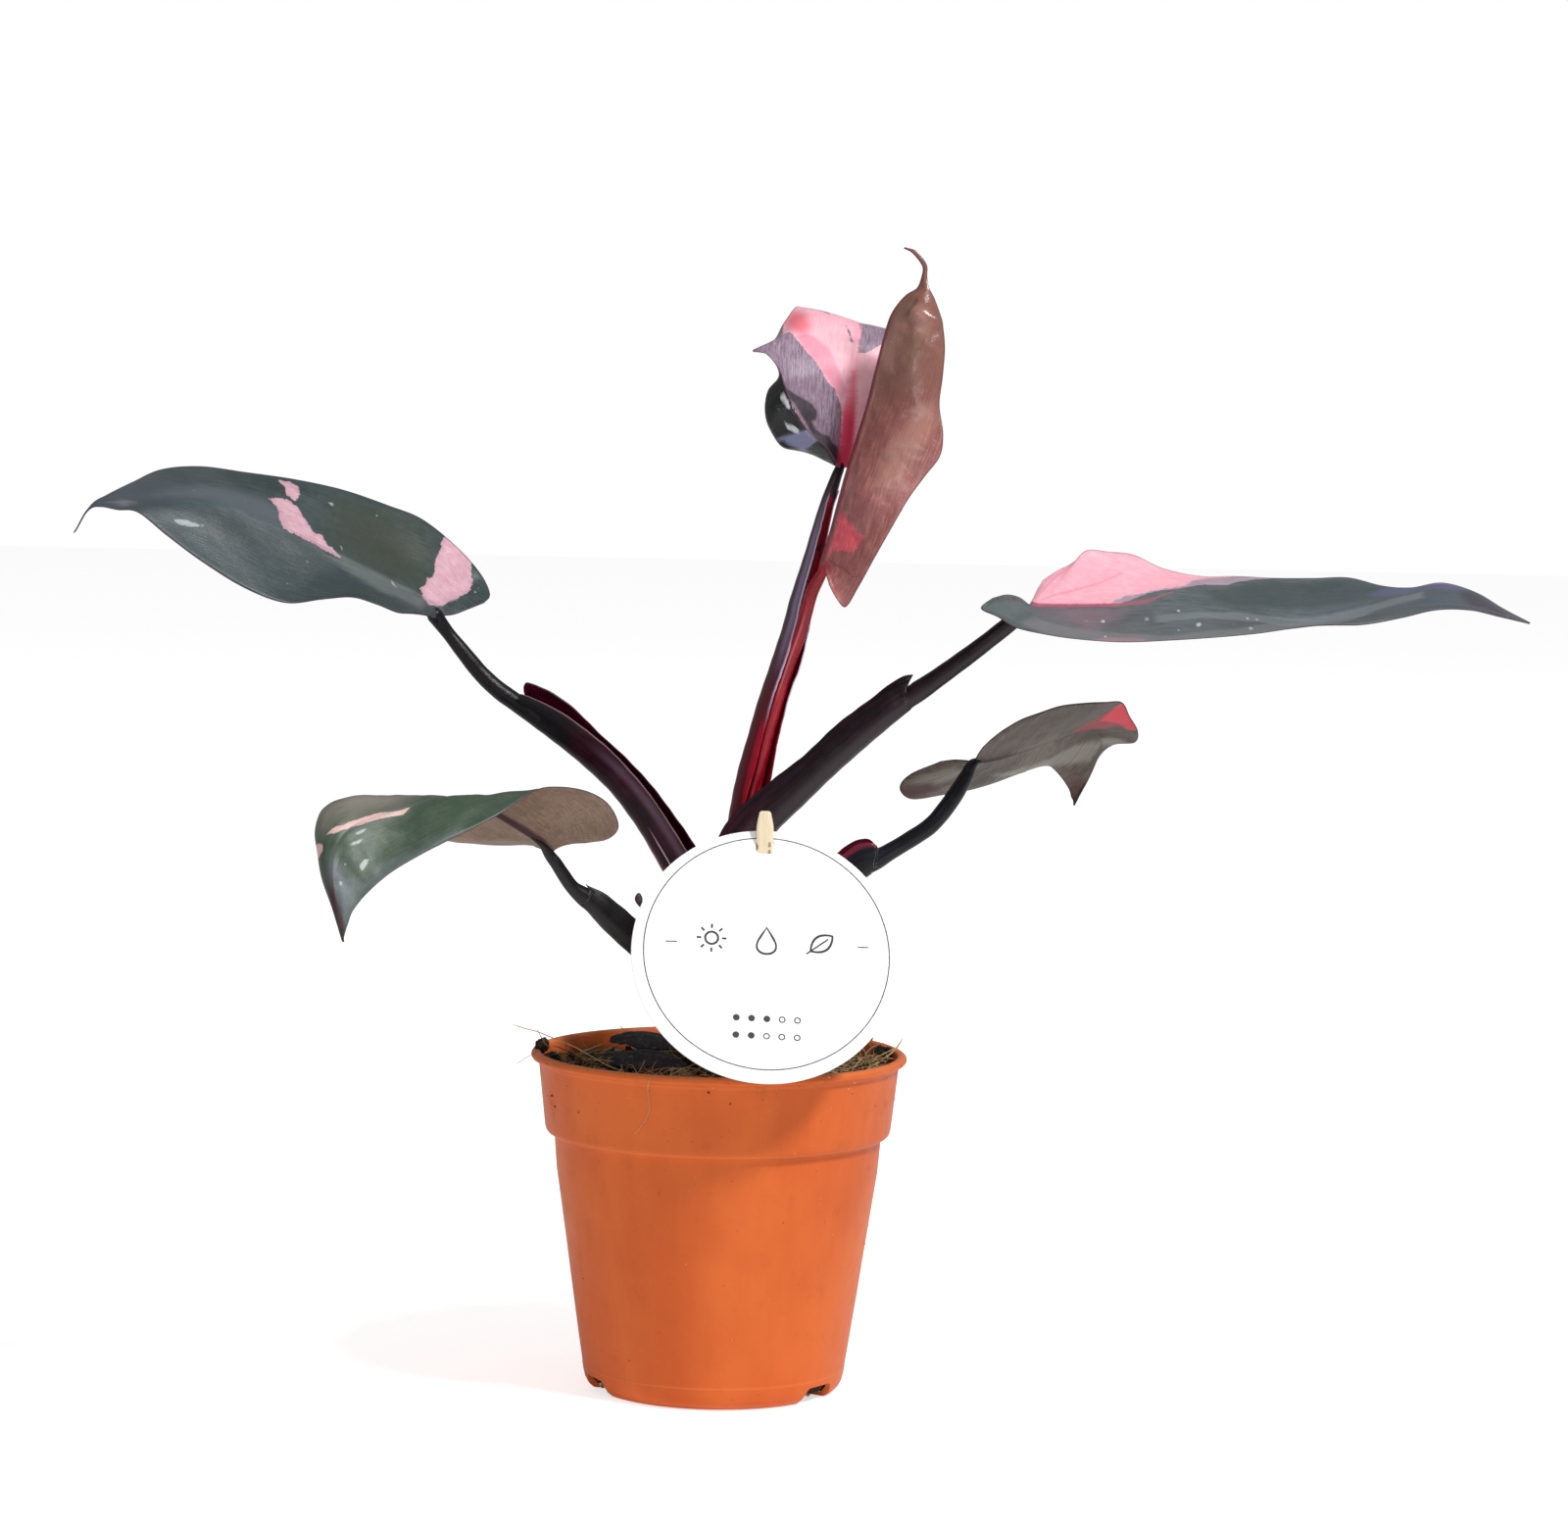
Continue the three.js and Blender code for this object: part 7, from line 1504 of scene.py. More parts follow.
def wall_radius(z):
    return np.interp(z, [w[0] for w in WALL], [w[1] for w in WALL])


def soil_height(x, y):
    base = 101.5 + 1.3 * np.sin(x * 0.16 + 1.1) * np.cos(y * 0.13 - 0.4) + 0.9 * np.sin(x * 0.31 - y * 0.27 + 2) + 0.7 * np.cos(x * 0.12 + y * 0.4)
    p = np.stack([x, y], -1).reshape(-1, 2)
    n = (fractal(p / 6.0, 4, 5) - 0.5) * 5.0 + (fractal(p / 1.6, 3, 9) - 0.5) * 2.0
    r = np.sqrt(x * x + y * y)
    # mounds towards the front of the pot, at the front right and at the front left
    front = np.clip((-y - 10) / 40, 0, 1) * 1.9
    right = np.exp(-((x - 43) ** 2 + (y + 16) ** 2) / 300.0) * 4.2
    left = np.exp(-((x + 46) ** 2 + (y + 12) ** 2) / 170.0) * 3.8
    edge = np.clip((r - 50) / 5.0, 0, 1) * 1.4
    return base + n.reshape(x.shape) + front + right + left - edge


def make_soil(mat):
    nr, na = ((78, 260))
    rmax = 55.35
    rr = rmax * (1 - (np.arange(nr + 1) / nr) ** 1.15)[:-1]
    a = np.linspace(0, 2 * np.pi, na, endpoint=False)
    lev = [1.9, 4, 7, 38, 70, 80.2, 84.6, 96.0]
    verts = []
    for z in lev:
        q = wall_radius(z) - 0.6
        verts.append(np.stack([q * np.cos(a), q * np.sin(a), np.full(na, z)], 1))
    for r in rr:
        x, y = r * np.cos(a), r * np.sin(a)
        verts.append(np.stack([x, y, soil_height(x, y)], 1))
    V = np.concatenate(verts)
    nl = len(lev) + len(rr)
    faces = []
    for i in range(nl - 1):
        for k in range(na):
            faces.append((i * na + k, i * na + (k + 1) % na, (i + 1) * na + (k + 1) % na, (i + 1) * na + k))
    V = [tuple(p) for p in V]
    V.append((0, 0, float(soil_height(np.array([0.0]), np.array([0.0]))[0])))
    V.append((0, 0, 1.9))
    last = (nl - 1) * na
    for k in range(na):
        faces.append((last + k, last + (k + 1) % na, len(V) - 2))
        faces.append(((k + 1) % na, k, len(V) - 1))
    me = raw_mesh("soil_bed", V, faces)
    me.materials.append(mat)
    me.polygons.foreach_set("use_smooth", np.full(len(me.polygons), True))
    ob = bpy.data.objects.new("soil_bed", me)
    scene.collection.objects.link(ob)
    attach(ob, "root")
    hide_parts("soil")
    return ob


def soil_material():
    g = Nodes("potting_mix")
    P = g.pos()
    big = g.noise(P, 0.16, 4, 0.6)
    mid = g.noise(P, 0.9, 4, 0.65)
    vor = g.voronoi(P, 0.8)
    col = g.mix(g.step(mid, 0.3, 0.7), rgb(26, 19, 16), rgb(66, 48, 36))
    col = g.mix(g.m("MULTIPLY", g.step(big, 0.5, 0.75), 0.5), col, rgb(88, 66, 44))
    col = g.mix(g.m("MULTIPLY", g.step(g.noise(P, 2.8, 3, 0.7), 0.58, 0.7), 0.45), col, rgb(120, 96, 66))
    h = g.m("ADD", g.m("MULTIPLY", mid, 1.2), g.m("MULTIPLY", vor, 0.5))
    h = g.m("ADD", h, g.m("MULTIPLY", g.noise(P, 3.5, 3, 0.7), 0.3))
    return g.surface(col, 0.95, g.bump(h, 0.001, 0.9), spec=0.15)


def ball(seed_dirs):
    return seed_dirs


def ico(sub=1):
    bm = bmesh.new()
    bmesh.ops.create_icosphere(bm, subdivisions=sub, radius=1.0)
    v = np.array([q.co[:] for q in bm.verts])
    f = [tuple(w.index for w in q.verts) for q in bm.faces]
    bm.free()
    return v, np.array(f)


def crumbs(name, places, sizes, mat, seed, flat=(0.6, 1.0), sub=1, tint=True):
    """many small irregular lumps joined in one mesh"""
    rng = np.random.default_rng(seed)
    bv, bf = ico(sub)
    V, F, T = [], [], []
    for c, s in zip(places, sizes):
        n = len(V) * len(bv)
        q = rng.normal(size=(3, 3))
        q, _ = np.linalg.qr(q)
        sc = np.array([1.0, rng.uniform(*flat), rng.uniform(*flat)])
        jag = 1 + rng.uniform(-0.22, 0.22, len(bv))
        V.append((bv * jag[:, None] * sc * s) @ q.T + c)
        F.append(bf + n)
        T.append(np.full(len(bv), rng.uniform(0, 1)))
    V, F, T = np.concatenate(V), np.concatenate(F), np.concatenate(T)
    ob = mesh_object(name, V, F, [mat], smooth=False, attrs={"tint": T})
    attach(ob, "root")
    return ob


def tube_points(path, radius, sides=5, taper=True):
    P = np.asarray(path, float)
    T = unit(np.gradient(P, axis=0))
    ref = np.array([0.31, 0.52, 0.79])
    a = unit(np.cross(T, ref))
    b = np.cross(T, a)
    n = len(P)
    r = np.full(n, radius)
    if taper:
        r = radius * np.clip(np.minimum(np.arange(n) + 0.6, n - np.arange(n) - 0.4) / 2.0, 0.35, 1)
    ang = np.linspace(0, 2 * np.pi, sides, endpoint=False)
    V = P[:, None] + r[:, None, None] * (np.cos(ang)[None, :, None] * a[:, None] + np.sin(ang)[None, :, None] * b[:, None])
    i, k = np.meshgrid(np.arange(n - 1), np.arange(sides), indexing="ij")
    F = np.stack([(i * sides + k).ravel(), (i * sides + (k + 1) % sides).ravel(), ((i + 1) * sides + (k + 1) % sides).ravel(), ((i + 1) * sides + k).ravel()], 1)
    faces = [tuple(q) for q in F]
    faces.append(tuple(range(sides))[::-1])
    faces.append(tuple(range((n - 1) * sides, n * sides)))
    return V.reshape(-1, 3), faces


def fibres(name, paths, radii, mat, sides=5, tints=None):
    V, F, T, n = [], [], [], 0
    for k, (p, r) in enumerate(zip(paths, radii)):
        v, f = tube_points(p, r, sides)
        V.append(v)
        F += [tuple(i + n for i in q) for q in f]
        n += len(v)
        T.append(np.full(len(v), tints[k] if tints is not None else 0.5))
    ob = mesh_object(name, np.concatenate(V), F, [mat], smooth=True, attrs={"tint": np.concatenate(T)})
    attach(ob, "root")
    return ob


def grit_material(name, a, b, c, rough=0.9, spec=0.2):
    g = Nodes(name)
    P = g.pos()
    t = g.attr("tint")
    col = g.ramp(t, [(0.0, a), (0.5, b), (1.0, c)])
    n = g.noise(P, 1.7, 3, 0.6)
    col = g.mix(g.m("MULTIPLY", g.step(n, 0.4, 0.7), 0.35), col, b)
    return g.surface(col, g.m("ADD", rough - 0.08, g.m("MULTIPLY", n, 0.15)), g.bump(g.noise(P, 3.0, 3), 0.0004), spec=spec)


# ------------------------------------------------------------------ label and stick
LABEL_N = unit(np.array([0.1, -0.8807, 0.463]))
LABEL_C = np.array([14.4, -55.6, 145.2])
LABEL_X = unit(np.array([1.0, 0, 0]) - LABEL_N * LABEL_N[0])
LABEL_Y = np.cross(LABEL_N, LABEL_X)
LABEL_R = 41.45
LABEL_T = 0.9
STICK_X, STICK_Y, STICK_TOP = 13.4, -39.1, 188.7


def on_label(x, y, h=0.0):
    return LABEL_C + LABEL_X * x + LABEL_Y * y + LABEL_N * (LABEL_T / 2 + h)


def make_label(mat):
    seg = 160
    prof = [(0, -0.45), (8, -0.45), (20, -0.45), (32, -0.45), (LABEL_R - 0.9, -0.45), (LABEL_R - 0.22, -0.43), (LABEL_R - 0.05, -0.3), (LABEL_R, -0.12),
            (LABEL_R, 0.12), (LABEL_R - 0.05, 0.3), (LABEL_R - 0.22, 0.43), (LABEL_R - 0.9, 0.45), (32, 0.45), (20, 0.45), (8, 0.45), (0, 0.45)]
    v, f = lathe(prof, seg)
    v = np.array(v)
    # a very slight backward bow, computed but multiplied by nought, so the card stays flat
    bow = 0.10 * (v[:, 0] / LABEL_R) ** 2
    v = LABEL_C + LABEL_Y * 0.3 + np.outer(v[:, 0], LABEL_X) + np.outer(v[:, 1], LABEL_Y) + np.outer(v[:, 2] - 0 * bow, LABEL_N)
    me = raw_mesh("label_card", v, f)
    ob = bpy.data.objects.new("label_card", me)
    scene.collection.objects.link(ob)
    # punched slot with round ends, in the card's plane
    w, lo, hi, r = 2.95, 34.0, 38.7, 1.5
    cx = -0.8
    o = []
    for c0, c1, a0 in ((w - r, hi - r, 0), (-w + r, hi - r, 90), (-w + r, lo + r, 180), (w - r, lo + r, 270)):
        for k in range(7):
            t = math.radians(a0 + 15 * k)
            o.append(LABEL_C + LABEL_X * (cx + c0 + r * math.cos(t)) + LABEL_Y * (c1 + r * math.sin(t)) - LABEL_N * 3)
    tv, tf = extruded(o, LABEL_N * 6)
    cut(ob, [bpy.data.objects.new("tool", raw_mesh("tool", tv, tf))])
    me = ob.data
    me.materials.clear()
    me.materials.append(mat)
    me.polygons.foreach_set("material_index", np.zeros(len(me.polygons), np.int32))
    me.polygons.foreach_set("use_smooth", np.full(len(me.polygons), True))
    mark_sharp(me, 30)
    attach(ob, "root")
    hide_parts("label_disc")
    return ob


def ring_outline(cx, cy, r, n=24, a0=0.0):
    return [(cx + r * math.cos(a0 + 2 * math.pi * k / n), cy + r * math.sin(a0 + 2 * math.pi * k / n)) for k in range(n)]


def make_print(mat):
    """thin printed marks that stand 0.03 mm off the card: a ring, two dashes and plain care symbols"""
    V, F = [], []

    def solid(outer, inner=None, h=0.035):
        n = len(outer)
        base = len(V)
        if inner is None:
            V.extend([on_label(x, y, -0.02) for x, y in outer] + [on_label(x, y, h) for x, y in outer])
            F.append([base + k for k in range(n)][::-1])
            F.append([base + n + k for k in range(n)])
            for k in range(n):
                F.append([base + k, base + (k + 1) % n, base + n + (k + 1) % n, base + n + k])
        else:
            V.extend([on_label(x, y, -0.02) for x, y in outer] + [on_label(x, y, h) for x, y in outer])
            V.extend([on_label(x, y, -0.02) for x, y in inner] + [on_label(x, y, h) for x, y in inner])
            for k in range(n):
                a, b = k, (k + 1) % n
                F.append([base + a, base + b, base + n + b, base + n + a])
                F.append([base + 2 * n + b, base + 2 * n + a, base + 3 * n + a, base + 3 * n + b])
                F.append([base + n + a, base + n + b, base + 3 * n + b, base + 3 * n + a])
                F.append([base + b, base + a, base + 2 * n + a, base + 2 * n + b])

    def bar(x0, y0, x1, y1, w):
        d = unit(np.array([x1 - x0, y1 - y0], float))
        p = np.array([-d[1], d[0]]) * w / 2
        a, b = np.array([x0, y0]), np.array([x1, y1])
        solid([tuple(a - p), tuple(b - p), tuple(b + p), tuple(a + p)])

    # thin ring round the card
    cx, cy, R = 0.30, 1.20, 37.96
    solid(ring_outline(cx, cy, R + 0.17, 160), ring_outline(cx, cy, R - 0.17, 160))
    # dashes left and right
    bar(-31.0, 3.25, -27.4, 3.4, 0.36)
    bar(28.4, 4.7, 31.8, 4.8, 0.36)
    # three care symbols: sun, drop, leaf
    y = 5.2
    sx = -16.8
    solid(ring_outline(sx, y, 2.35, 28), ring_outline(sx, y, 1.65, 28))
    for k in range(8):
        a = math.pi / 4 * k
        bar(sx + 3.2 * math.cos(a), y + 3.2 * math.sin(a), sx + 4.6 * math.cos(a), y + 4.6 * math.sin(a), 0.62)

    def drop(cx, cy, s, grow=0.0):
        o = []
        for k in range(30):
            t = 2 * math.pi * k / 30
            # teardrop, point up
            r = 1 - 0.0 * math.cos(t)
            x = s * math.sin(t) * math.sin(t / 2) ** 1.35 * 0.98
            yy = s * math.cos(t)
            o.append((x, yy))
        o = np.array(o)
        c = o.mean(0)
        if grow:
            d = unit(o - c)
            o = o + d * grow
        return [(cx + q[0], cy + q[1]) for q in o]

    solid(drop(0.15, y, 4.7), drop(0.15, y, 4.7, -0.72))
    # leaf
    lx = 17.2
    lo_, hi_ = [], []
    for k in range(15):
        t = k / 14
        s = -4.6 + 9.2 * t
        h = 2.9 * math.sin(math.pi * t) ** 0.8 if 0 < t < 1 else 0
        lo_.append((s, -h))
        hi_.append((s, h))
    o = lo_ + hi_[::-1][1:-1]
    o = np.array(o)
    ca, sa = math.cos(math.radians(38)), math.sin(math.radians(38))
    rot = np.array([[ca, -sa], [sa, ca]])
    inner = o * np.array([0.83, 0.72])
    O = (o @ rot.T) + (lx, y)
    N = (inner @ rot.T) + (lx, y)
    solid([tuple(q) for q in O], [tuple(q) for q in N])
    a = rot @ np.array([-5.9, 0]) + (lx, y)
    b = rot @ np.array([2.6, 0]) + (lx, y)
    bar(a[0], a[1], b[0], b[1], 0.5)
    # small scales below: two rows of dots and rings
    for row, (yy, filled) in enumerate(((-20.3, 3), (-25.9, 2))):
        for k in range(5):
            px = 0.75 + 4.7 * (k - 2)
            if k < filled:
                solid(ring_outline(px, yy, 1.05, 20))
            else:
                solid(ring_outline(px, yy, 1.05, 20), ring_outline(px, yy, 0.68, 20))
    me = raw_mesh("label_print", V, F)
    me.materials.append(mat)
    ob = bpy.data.objects.new("label_print", me)
    scene.collection.objects.link(ob)
    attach(ob, "root")
    return ob


def card_material():
    g = Nodes("label_card")
    P = g.pos()
    n = g.noise(P, 2.4, 4, 0.65)
    b = g.noise(P, 0.05, 3, 0.5)
    col = g.mix(g.step(n, 0.35, 0.7), rgb(246, 246, 246), rgb(255, 255, 255))
    col = g.mix(g.m("MULTIPLY", g.step(b, 0.5, 0.75), 0.25), col, rgb(246, 245, 243))
    fl = g.voronoi(P, 0.35)
    col = g.mix(g.m("MULTIPLY", g.step(fl, 0.05, 0.03), 0.25), col, rgb(222, 216, 206))
    h = g.m("ADD", g.m("MULTIPLY", n, 0.02), g.m("MULTIPLY", g.noise(P, 6.0, 2), 0.01))
    return g.surface(col, g.m("ADD", 0.62, g.m("MULTIPLY", n, 0.1)), g.bump(h, 0.001), spec=0.3)


def ink_material():
    g = Nodes("label_ink")
    P = g.pos()
    n = g.noise(P, 3.0, 3, 0.6)
    col = g.mix(g.step(n, 0.3, 0.7), rgb(52, 54, 58), rgb(78, 80, 84))
    return g.surface(col, 0.6, g.bump(n, 0.00003), spec=0.2)


def make_stick(mat):
    """flat wooden stick with a shouldered top and worn corners, in slices along its length"""
    top = STICK_TOP
    zs = [52.0, 52.6, 53.4] + list(np.linspace(55, 170, 24)) + list(np.linspace(171.5, 181.5, 20)) + [182.4, 183.2, 183.9] + \
        [top + d for d in (-4.4, -3.9, -3.4, -2.9, -2.4, -1.9, -1.4, -1.0, -0.65, -0.38, -0.18, -0.06, 0.0)]
    ring = []
    for a in range(32):
        t = 2 * math.pi * a / 32 + math.pi / 32
        c, s = math.cos(t), math.sin(t)
        e = 0.42
        ring.append((math.copysign(abs(c) ** e, c), math.copysign(abs(s) ** (e + 0.1), s)))
    ring = np.array(ring)
    V, F = [], []
    for z in zs:
        d = top - z
        w, t, sh = 2.66, 0.88, 0.0
        if d < 5.2:
            # shoulders run in to a short flat top
            k = 1 - d / 5.2
            w = 2.66 - 0.98 * k ** 1.25 - 0.42 * max(0, (k - 0.88) / 0.12) ** 2
            t = 0.88 - 0.30 * max(0, (k - 0.8) / 0.2) ** 2
            sh = -0.08 * k
        if z < 55:
            w *= 0.55 + 0.45 * (z - 52) / 3
        w *= 1 + 0.012 * math.sin(z * 0.31) + 0.008 * math.sin(z * 0.83 + 1)
        # rubbed hollows where the card hangs
        rub = math.exp(-((z - 176.8) / 1.5) ** 2) * 0.16
        for x, y in ring:
            V.append((STICK_X + sh + x * (w - rub) + 0.05 * math.sin(z * 0.11), STICK_Y + y * t, z))
    m, n = len(ring), len(zs)
    for i in range(n - 1):
        for k in range(m):
            F.append((i * m + k, i * m + (k + 1) % m, (i + 1) * m + (k + 1) % m, (i + 1) * m + k))
    V.append((STICK_X, STICK_Y, zs[0] - 0.05))
    V.append((STICK_X - 0.08, STICK_Y, zs[-1] + 0.05))
    for k in range(m):
        F.append((k, (k + 1) % m, n * m))
        F.append(((n - 1) * m + k, (n - 1) * m + (k + 1) % m, n * m + 1))
    me = raw_mesh("label_stake", V, F)
    me.materials.append(mat)
    me.polygons.foreach_set("use_smooth", np.full(len(me.polygons), True))
    mark_sharp(me, 50)
    ob = bpy.data.objects.new("label_stake", me)
    scene.collection.objects.link(ob)
    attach(ob, "root")
    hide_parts("label_stick")
    return ob


def wood_material():
    g = Nodes("label_wood")
    P = g.pos()
    x, y, z = g.split(P)
    q = g.join(g.m("MULTIPLY", x, 1.7), g.m("MULTIPLY", y, 1.7), g.m("MULTIPLY", z, 0.055))
    grain = g.noise(q, 1.6, 5, 0.62, 0.6)
    pores = g.noise(g.join(g.m("MULTIPLY", x, 6.0), g.m("MULTIPLY", y, 6.0), g.m("MULTIPLY", z, 0.35)), 1.0, 3, 0.6)
    col = g.ramp(grain, [(0.25, rgb(210, 184, 142)), (0.5, rgb(231, 215, 184)), (0.75, rgb(240, 228, 204))])
    col = g.mix(g.m("MULTIPLY", g.step(pores, 0.6, 0.72), 0.45), col, rgb(190, 156, 112))
    # painted shade: dark spots at the corners of the card's slot
    for sx, sz in ((11.0, 177.6), (14.9, 178.3), (14.9, 176.0)):
        dx, dz = g.m("SUBTRACT", x, sx), g.m("MULTIPLY", g.m("SUBTRACT", z, sz), 0.55)
        d = g.m("SQRT", g.m("ADD", g.m("MULTIPLY", dx, dx), g.m("MULTIPLY", dz, dz)))
        d = g.m("ADD", d, g.m("MULTIPLY", g.m("SUBTRACT", g.noise(P, 1.2, 3), 0.5), 0.9))
        col = g.mix(g.m("MULTIPLY", g.step(d, 0.7, 0.25), 0.75), col, rgb(118, 84, 58))
    # damp, darker foot
    col = g.mix(g.step(g.m("ADD", z, g.m("MULTIPLY", grain, 8.0)), 118.0, 104.0), col, rgb(120, 92, 62))
    h = g.m("ADD", g.m("MULTIPLY", grain, 0.12), g.m("MULTIPLY", pores, -0.05))
    return g.surface(col, g.m("ADD", 0.6, g.m("MULTIPLY", grain, 0.15)), g.bump(h, 0.001), spec=0.25)


# ------------------------------------------------------------------ dry pieces
SHEATH = ([[-36, 36, 104.9], [-30, 34, 105.7], [-24, 30, 105.6], [-18, 25, 105.4], [-13, 19, 104.9]], [1.2, 3.4, 3.8, 3.0, 1.0])


def make_dry_sheath(mat, name="dry_sheath_leaf", shape=SHEATH, tilt=0.5, lift=1.0, node="dry_sheath"):
    """a curled dry scrap: centre line and half widths, the far edge raised by tilt"""
    path = np.array(shape[0], float)
    width = np.array(shape[1], float)
    M, K = 64, 28
    u = np.linspace(0, len(path) - 1, M + 1)
    C = catmull(path, u)
    W = catmull(width[:, None], u)[:, 0]
    T = unit(catmull(path, u + 0.05) - catmull(path, u - 0.05))
    side = unit(np.cross(T, [0, 0, 1.0]))
    s = np.linspace(-1, 1, K + 1)
    S = C[:, None] + side[:, None] * (s[None, :, None] * W[:, None, None])
    S[..., 2] += 1.3 * (1 - s[None] ** 2) * (W[:, None] / 3.8) - tilt * s[None] * W[:, None] + lift
    q = S.reshape(-1, 3)
    crease = (fractal(np.stack([np.repeat(u, K + 1) * 0.9, np.tile(s, M + 1) * 4.5], 1), 3, 4) - 0.5)
    S[..., 2] += crease.reshape(M + 1, K + 1) * 1.1
    ragged = (fractal(np.stack([np.repeat(u, K + 1) * 5, np.tile(np.sign(s), M + 1) * 3], 1), 3, 8) - 0.5).reshape(M + 1, K + 1)
    S += side[:, None] * (ragged * np.abs(s[None]) ** 6 * 1.0)[..., None]
    a, b = np.gradient(S, axis=0), np.gradient(S, axis=1)
    N = unit(np.cross(b, a))
    N *= np.sign(N[..., 2:3])
    top, bot = (S + N * 0.22).reshape(-1, 3), (S - N * 0.22).reshape(-1, 3)
    n, c = len(top), K + 1
    i, j = np.meshgrid(np.arange(M), np.arange(K), indexing="ij")
    A, B, Cc, D = (i * c + j).ravel(), (i * c + j + 1).ravel(), ((i + 1) * c + j + 1).ravel(), ((i + 1) * c + j).ravel()
    rim = [k for k in range(c)] + [r * c + K for r in range(1, M + 1)] + [M * c + k for k in range(K - 1, -1, -1)] + [r * c for r in range(M - 1, 0, -1)]
    rim = np.array(rim)
    nx = np.roll(rim, -1)
    F = np.concatenate([np.stack([A, B, Cc, D], 1), np.stack([A, D, Cc, B], 1) + n, np.stack([rim, rim + n, nx + n, nx], 1)])
    me = raw_mesh(name, np.concatenate([top, bot]), F)
    me.materials.append(mat)
    me.polygons.foreach_set("use_smooth", np.full(len(me.polygons), True))
    ob = bpy.data.objects.new(name, me)
    scene.collection.objects.link(ob)
    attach(ob, "root")
    if node:
        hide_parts(node)
    return ob


def dry_material(name, a, b, c, rough=0.55, spec=0.3):
    g = Nodes(name)
    P = g.pos()
    x, y, z = g.split(P)
    n = g.noise(g.join(g.m("MULTIPLY", g.m("ADD", x, g.m("MULTIPLY", y, 0.6)), 0.25), g.m("MULTIPLY", g.m("SUBTRACT", y, g.m("MULTIPLY", x, 0.6)), 1.6), g.m("MULTIPLY", z, 0.6)), 1.2, 4, 0.6)
    m2 = g.noise(P, 0.7, 3, 0.6)
    col = g.mix(g.step(n, 0.3, 0.7), a, b)
    col = g.mix(g.m("MULTIPLY", g.step(m2, 0.55, 0.75), 0.6), col, c)
    return g.surface(col, g.m("ADD", rough, g.m("MULTIPLY", m2, 0.15)), g.bump(g.m("ADD", n, g.m("MULTIPLY", m2, 0.5)), 0.0004), spec=spec)


# ------------------------------------------------------------------ main stem, with its leaf scars
def make_main_stem(mat):
    st = np.asarray(STALKS["main_stem"]["st"], float)
    steps = 14
    ts = np.linspace(0, len(st) - 1, (len(st) - 1) * steps + 1)
    Q = catmull(st, ts)
    seg = 40
    V, F = [], []
    scars = [100.0, 112.0, 125.0, 138.0, 151.0]
    for i, q in enumerate(Q):
        for k in range(seg):
            a = 2 * math.pi * k / seg
            r = q[3]
            for j, zc in enumerate(scars):
                zc2 = zc + 1.6 * math.sin(a + j * 2.2)
                r += 0.32 * math.exp(-((q[2] - zc2) / 0.7) ** 2) - 0.22 * math.exp(-((q[2] - zc2 - 1.6) / 0.8) ** 2)
            nz = value_noise(np.array([[math.cos(a) * 2.5 + 7, math.sin(a) * 2.5 + 7, q[2] * 0.18]]), 3)[0]
            r += (nz - 0.5) * 0.5
            V.append((q[0] + r * math.cos(a), q[1] + r * math.sin(a), q[2]))
    n = len(Q)
    for i in range(n - 1):
        for k in range(seg):
            F.append((i * seg + k, i * seg + (k + 1) % seg, (i + 1) * seg + (k + 1) % seg, (i + 1) * seg + k))
    V.append(tuple(Q[0][:3] - (0, 0, 0.3)))
    V.append(tuple(Q[-1][:3] + (0, 0, 1.2)))
    for k in range(seg):
        F.append((k, (k + 1) % seg, n * seg))
        F.append(((n - 1) * seg + k, (n - 1) * seg + (k + 1) % seg, n * seg + 1))
    me = raw_mesh("stem", V, F)
    me.materials.append(mat)
    me.polygons.foreach_set("use_smooth", np.full(len(me.polygons), True))
    ob = bpy.data.objects.new("stem", me)
    scene.collection.objects.link(ob)
    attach(ob, "root")
    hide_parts("main_stem")
    return ob


def bark_material():
    g = Nodes("stem_bark")
    P = g.pos()
    x, y, z = g.split(P)
    n = g.noise(g.join(g.m("MULTIPLY", x, 0.9), g.m("MULTIPLY", y, 0.9), g.m("MULTIPLY", z, 0.16)), 1.0, 5, 0.65)
    m2 = g.noise(P, 0.5, 4, 0.6)
    col = g.ramp(n, [(0.25, rgb(46, 36, 30)), (0.5, rgb(84, 68, 52)), (0.78, rgb(122, 102, 78))])
    col = g.mix(g.m("MULTIPLY", g.step(m2, 0.52, 0.7), 0.5), col, rgb(70, 74, 46))
    ringz = g.m("PINGPONG", g.m("SUBTRACT", z, 100.0), 6.5)
    col = g.mix(g.m("MULTIPLY", g.step(ringz, 0.9, 0.2), 0.5), col, rgb(40, 28, 24))
    return g.surface(col, 0.75, g.bump(g.m("ADD", g.m("MULTIPLY", n, 0.5), g.m("MULTIPLY", m2, 0.2)), 0.001), spec=0.2)


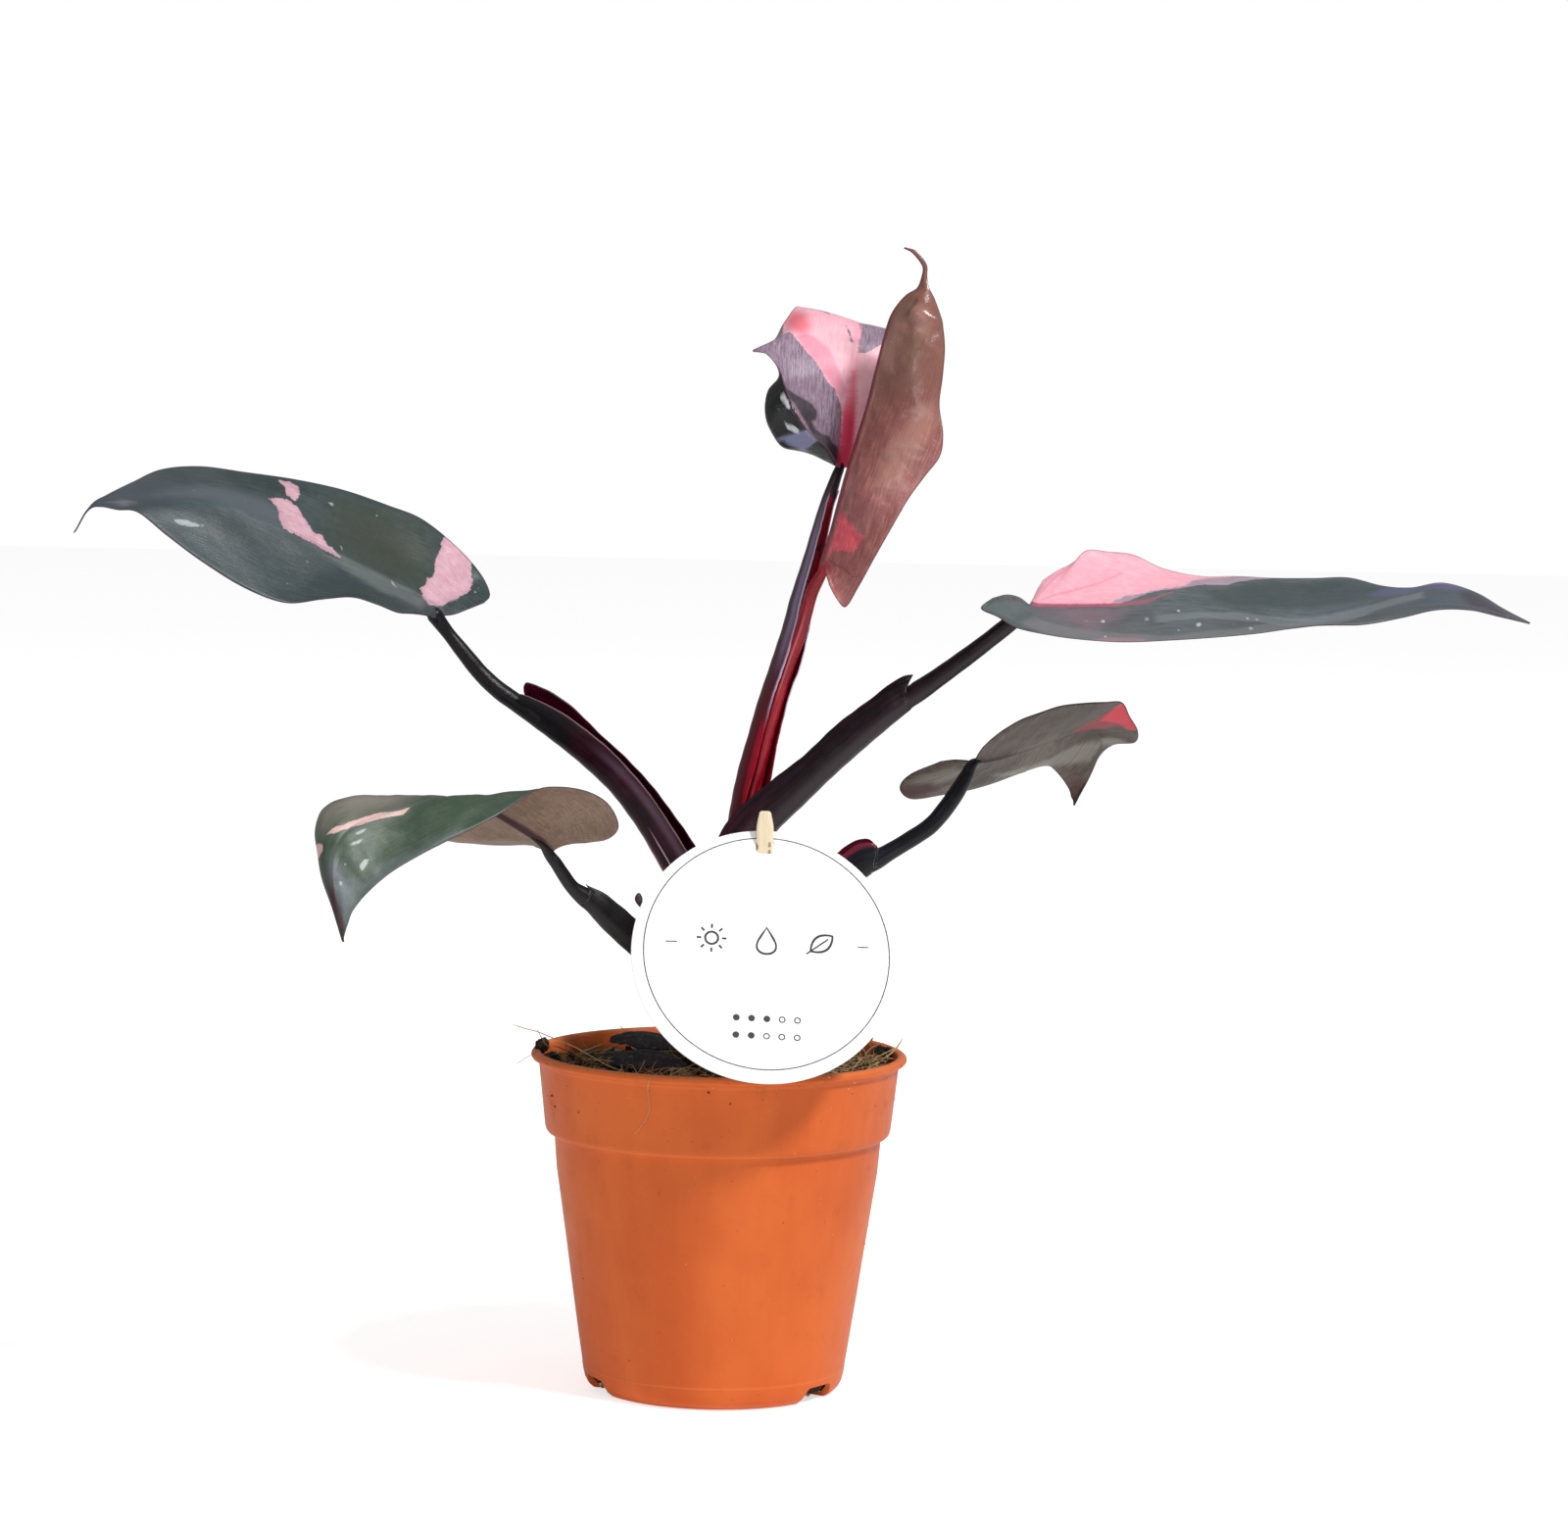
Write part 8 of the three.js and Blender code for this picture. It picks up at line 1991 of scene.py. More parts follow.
# ------------------------------------------------------------------ floor, light
def make_stage():
    g = Nodes("floor")
    P = g.pos()
    n = g.noise(P, 0.02, 2)
    col = g.mix(n, rgb(250, 250, 250), rgb(253, 253, 253))
    mat = g.surface(col, 0.9, spec=0.0)
    bs = [k for k in g.nt.nodes if k.type == "BSDF_PRINCIPLED"][0]
    lp = g.nt.nodes.new("ShaderNodeLightPath")
    bs.inputs["Emission Color"].default_value = (1, 1, 1, 1)
    g.nt.links.new(g.m("MULTIPLY_ADD", lp.outputs["Is Camera Ray"], FLOOR[0], FLOOR[1]), bs.inputs["Emission Strength"])
    s = 7.0
    me = bpy.data.meshes.new("floor")
    k = 12
    v = [((i / k - 0.5) * 2 * s, (j / k - 0.5) * 2 * s, -0.0002) for i in range(k + 1) for j in range(k + 1)]
    f = [(i * (k + 1) + j, (i + 1) * (k + 1) + j, (i + 1) * (k + 1) + j + 1, i * (k + 1) + j + 1) for i in range(k) for j in range(k)]
    me.from_pydata(v, [], f)
    me.materials.append(mat)
    ob = bpy.data.objects.new("floor", me)
    scene.collection.objects.link(ob)
    w = bpy.data.worlds.new("studio")
    scene.world = w
    w.use_nodes = True
    nt = w.node_tree
    bg = nt.nodes["Background"]
    bg.inputs[0].default_value = (1, 1, 1, 1)
    lp = nt.nodes.new("ShaderNodeLightPath")
    mx = nt.nodes.new("ShaderNodeMix")
    mx.inputs[2].default_value = AMB
    mx.inputs[3].default_value = 1.0
    nt.links.new(lp.outputs["Is Camera Ray"], mx.inputs[0])
    nt.links.new(mx.outputs[0], bg.inputs[1])
    scene.view_settings.view_transform = "Standard"
    scene.view_settings.look = "None"

    for name, loc, target, size, energy in LIGHTS:
        l = bpy.data.lights.new(name, "AREA")
        l.shape = "DISK"
        l.size = size
        l.energy = energy
        o = bpy.data.objects.new(name, l)
        o.location = loc
        d = Vector(target) - Vector(loc)
        o.rotation_euler = d.to_track_quat("-Z", "Y").to_euler()
        scene.collection.objects.link(o)


# LIGHTSETUP
AMB = 0.32
FLOOR = (0.5, 0.14)
LIGHTS = [
    ("key", (1.28, -1.12, 2.0), (0.02, 0, 0.15), 0.40, 49.0),
    ("front", (-0.9, -2.2, 0.8), (0.02, 0, 0.15), 0.9, 8.0),
]
# ENDLIGHTSETUP

# ------------------------------------------------------------------ build
make_camera()
make_stage()

# leaves
FLECK = (rgb(196, 204, 204), rgb(170, 180, 184))
# leaf A upper side: among its fields, shade is painted shade beside the midrib, the pale rib band a painted highlight
# and sheen a painted sheen
A_TOP = leaf_material(
    "leaf_a_upper", rgb(48, 60, 61), rgb(69, 80, 82), rgb(206, 158, 174), rgb(226, 186, 198), (rgb(158, 164, 168), rgb(142, 150, 156)), rgb(86, 24, 44),
    rib=(rgb(112, 118, 120), 0.28, rgb(84, 92, 98), 0.30, 0.45, 0.5), rim=(rgb(84, 66, 84), 0.7), rough=0.40, spec=0.34, vein=0.02, vein_color=rgb(98, 110, 110),
    base3=rgb(72, 80, 88), base3_at=(0.5, 0.95), trans=0.03, trans_pink=0.10, slant=0.55, streak=0.9, ragged=0.8, dots=0.6, margin=(rgb(56, 64, 70), 0.3, 3.0), vein_lines=False,
    fields=(("shade", rgb(52, 62, 66), 0.6, -6.0, 6.0, 3.0, 0), ("olive", rgb(59, 65, 53), 0.8, -10.0, 9.0, 5.0, 0), ("blue", rgb(100, 109, 117), 0.55, -5.0, 5.0, 4.0, 0),
            ("rib_painted_highlight", rgb(128, 134, 134), 0.42, -2.6, 2.0, 3.0, 0), ("low", rgb(62, 73, 79), 0.55, -7.0, 6.0, 4.0, 0), ("sheen", rgb(150, 136, 148), 0.4, -1.2, 1.4, 2.0, 0)))
A_UNDER = leaf_material(
    "leaf_a_under", rgb(110, 84, 86), rgb(134, 108, 106), rgb(214, 150, 166), rgb(226, 178, 190), (rgb(150, 140, 144), rgb(132, 122, 126)), rgb(120, 20, 48),
    rib=(rgb(84, 30, 46), 0.9, rgb(96, 62, 70), 0.3, 0.8), rim=(rgb(70, 44, 56), 0.7), rough=0.5, spec=0.25, vein=0.2, vein_color=rgb(88, 60, 66), trans=0.05, trans_pink=0.2)
RIM_A = leaf_material(
    "leaf_a_rim", rgb(60, 46, 56), rgb(84, 66, 78), rgb(200, 130, 150), rgb(214, 150, 168), (rgb(96, 84, 92), rgb(96, 84, 92)), rgb(80, 20, 40),
    rib=(rgb(60, 40, 50), 0.2), rim=(rgb(60, 44, 54), 0.5), rough=0.5, spec=0.2)
leaf("blade_a", "leaf_a", 1, [A_TOP, A_UNDER, RIM_A], MARKS["leaf_a"], seed=2, waves=0.9, quilt=0.02, groove=0.28, wave_size=14)

# leaf C upper side: near is a painted sheen over the near half and the valley field a painted highlight along the
# midrib's groove
C_TOP = leaf_material(
    "leaf_c_upper", rgb(72, 81, 84), rgb(101, 109, 113), rgb(252, 176, 194), rgb(255, 198, 210), (rgb(190, 164, 178), rgb(146, 134, 148)), rgb(206, 112, 136),
    rib=(rgb(196, 84, 116), 0.6, rgb(118, 124, 128), 0.16, 0.24, 0.35), rim=(rgb(104, 84, 96), 0.6), rough=0.36, spec=0.42, vein=0.02, vein_color=rgb(120, 128, 130),
    base3=rgb(84, 90, 98), base3_at=(0.4, 0.8), trans=0.03, trans_pink=0.12, slant=0.6, streak=0.9, ragged=0.8, dots=0.6, vein_lines=False,
    fields=(("dusk", rgb(62, 73, 74), 0.7, -1.5, 3.0, 2.0, 0), ("near", rgb(132, 132, 134), 0.5, -1.8, 2.2, 3.0, 0), ("blush", rgb(170, 124, 138), 0.28, -1.0, 7.0, 5.0, 0),
            ("lobe", rgb(104, 113, 110), 0.4, -1.5, 2.0, 1.5, 0), ("valley_painted_highlight", rgb(138, 142, 148), 0.45, -1.6, 1.0, 2.0, 0), ("rimpink", rgb(204, 132, 152), 0.32, -0.3, 1.2, 2.2, 0),
            ("brown", rgb(66, 52, 62), 0.6, -2.0, 2.0, 1.5, 0), ("ribred", rgb(196, 84, 112), 0.5, -0.5, 0.5, 0.8, 1), ("tipc", rgb(96, 98, 130), 0.75, -1.5, 1.5, 1.5, 0),
            ("tippink", rgb(170, 120, 150), 0.7, -0.8, 0.8, 1.0, 0),
            ("lobevein", rgb(222, 112, 146), 0.3, -0.25, 0.3, 0.2, 1), ("fleck", rgb(214, 216, 218), 0.75, -0.2, 0.35, 0.2, 1)))
C_UNDER = leaf_material(
    "leaf_c_under", rgb(96, 76, 78), rgb(118, 98, 96), rgb(232, 160, 178), rgb(240, 184, 198), (rgb(160, 140, 150), rgb(140, 122, 132)), rgb(180, 80, 108),
    rib=(rgb(100, 34, 54), 0.9, rgb(96, 62, 70), 0.3, 0.8), rim=(rgb(80, 50, 60), 0.7), rough=0.5, spec=0.25, vein=0.2, vein_color=rgb(88, 60, 66), trans=0.05, trans_pink=0.2)
leaf("blade_c", "leaf_c", 1, [C_TOP, C_UNDER, RIM_A], MARKS["leaf_c"], seed=4, waves=0.9, quilt=0.02, groove=0.25, wave_size=14)

# leaf E upper side: the sheen field is a painted bluish sheen
E_TOP = leaf_material(
    "leaf_e_upper", rgb(58, 73, 60), rgb(83, 97, 84), rgb(222, 178, 176), rgb(240, 206, 200), (rgb(176, 186, 180), rgb(158, 170, 166)), rgb(120, 60, 70),
    rib=(rgb(112, 120, 116), 0.2), rim=(rgb(132, 124, 130), 0.45), rough=0.40, spec=0.34, vein=0.03, vein_color=rgb(118, 130, 122),
    base3=rgb(78, 86, 84), base3_at=(0.66, 0.98), trans=0.05, trans_pink=0.12, tip=(rgb(62, 42, 46), 0.80, 0.90), slant=0.5, streak=0.6, ragged=0.3, dots=0.3, vein_lines=False,
    fields=(("green", rgb(62, 82, 58), 0.5, -9.0, 8.0, 4.0, 0), ("mauve", rgb(154, 142, 134), 0.7, -8.0, 7.0, 4.0, 0), ("sheen", rgb(132, 134, 150), 0.5, -4.0, 5.0, 3.0, 0)))
E_UNDER = leaf_material(
    "leaf_e_under", rgb(122, 98, 84), rgb(150, 126, 110), rgb(206, 160, 156), rgb(216, 180, 172), (rgb(160, 140, 136), rgb(150, 130, 126)), rgb(120, 60, 70),
    rib=(rgb(66, 40, 44), 0.95, rgb(80, 54, 54), 0.3, 0.8), rim=(rgb(86, 60, 58), 0.75), rough=0.5, spec=0.24, vein=0.06, vein_color=rgb(104, 78, 70), rib_width=2.2, rib_end=0.5, trans=0.05,
    slant=0.9, streak=0.8, bump=1.5, dots=0.3, dot_color=rgb(196, 176, 156))
leaf("blade_e", "leaf_e", 1, [E_TOP, E_UNDER, RIM_A], MARKS["leaf_e"], seed=5, waves=1.4, quilt=0.025, groove=0.28, wave_size=10)

D_TOP = leaf_material(
    "leaf_d_upper", rgb(58, 72, 66), rgb(84, 96, 90), rgb(226, 120, 136), rgb(236, 150, 160), (rgb(110, 116, 112), rgb(98, 104, 100)), rgb(90, 40, 50),
    rib=(rgb(112, 118, 116), 0.3), rim=(rgb(70, 56, 62), 0.7), rough=0.42, spec=0.32, vein=0.06, vein_color=rgb(100, 112, 106), trans=0.05, slant=0.5)
# leaf D underside: light is a painted lit band and shade a painted shadow beside the midrib
D_UNDER = leaf_material(
    "leaf_d_under", rgb(71, 61, 55), rgb(112, 101, 93), rgb(150, 82, 84), rgb(178, 88, 94), (rgb(156, 154, 148), rgb(144, 140, 134)), rgb(84, 58, 56),
    rib=(rgb(44, 34, 34), 0.85, rgb(76, 62, 58), 0.10, 0.30, 0.5), rim=(rgb(44, 34, 34), 0.85), rough=0.5, spec=0.22, vein=0.42, vein_color=rgb(58, 47, 44), rib_width=1.1, rib_end=0.4,
    trans=0.08, tip=(rgb(52, 34, 38), 0.88, 0.98), streak=0.9, ragged=1.1, soft=0.8,
    fields=(("light", rgb(146, 140, 132), 0.75, -2.5, 2.5, 3.0, 0), ("lobe", rgb(150, 146, 138), 0.7, -2.0, 2.5, 2.5, 0), ("shade", rgb(70, 58, 54), 0.5, -4.0, 4.0, 4.0, 0),
            ("edge", rgb(84, 66, 62), 0.5, -2.0, 2.0, 2.0, 0), ("bright", rgb(232, 84, 98), 1.0, -1.6, 1.0, 3.0, 1)))
leaf("blade_d", "leaf_d", 1, [D_TOP, D_UNDER, RIM_A], MARKS["leaf_d"], seed=6, waves=1.2, quilt=0.12, rib_stop=(0.12, 0.4), groove=0.25)

# B1 upper side: its two fields are a painted highlight and a painted lavender sheen on the flap
B1_TOP = leaf_material(
    "leaf_b1_upper", rgb(244, 176, 194), rgb(250, 196, 208), rgb(250, 196, 208), rgb(250, 196, 208), (rgb(12, 15, 13), rgb(28, 33, 29)), rgb(196, 60, 96),
    rib=(rgb(206, 96, 124), 0.5), rim=(rgb(120, 60, 80), 0.6), rough=0.22, spec=0.45, vein=0.05, vein_color=rgb(236, 150, 172), trans=0.04, bump=2.0, slant=0.5,
    fields=(("flap_painted_highlight", rgb(214, 212, 222), 0.9, -0.5, 0.3, 0.8, 1), ("flap_painted_sheen", rgb(140, 140, 176), 0.75, -1.2, 0.8, 1.2, 1)))
# B1 underside: one of its fields is the painted shadow of the blade's own hidden tip, a mauve arc
B1_UNDER = leaf_material(
    "leaf_b1_under", rgb(254, 186, 202), rgb(255, 208, 218), rgb(248, 150, 160), rgb(250, 160, 168), (rgb(126, 104, 124), rgb(184, 162, 180)), rgb(244, 60, 104),
    rib=(rgb(226, 52, 96), 0.85, rgb(250, 160, 178), 0.14, 0.30, 0.35), rim=(rgb(150, 80, 104), 0.6), rough=0.42, spec=0.32, vein=0.02, vein_color=rgb(238, 156, 176), rib_width=2.6, rib_end=0.6, vein_lines=False,
    trans=0.12, trans_pink=0.12, warm_k=0.75, warm_soft=1.6, streak=0.8, slant=0.7,
    fields=(("salmon", rgb(250, 116, 132), 0.85, -2.5, 2.5, 1.5, 0), ("arc_painted_shadow", rgb(236, 138, 166), 0.65, -0.8, 1.0, 1.5, 0), ("dark", rgb(44, 42, 48), 0.85, -0.5, 0.5, 1.8, 1)))
B1_RIM = leaf_material(
    "leaf_b1_rim", rgb(170, 96, 120), rgb(190, 120, 140), rgb(200, 110, 130), rgb(200, 110, 130), (rgb(70, 56, 66), rgb(84, 70, 80)), rgb(160, 40, 70),
    rib=(rgb(160, 80, 100), 0.2), rim=(rgb(120, 64, 84), 0.5), rough=0.5, spec=0.25)
leaf("blade_b1", "leaf_b1", -1, [B1_TOP, B1_UNDER, B1_RIM], MARKS["leaf_b1"], seed=7, waves=1.0, quilt=0.03, rib=0.45, rib_stop=(0.10, 0.35), wave_size=8,
     bumps=((4.0, -0.86, 0.6, 0.05, 0.7), (2.2, -0.80, 0.5, 0.05, -0.6)))

B2_TOP = leaf_material(
    "leaf_b2_upper", rgb(96, 58, 48), rgb(124, 82, 66), rgb(226, 110, 122), rgb(236, 140, 146), (rgb(120, 86, 76), rgb(110, 78, 70)), rgb(120, 24, 40),
    rib=(rgb(130, 60, 60), 0.6), rim=(rgb(90, 30, 36), 0.7), rough=0.3, spec=0.5, vein=0.1, vein_color=rgb(136, 92, 78), trans=0.05)
# B2 underside: its first field paints pale copper highlights
B2_UNDER = leaf_material(
    "leaf_b2_under", rgb(140, 77, 75), rgb(178, 112, 108), rgb(236, 92, 110), rgb(250, 128, 140), (rgb(150, 110, 104), rgb(140, 100, 94)), rgb(150, 26, 52),
    rib=(rgb(104, 26, 38), 0.85, rgb(104, 50, 48), 0.5, 1.0), rim=(rgb(96, 24, 42), 0.9), rough=0.26, spec=0.6, vein=0.02, vein_color=rgb(92, 50, 46), rib_width=1.6, rib_end=0.5,
    trans=0.04, bump=1.8, coat=0.25, streak=0.9, slant=0.9, dots=0.8, dot_color=rgb(240, 190, 180), base3=rgb(122, 80, 68), base3_at=(0.22, 0.62), vein_lines=False, scar=None,
    fields=(("painted_highlight", rgb(196, 148, 132), 0.42, -3.0, 2.5, 4.0, 0), ("olive", rgb(120, 90, 72), 0.5, -3.0, 3.0, 2.0, 0), ("deep", rgb(84, 40, 38), 0.55, -0.4, 0.5, 0.5, 1)))
leaf("blade_b2", "leaf_b2", 1, [B2_TOP, B2_UNDER, B2_UNDER], MARKS["leaf_b2"], seed=8, waves=2.4, quilt=0.02, wave_size=8,
     bumps=((13.0, -0.5, 0.35, 0.22, -1.6), (12.2, -0.2, 0.7, 0.12, -1.0), (12.9, -0.85, 0.25, 0.15, -0.9), (12.2, -0.62, 0.35, 0.2, 0.7), (8.2, -0.75, 0.8, 0.3, -1.4), (6.2, -0.4, 0.8, 0.3, -1.2), (9.6, -0.3, 0.9, 0.3, 0.8)))

# stalks
# A's stalk: the pale thin streak is a painted highlight, the near band a painted sheen and the pale wing margin partly
# a painted highlight; the crimson streak is the skin's own colour
M_A = stalk_material(
    "petiole_a_skin", outer=rgb(30, 8, 17), outer2=rgb(54, 15, 31), inner=rgb(78, 10, 34), edge=rgb(150, 118, 130), length=165, foot=rgb(50, 12, 26), foot_at=(0.62, 1.0),
    head=rgb(24, 21, 24), head_at=(0.34, 0.42), rough=0.3, spec=0.16, streaks=((rgb(160, 18, 60), 2.3, 0.24, 0.60, 1.0), (rgb(200, 170, 186), 1.45, 0.06, 0.60, 1.0)), edge_w=(0.88, 0.99), edge_k=0.75,
    near=(rgb(82, 58, 72), 0.72, 0.3, 0.38, 1.05))
stalk("stalk_a", "petiole_a", M_A, mouth=8.62, ear=([0.4, 1.6, 3.0, 4.2, 4.9, 5.0, 4.7, 4.2], [0.3, 1.2, 2.6, 3.9, 4.7, 4.9, 4.7, 4.2]),
      ear_h=(1.15, 0.42), ear_len=15, h_len=(27, 85), groove=0.2, ribs=0.03, seed=1, lean=0.30,
      path=with_ends("petiole_a", head=[[-94.8, -6.4, 247.9, 0.5, 0], [-93.6, -7.4, 247.2, 1.7, 0], [-92.2, -7.6, 245.9, 2.5, 0]],
                     foot=[[-1.5, -2.2, 147, 5.2, 0.3], [0.5, -0.5, 141, 3.6, 0]], change={0: [-90.6, -7.0, 243.7, 2.35, 0], 1: [-87.8, -6.8, 240.1, 2.12, 0]}))
# C's stalk: the paler underside is painted bounce light from the floor and the pinkish wing margin partly a painted
# highlight
M_C = stalk_material(
    "petiole_c_skin", outer=rgb(19, 9, 14), outer2=rgb(34, 18, 26), inner=rgb(58, 16, 30), edge=rgb(176, 112, 130), length=172, foot=rgb(72, 24, 42), foot_at=(0.58, 0.86),
    rough=0.34, spec=0.2, edge_w=(0.9, 1.0), edge_k=0.8, edge_at=(0.82, 1.15), low=rgb(58, 50, 54),
    streaks=((rgb(140, 84, 104), 0.75, 0.12, 0.72, 0.92),))
stalk("stalk_c", "petiole_c", M_C, mouth=7.75, ear=([0, 0, 0.1, 0.2, 0.3, 0.4, 0.5, 0.5], [0, 0, 0.3, 1.0, 2.8, 1.8, 3.0, 4.6]), ear_h=(0.0, 0.16), ear_len=12, ribs=0.03, seed=2,
      path=with_ends("petiole_c", head=[[98.2, 0.6, 251.4, 0.6, 0], [95.8, 1.3, 250.8, 1.3, 0]], foot=[[4.0, -7.4, 165.5, 6.4, 0.5], [3.2, -6.0, 158, 5.8, 0.2], [2.0, -2.5, 151, 4.2, 0]]))
M_D = stalk_material(
    "petiole_d_skin", outer=rgb(14, 12, 17), outer2=rgb(28, 26, 35), inner=rgb(66, 18, 32), edge=rgb(104, 26, 46), length=126, foot=rgb(62, 60, 54), foot_at=(0.565, 0.62),
    rough=0.26, spec=0.24, edge_w=(0.42, 0.72), edge_k=0.9)
stalk("stalk_d", "petiole_d", M_D, mouth=11.25, ear=([0.1, 0.4, 0.7, 0.9, 1.0, 0.9, 0.6, 0.2], [0.1, 0.5, 0.9, 1.2, 1.4, 1.3, 1.0, 0.6]), ear_h=(0.6, 0.5), ear_len=14, h_len=17,
      ribs=0.03, seed=3, ragged=0.4,
      path=with_ends("petiole_d", head=[[88.4, 18.8, 201.9, 0.3, 0], [84.9, 14.9, 201.4, 0.65, 0], [82.3, 11.8, 201.3, 0.95, 0], [80.4, 9.2, 201.3, 1.4, 0]], foot=[[5.5, -3.2, 138.5, 4.6, 0.3], [2.6, -1.2, 133, 3.2, 0]]))
# E's stalk: the paler underside is painted bounce light from the floor
M_E = stalk_material(
    "petiole_e_skin", outer=rgb(15, 12, 14), outer2=rgb(28, 22, 26), inner=rgb(40, 16, 24), edge=rgb(96, 94, 98), length=88, rough=0.4, spec=0.2,
    edge_w=(0.55, 0.95), edge_k=0.5, edge_at=(0.22, 0.5), low=rgb(48, 46, 46))
stalk("stalk_e", "petiole_e", M_E, mouth=9.0, ear=([0, 0, 0, 0, 0, 0.1, 0.2, 0.3], [0, 0, 0, 0, 0.1, 0.5, 1.6, 2.6]), ear_h=(0.0, 0.12), ear_len=7, ribs=0.03, seed=4,
      path=with_ends("petiole_e", head=[[-59.8, -46.2, 180.8, 0.35, 0], [-57.2, -43.3, 178.7, 0.8, 0], [-55.6, -41.2, 177.3, 1.15, 0], [-54.5, -40.1, 176.0, 1.45, 0], [-53.7, -39.0, 174.6, 1.7, 0]], foot=[[-3.6, -5.6, 124, 4.6, 0.3], [-0.6, -2.0, 119.5, 3.0, 0]],
                     change={0: [-52.9, -38.1, 173.2, 1.8, 0], 1: [-51.2, -37.7, 171.0, 1.95, 0], 2: [-49.1, -36.8, 167.7, 2.05, 0], 3: [-46.2, -35.4, 163.5, 2.2, 0], 4: [-42.5, -33.6, 160.3, 3.0, 0.4], 7: [-29.0, -27, 148.5, 4.6, 1],
                             8: [-22.6, -21.5, 142.6, 4.9, 1]}))
# B1's stalk: the near band is a painted lavender highlight and the pale lilac wing margin partly a painted highlight
M_B1 = stalk_material(
    "petiole_b1_skin", outer=rgb(58, 44, 56), outer2=rgb(84, 70, 84), inner=rgb(200, 18, 46), edge=rgb(206, 186, 214), length=140, foot=rgb(88, 5, 22), foot_at=(0.34, 0.68),
    head=rgb(30, 22, 28), head_at=(0.03, 0.12), rough=0.3, spec=0.3, edge_w=(0.7, 0.97), edge_k=0.9, edge_at=(0.0, 0.66), near=(rgb(124, 106, 132), 0.85, 0.5, 0.08, 0.55),
    streaks=((rgb(150, 10, 38), 0.55, 0.35, 0.6, 1.0), (rgb(186, 22, 48), -2.6, 0.3, 0.86, 0.96)))
stalk("stalk_b1", "petiole_b1", M_B1, mouth=3.5, ear=([0.2, 0.6, 1.2, 1.6, 2.2, 2.6, 2.2, 3.0], [0.1, 0.3, 0.8, 1.0, 0.8, 1.4, 1.1, 0.2]), ear_h=(0.1, 0.0), ear_len=8, ribs=0.03, seed=5, ragged=0.5,
      path=with_ends("petiole_b1", head=[[35.6, 6.6, 298.2, 1.0, 0], [34.9, 6.3, 294.8, 1.5, 0]], foot=[[2.8, 2.4, 164, 5.4, 0], [2.0, 1.0, 157, 4.2, 0]],
                     change={0: [33.8, 5.6, 291.8, 1.7, 0], 1: [32.4, 5.2, 287.4, 2.0, 0], 2: [30.8, 4.9, 282.4, 2.3, 0.7], 3: [29.1, 4.6, 274.9, 2.8, 1], 4: [27.3, 4.3, 267.1, 3.1, 1],
                             5: [25.3, 4.1, 259.3, 3.5, 1], 6: [23.3, 4.0, 250.8, 3.95, 1], 7: [21.9, 4.0, 243.6, 4.35, 1], 8: [19.1, 4.0, 232.7, 4.75, 1], 9: [15.5, 4, 221.7, 4.7, 1],
                             10: [12.3, 4, 209.1, 5, 1], 11: [9.9, 4, 198.1, 5.5, 1], 12: [8.2, 4, 189.6, 5.8, 0.5], 13: [6.6, 4, 179.2, 6, 0], 14: [4.8, 3.5, 171.3, 6, 0]}))
# B2's stalk: the near band is a painted pink highlight
M_B2 = stalk_material(
    "petiole_b2_skin", outer=rgb(132, 4, 24), outer2=rgb(164, 14, 36), inner=rgb(130, 8, 28), edge=rgb(180, 40, 70), length=110, rough=0.22, spec=0.4,
    near=(rgb(206, 92, 106), 0.55, 0.24, 0.14, 0.5))
stalk("stalk_b2", "petiole_b2", M_B2, ribs=0.02, seed=6, path=with_ends("petiole_b2", head=[[31.0, -7.3, 268.0, 0.9, 0], [30.3, -6.9, 264.8, 1.3, 0]], foot=[[9.3, 2.4, 190, 2.3, 0], [7.5, 2.6, 181, 2.2, 0], [5.8, 2.8, 172, 1.5, 0]]))
M_BUD = dry_material("dry_bud_skin", rgb(58, 44, 54), rgb(86, 66, 78), rgb(110, 92, 100))
stalk("bud_scale", "dry_bud", M_BUD, seed=7)
make_main_stem(bark_material())

# pot, soil
make_pot(pot_material(), None)
make_soil(soil_material())
SCRAP = dry_material("dry_sheath_skin", rgb(26, 22, 26), rgb(46, 40, 45), rgb(112, 108, 108))
make_dry_sheath(SCRAP)
make_dry_sheath(SCRAP, "dry_scrap_1", ([[-34, -6, 103.9], [-29, -8, 104.7], [-23, -10, 104.6], [-16, -13, 104.2], [-10, -15, 103.4]], [1.3, 3.6, 4.4, 3.8, 1.2]), 0.62, 1.0, None)
make_dry_sheath(SCRAP, "dry_scrap_2", ([[-39, 8, 103.6], [-36, 5, 104.2], [-32, 1, 104.2], [-29, -4, 103.6]], [0.8, 2.2, 2.4, 0.9]), 0.5, 0.9, None)

# label
CARD = card_material()
make_label(CARD)
make_print(ink_material())
make_stick(wood_material())


# ------------------------------------------------------------------ loose bits of the potting mix
def top_at(x, y):
    return float(soil_height(np.array([x], float), np.array([y], float))[0])


STEM_XY = (1.5, 0.0)


def free(x, y, r):
    """clear of the stem and of the stick"""
    return math.hypot(x - STEM_XY[0], y - STEM_XY[1]) > 8.5 + r and not (abs(x - STICK_X) < 3.6 + r and abs(y - STICK_Y) < 1.8 + r)


def scatter(rng, n, box=None, rmax=54.0):
    out = []
    while len(out) < n:
        if box is None:
            a, q = rng.uniform(0, 2 * math.pi), math.sqrt(rng.uniform(0, 1)) * rmax
            x, y = q * math.cos(a), q * math.sin(a)
        else:
            x, y = rng.uniform(box[0], box[1]), rng.uniform(box[2], box[3])
            if math.hypot(x, y) > rmax:
                continue
        if free(x, y, 0.6):
            out.append((x, y))
    return out


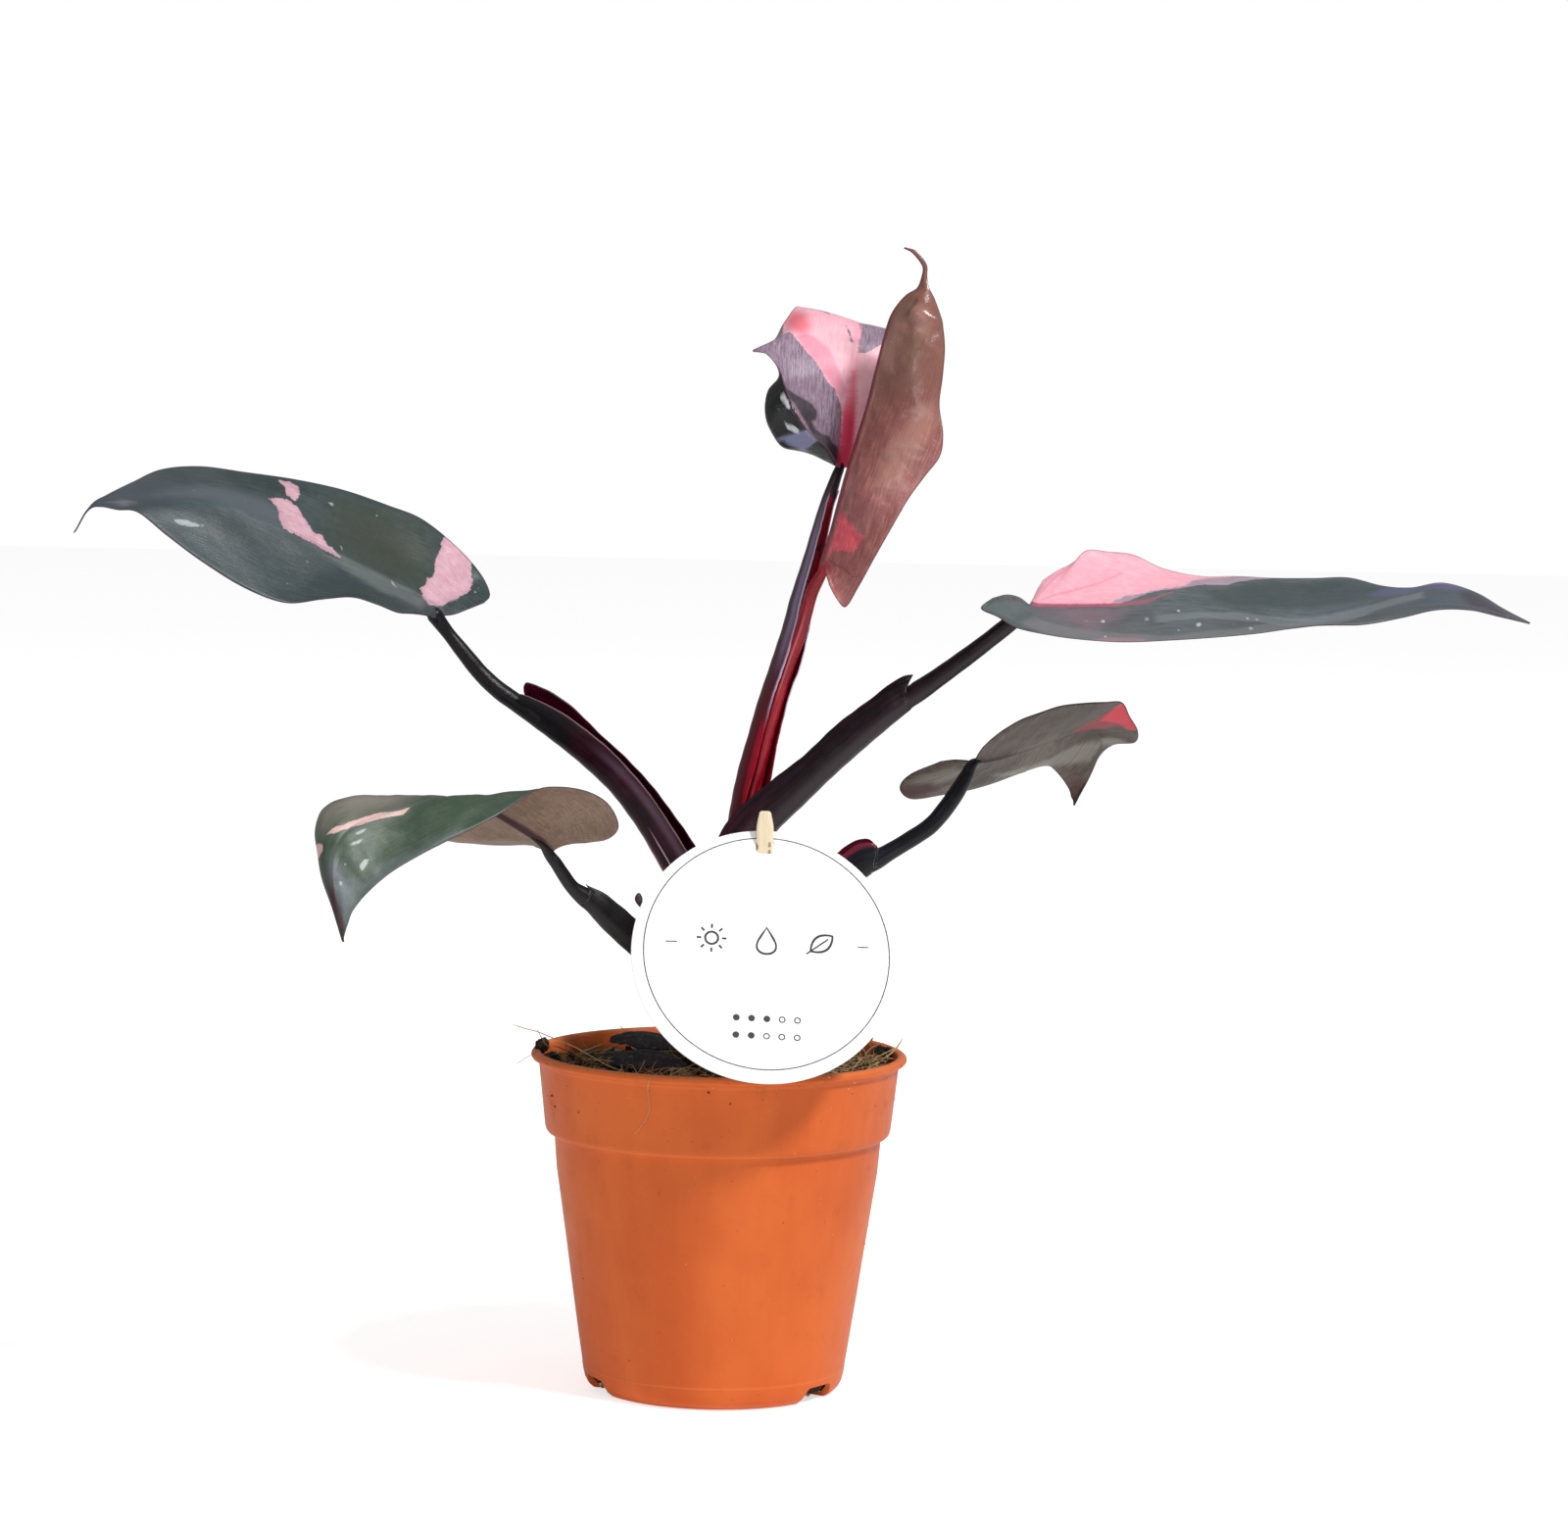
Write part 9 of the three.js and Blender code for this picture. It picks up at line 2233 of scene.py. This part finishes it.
rng = np.random.default_rng(11)
n = 1900
pl = scatter(rng, n, rmax=54.0)
sz = np.clip(rng.lognormal(-0.35, 0.45, n), 0.3, 1.9)
pts = [np.array([x, y, top_at(x, y) + s * 0.25]) for (x, y), s in zip(pl, sz)]
crumbs("soil_crumbs", pts, sz, grit_material("soil_crumb", rgb(22, 16, 14), rgb(50, 36, 28), rgb(84, 62, 44)), 12)

n = 260
pl = scatter(rng, n // 2, (-46, -24, 10, 50), 53) + scatter(rng, n // 2, None, 53)
sz = rng.uniform(0.35, 0.95, len(pl))
pts = [np.array([x, y, top_at(x, y) + s * 0.5]) for (x, y), s in zip(pl, sz)]
crumbs("soil_moss", pts, sz, grit_material("moss_bits", rgb(96, 104, 70), rgb(140, 140, 112), rgb(206, 204, 190)), 13, flat=(0.5, 1.0))

# bark chips
n = 70
pl = scatter(rng, n, None, 51)
sz = rng.uniform(1.2, 2.8, n)
pts = [np.array([x, y, top_at(x, y) + s * 0.1]) for (x, y), s in zip(pl, sz)]
crumbs("soil_chips", pts, sz, grit_material("bark_chips", rgb(36, 24, 20), rgb(70, 44, 34), rgb(104, 70, 50)), 14, flat=(0.25, 0.7))


def fibre_path(rng, x, y, length, lift, curl, steps=9, heading=None):
    a = rng.uniform(0, 2 * math.pi) if heading is None else heading
    el = rng.uniform(-0.05, 0.35) * lift
    k = rng.normal(0, curl)
    p = np.array([x, y, top_at(x, y) + rng.uniform(0.0, 0.9) * lift])
    out = [p.copy()]
    ds = length / steps
    for i in range(steps):
        a += k * ds + rng.normal(0, 0.10)
        el += rng.normal(0, 0.10) - 0.035
        p = p + ds * np.array([math.cos(a) * math.cos(el), math.sin(a) * math.cos(el), math.sin(el)])
        r = math.hypot(p[0], p[1])
        if r > 54.2 and p[2] < 108.6:
            p[0] *= 54.2 / r
            p[1] *= 54.2 / r
            a += 0.5
        z = top_at(p[0], p[1]) + 0.15
        if p[2] < z:
            p[2] = z
            el = abs(el) * 0.4
        out.append(p.copy())
    return np.array(out)


paths, radii, tints = [], [], []
plan = [(None, 300, 1.0, 6, 14, 0.45), ((-30, -6, -52, -30), 150, 1.9, 5, 12, 0.75), ((18, 54, -46, 12), 300, 2.2, 6, 14, 0.8), ((-54, -38, -32, 4), 90, 1.6, 5, 11, 0.5), ((-40, -10, -10, 30), 70, 1.2, 6, 14, 0.5)]
for box, cnt, lift, l0, l1, tone in plan:
    cnt = cnt
    for x, y in scatter(rng, cnt, box, 53):
        paths.append(fibre_path(rng, x, y, rng.uniform(l0, l1), lift, 0.07))
        radii.append(rng.uniform(0.09, 0.21))
        tints.append(float(np.clip(rng.normal(tone, 0.22), 0, 1)))
FIB = grit_material("coir_fibre", rgb(60, 42, 30), rgb(146, 116, 78), rgb(206, 178, 132), rough=0.75)
fibres("soil_fibres", paths, radii, FIB, tints=tints)
long_p = [catmull(np.array(p, float), np.linspace(0, len(p) - 1, (len(p) - 1) * 4 + 1)) for p in PLACES["long"]]
long_p.append(catmull(np.array(PLACES["front"], float), np.linspace(0, len(PLACES["front"]) - 1, 40)))
fibres("loose_fibres", long_p, [0.17, 0.11, 0.15, 0.13, 0.12, 0.3, 0.26, 0.10], FIB, sides=6, tints=[0.8, 0.35, 0.6, 0.4, 0.3, 0.9, 0.85, 0.95])

# clods of dark soil on the rim, left and right, and pale grains in the notches
def clod(rng, cx, cy, cz, rx, ry, rz, n):
    out = []
    for k in range(n):
        v = unit(rng.normal(0, 1, 3)) * rng.uniform(0, 1) ** 0.5
        out.append(np.array([cx + v[0] * rx, cy + v[1] * ry, cz + abs(v[2]) * rz]))
    return out


n = 150
pts = clod(rng, -56.9, 5, 107.5, 1.7, 9, 1.9, n) + clod(rng, -52.5, -12, 106.0, 3.0, 6, 1.6, n) + clod(rng, 45.4, 34.8, 107.3, 3.5, 3.0, 3.2, n) + clod(rng, 52.5, 14, 105.8, 3.0, 6, 2.0, n)
sz = rng.uniform(0.5, 1.5, len(pts))
crumbs("rim_clods", pts, sz, grit_material("clod_grain", rgb(20, 15, 13), rgb(44, 33, 26), rgb(92, 76, 52)), 31)
pts = []
for k in range(3):
    a = math.radians(-35 + 120 * k)
    for q in range(16):
        b = a + rng.uniform(-0.15, 0.15)
        r = rng.uniform(37.6, 38.6)
        pts.append(np.array([r * math.cos(b), r * math.sin(b), rng.uniform(2.0, 4.8)]))
crumbs("notch_grains", pts, rng.uniform(0.3, 0.8, len(pts)), grit_material("pale_grain", rgb(120, 104, 90), rgb(196, 184, 168), rgb(228, 220, 206)), 32)

# specks of soil and dust stuck to the pot
tone = {"w": [], "d": [], "y": []}
for x, y, z, s, t in PLACES["specks"]:
    tone[t].append((np.array([x, y, z]), s))
pale = grit_material("dust_pale", rgb(216, 150, 108), rgb(228, 172, 132), rgb(238, 200, 164), rough=0.8)
darkg = grit_material("dust_dark", rgb(40, 24, 18), rgb(62, 38, 26), rgb(84, 54, 38), rough=0.9)
crumbs("pot_dust_pale", [q[0] for q in tone["w"] + tone["y"]], [q[1] * 0.6 for q in tone["w"] + tone["y"]], pale, 21, flat=(0.5, 0.9))
extra = []
for k in range(70):
    a = rng.uniform(0, 2 * math.pi)
    z = rng.choice([rng.uniform(84, 103), rng.uniform(104.5, 107.5), rng.uniform(3, 80)], p=[0.5, 0.25, 0.25])
    R = np.interp(z, [p[1] for p in POT[5:37]], [p[0] for p in POT[5:37]]) + 0.05
    extra.append((np.array([R * math.cos(a), R * math.sin(a), z]), rng.uniform(0.15, 0.4)))
crumbs("pot_dust_dark", [q[0] for q in tone["d"] + extra], [q[1] * 0.8 for q in tone["d"] + extra], darkg, 22, flat=(0.5, 0.9))
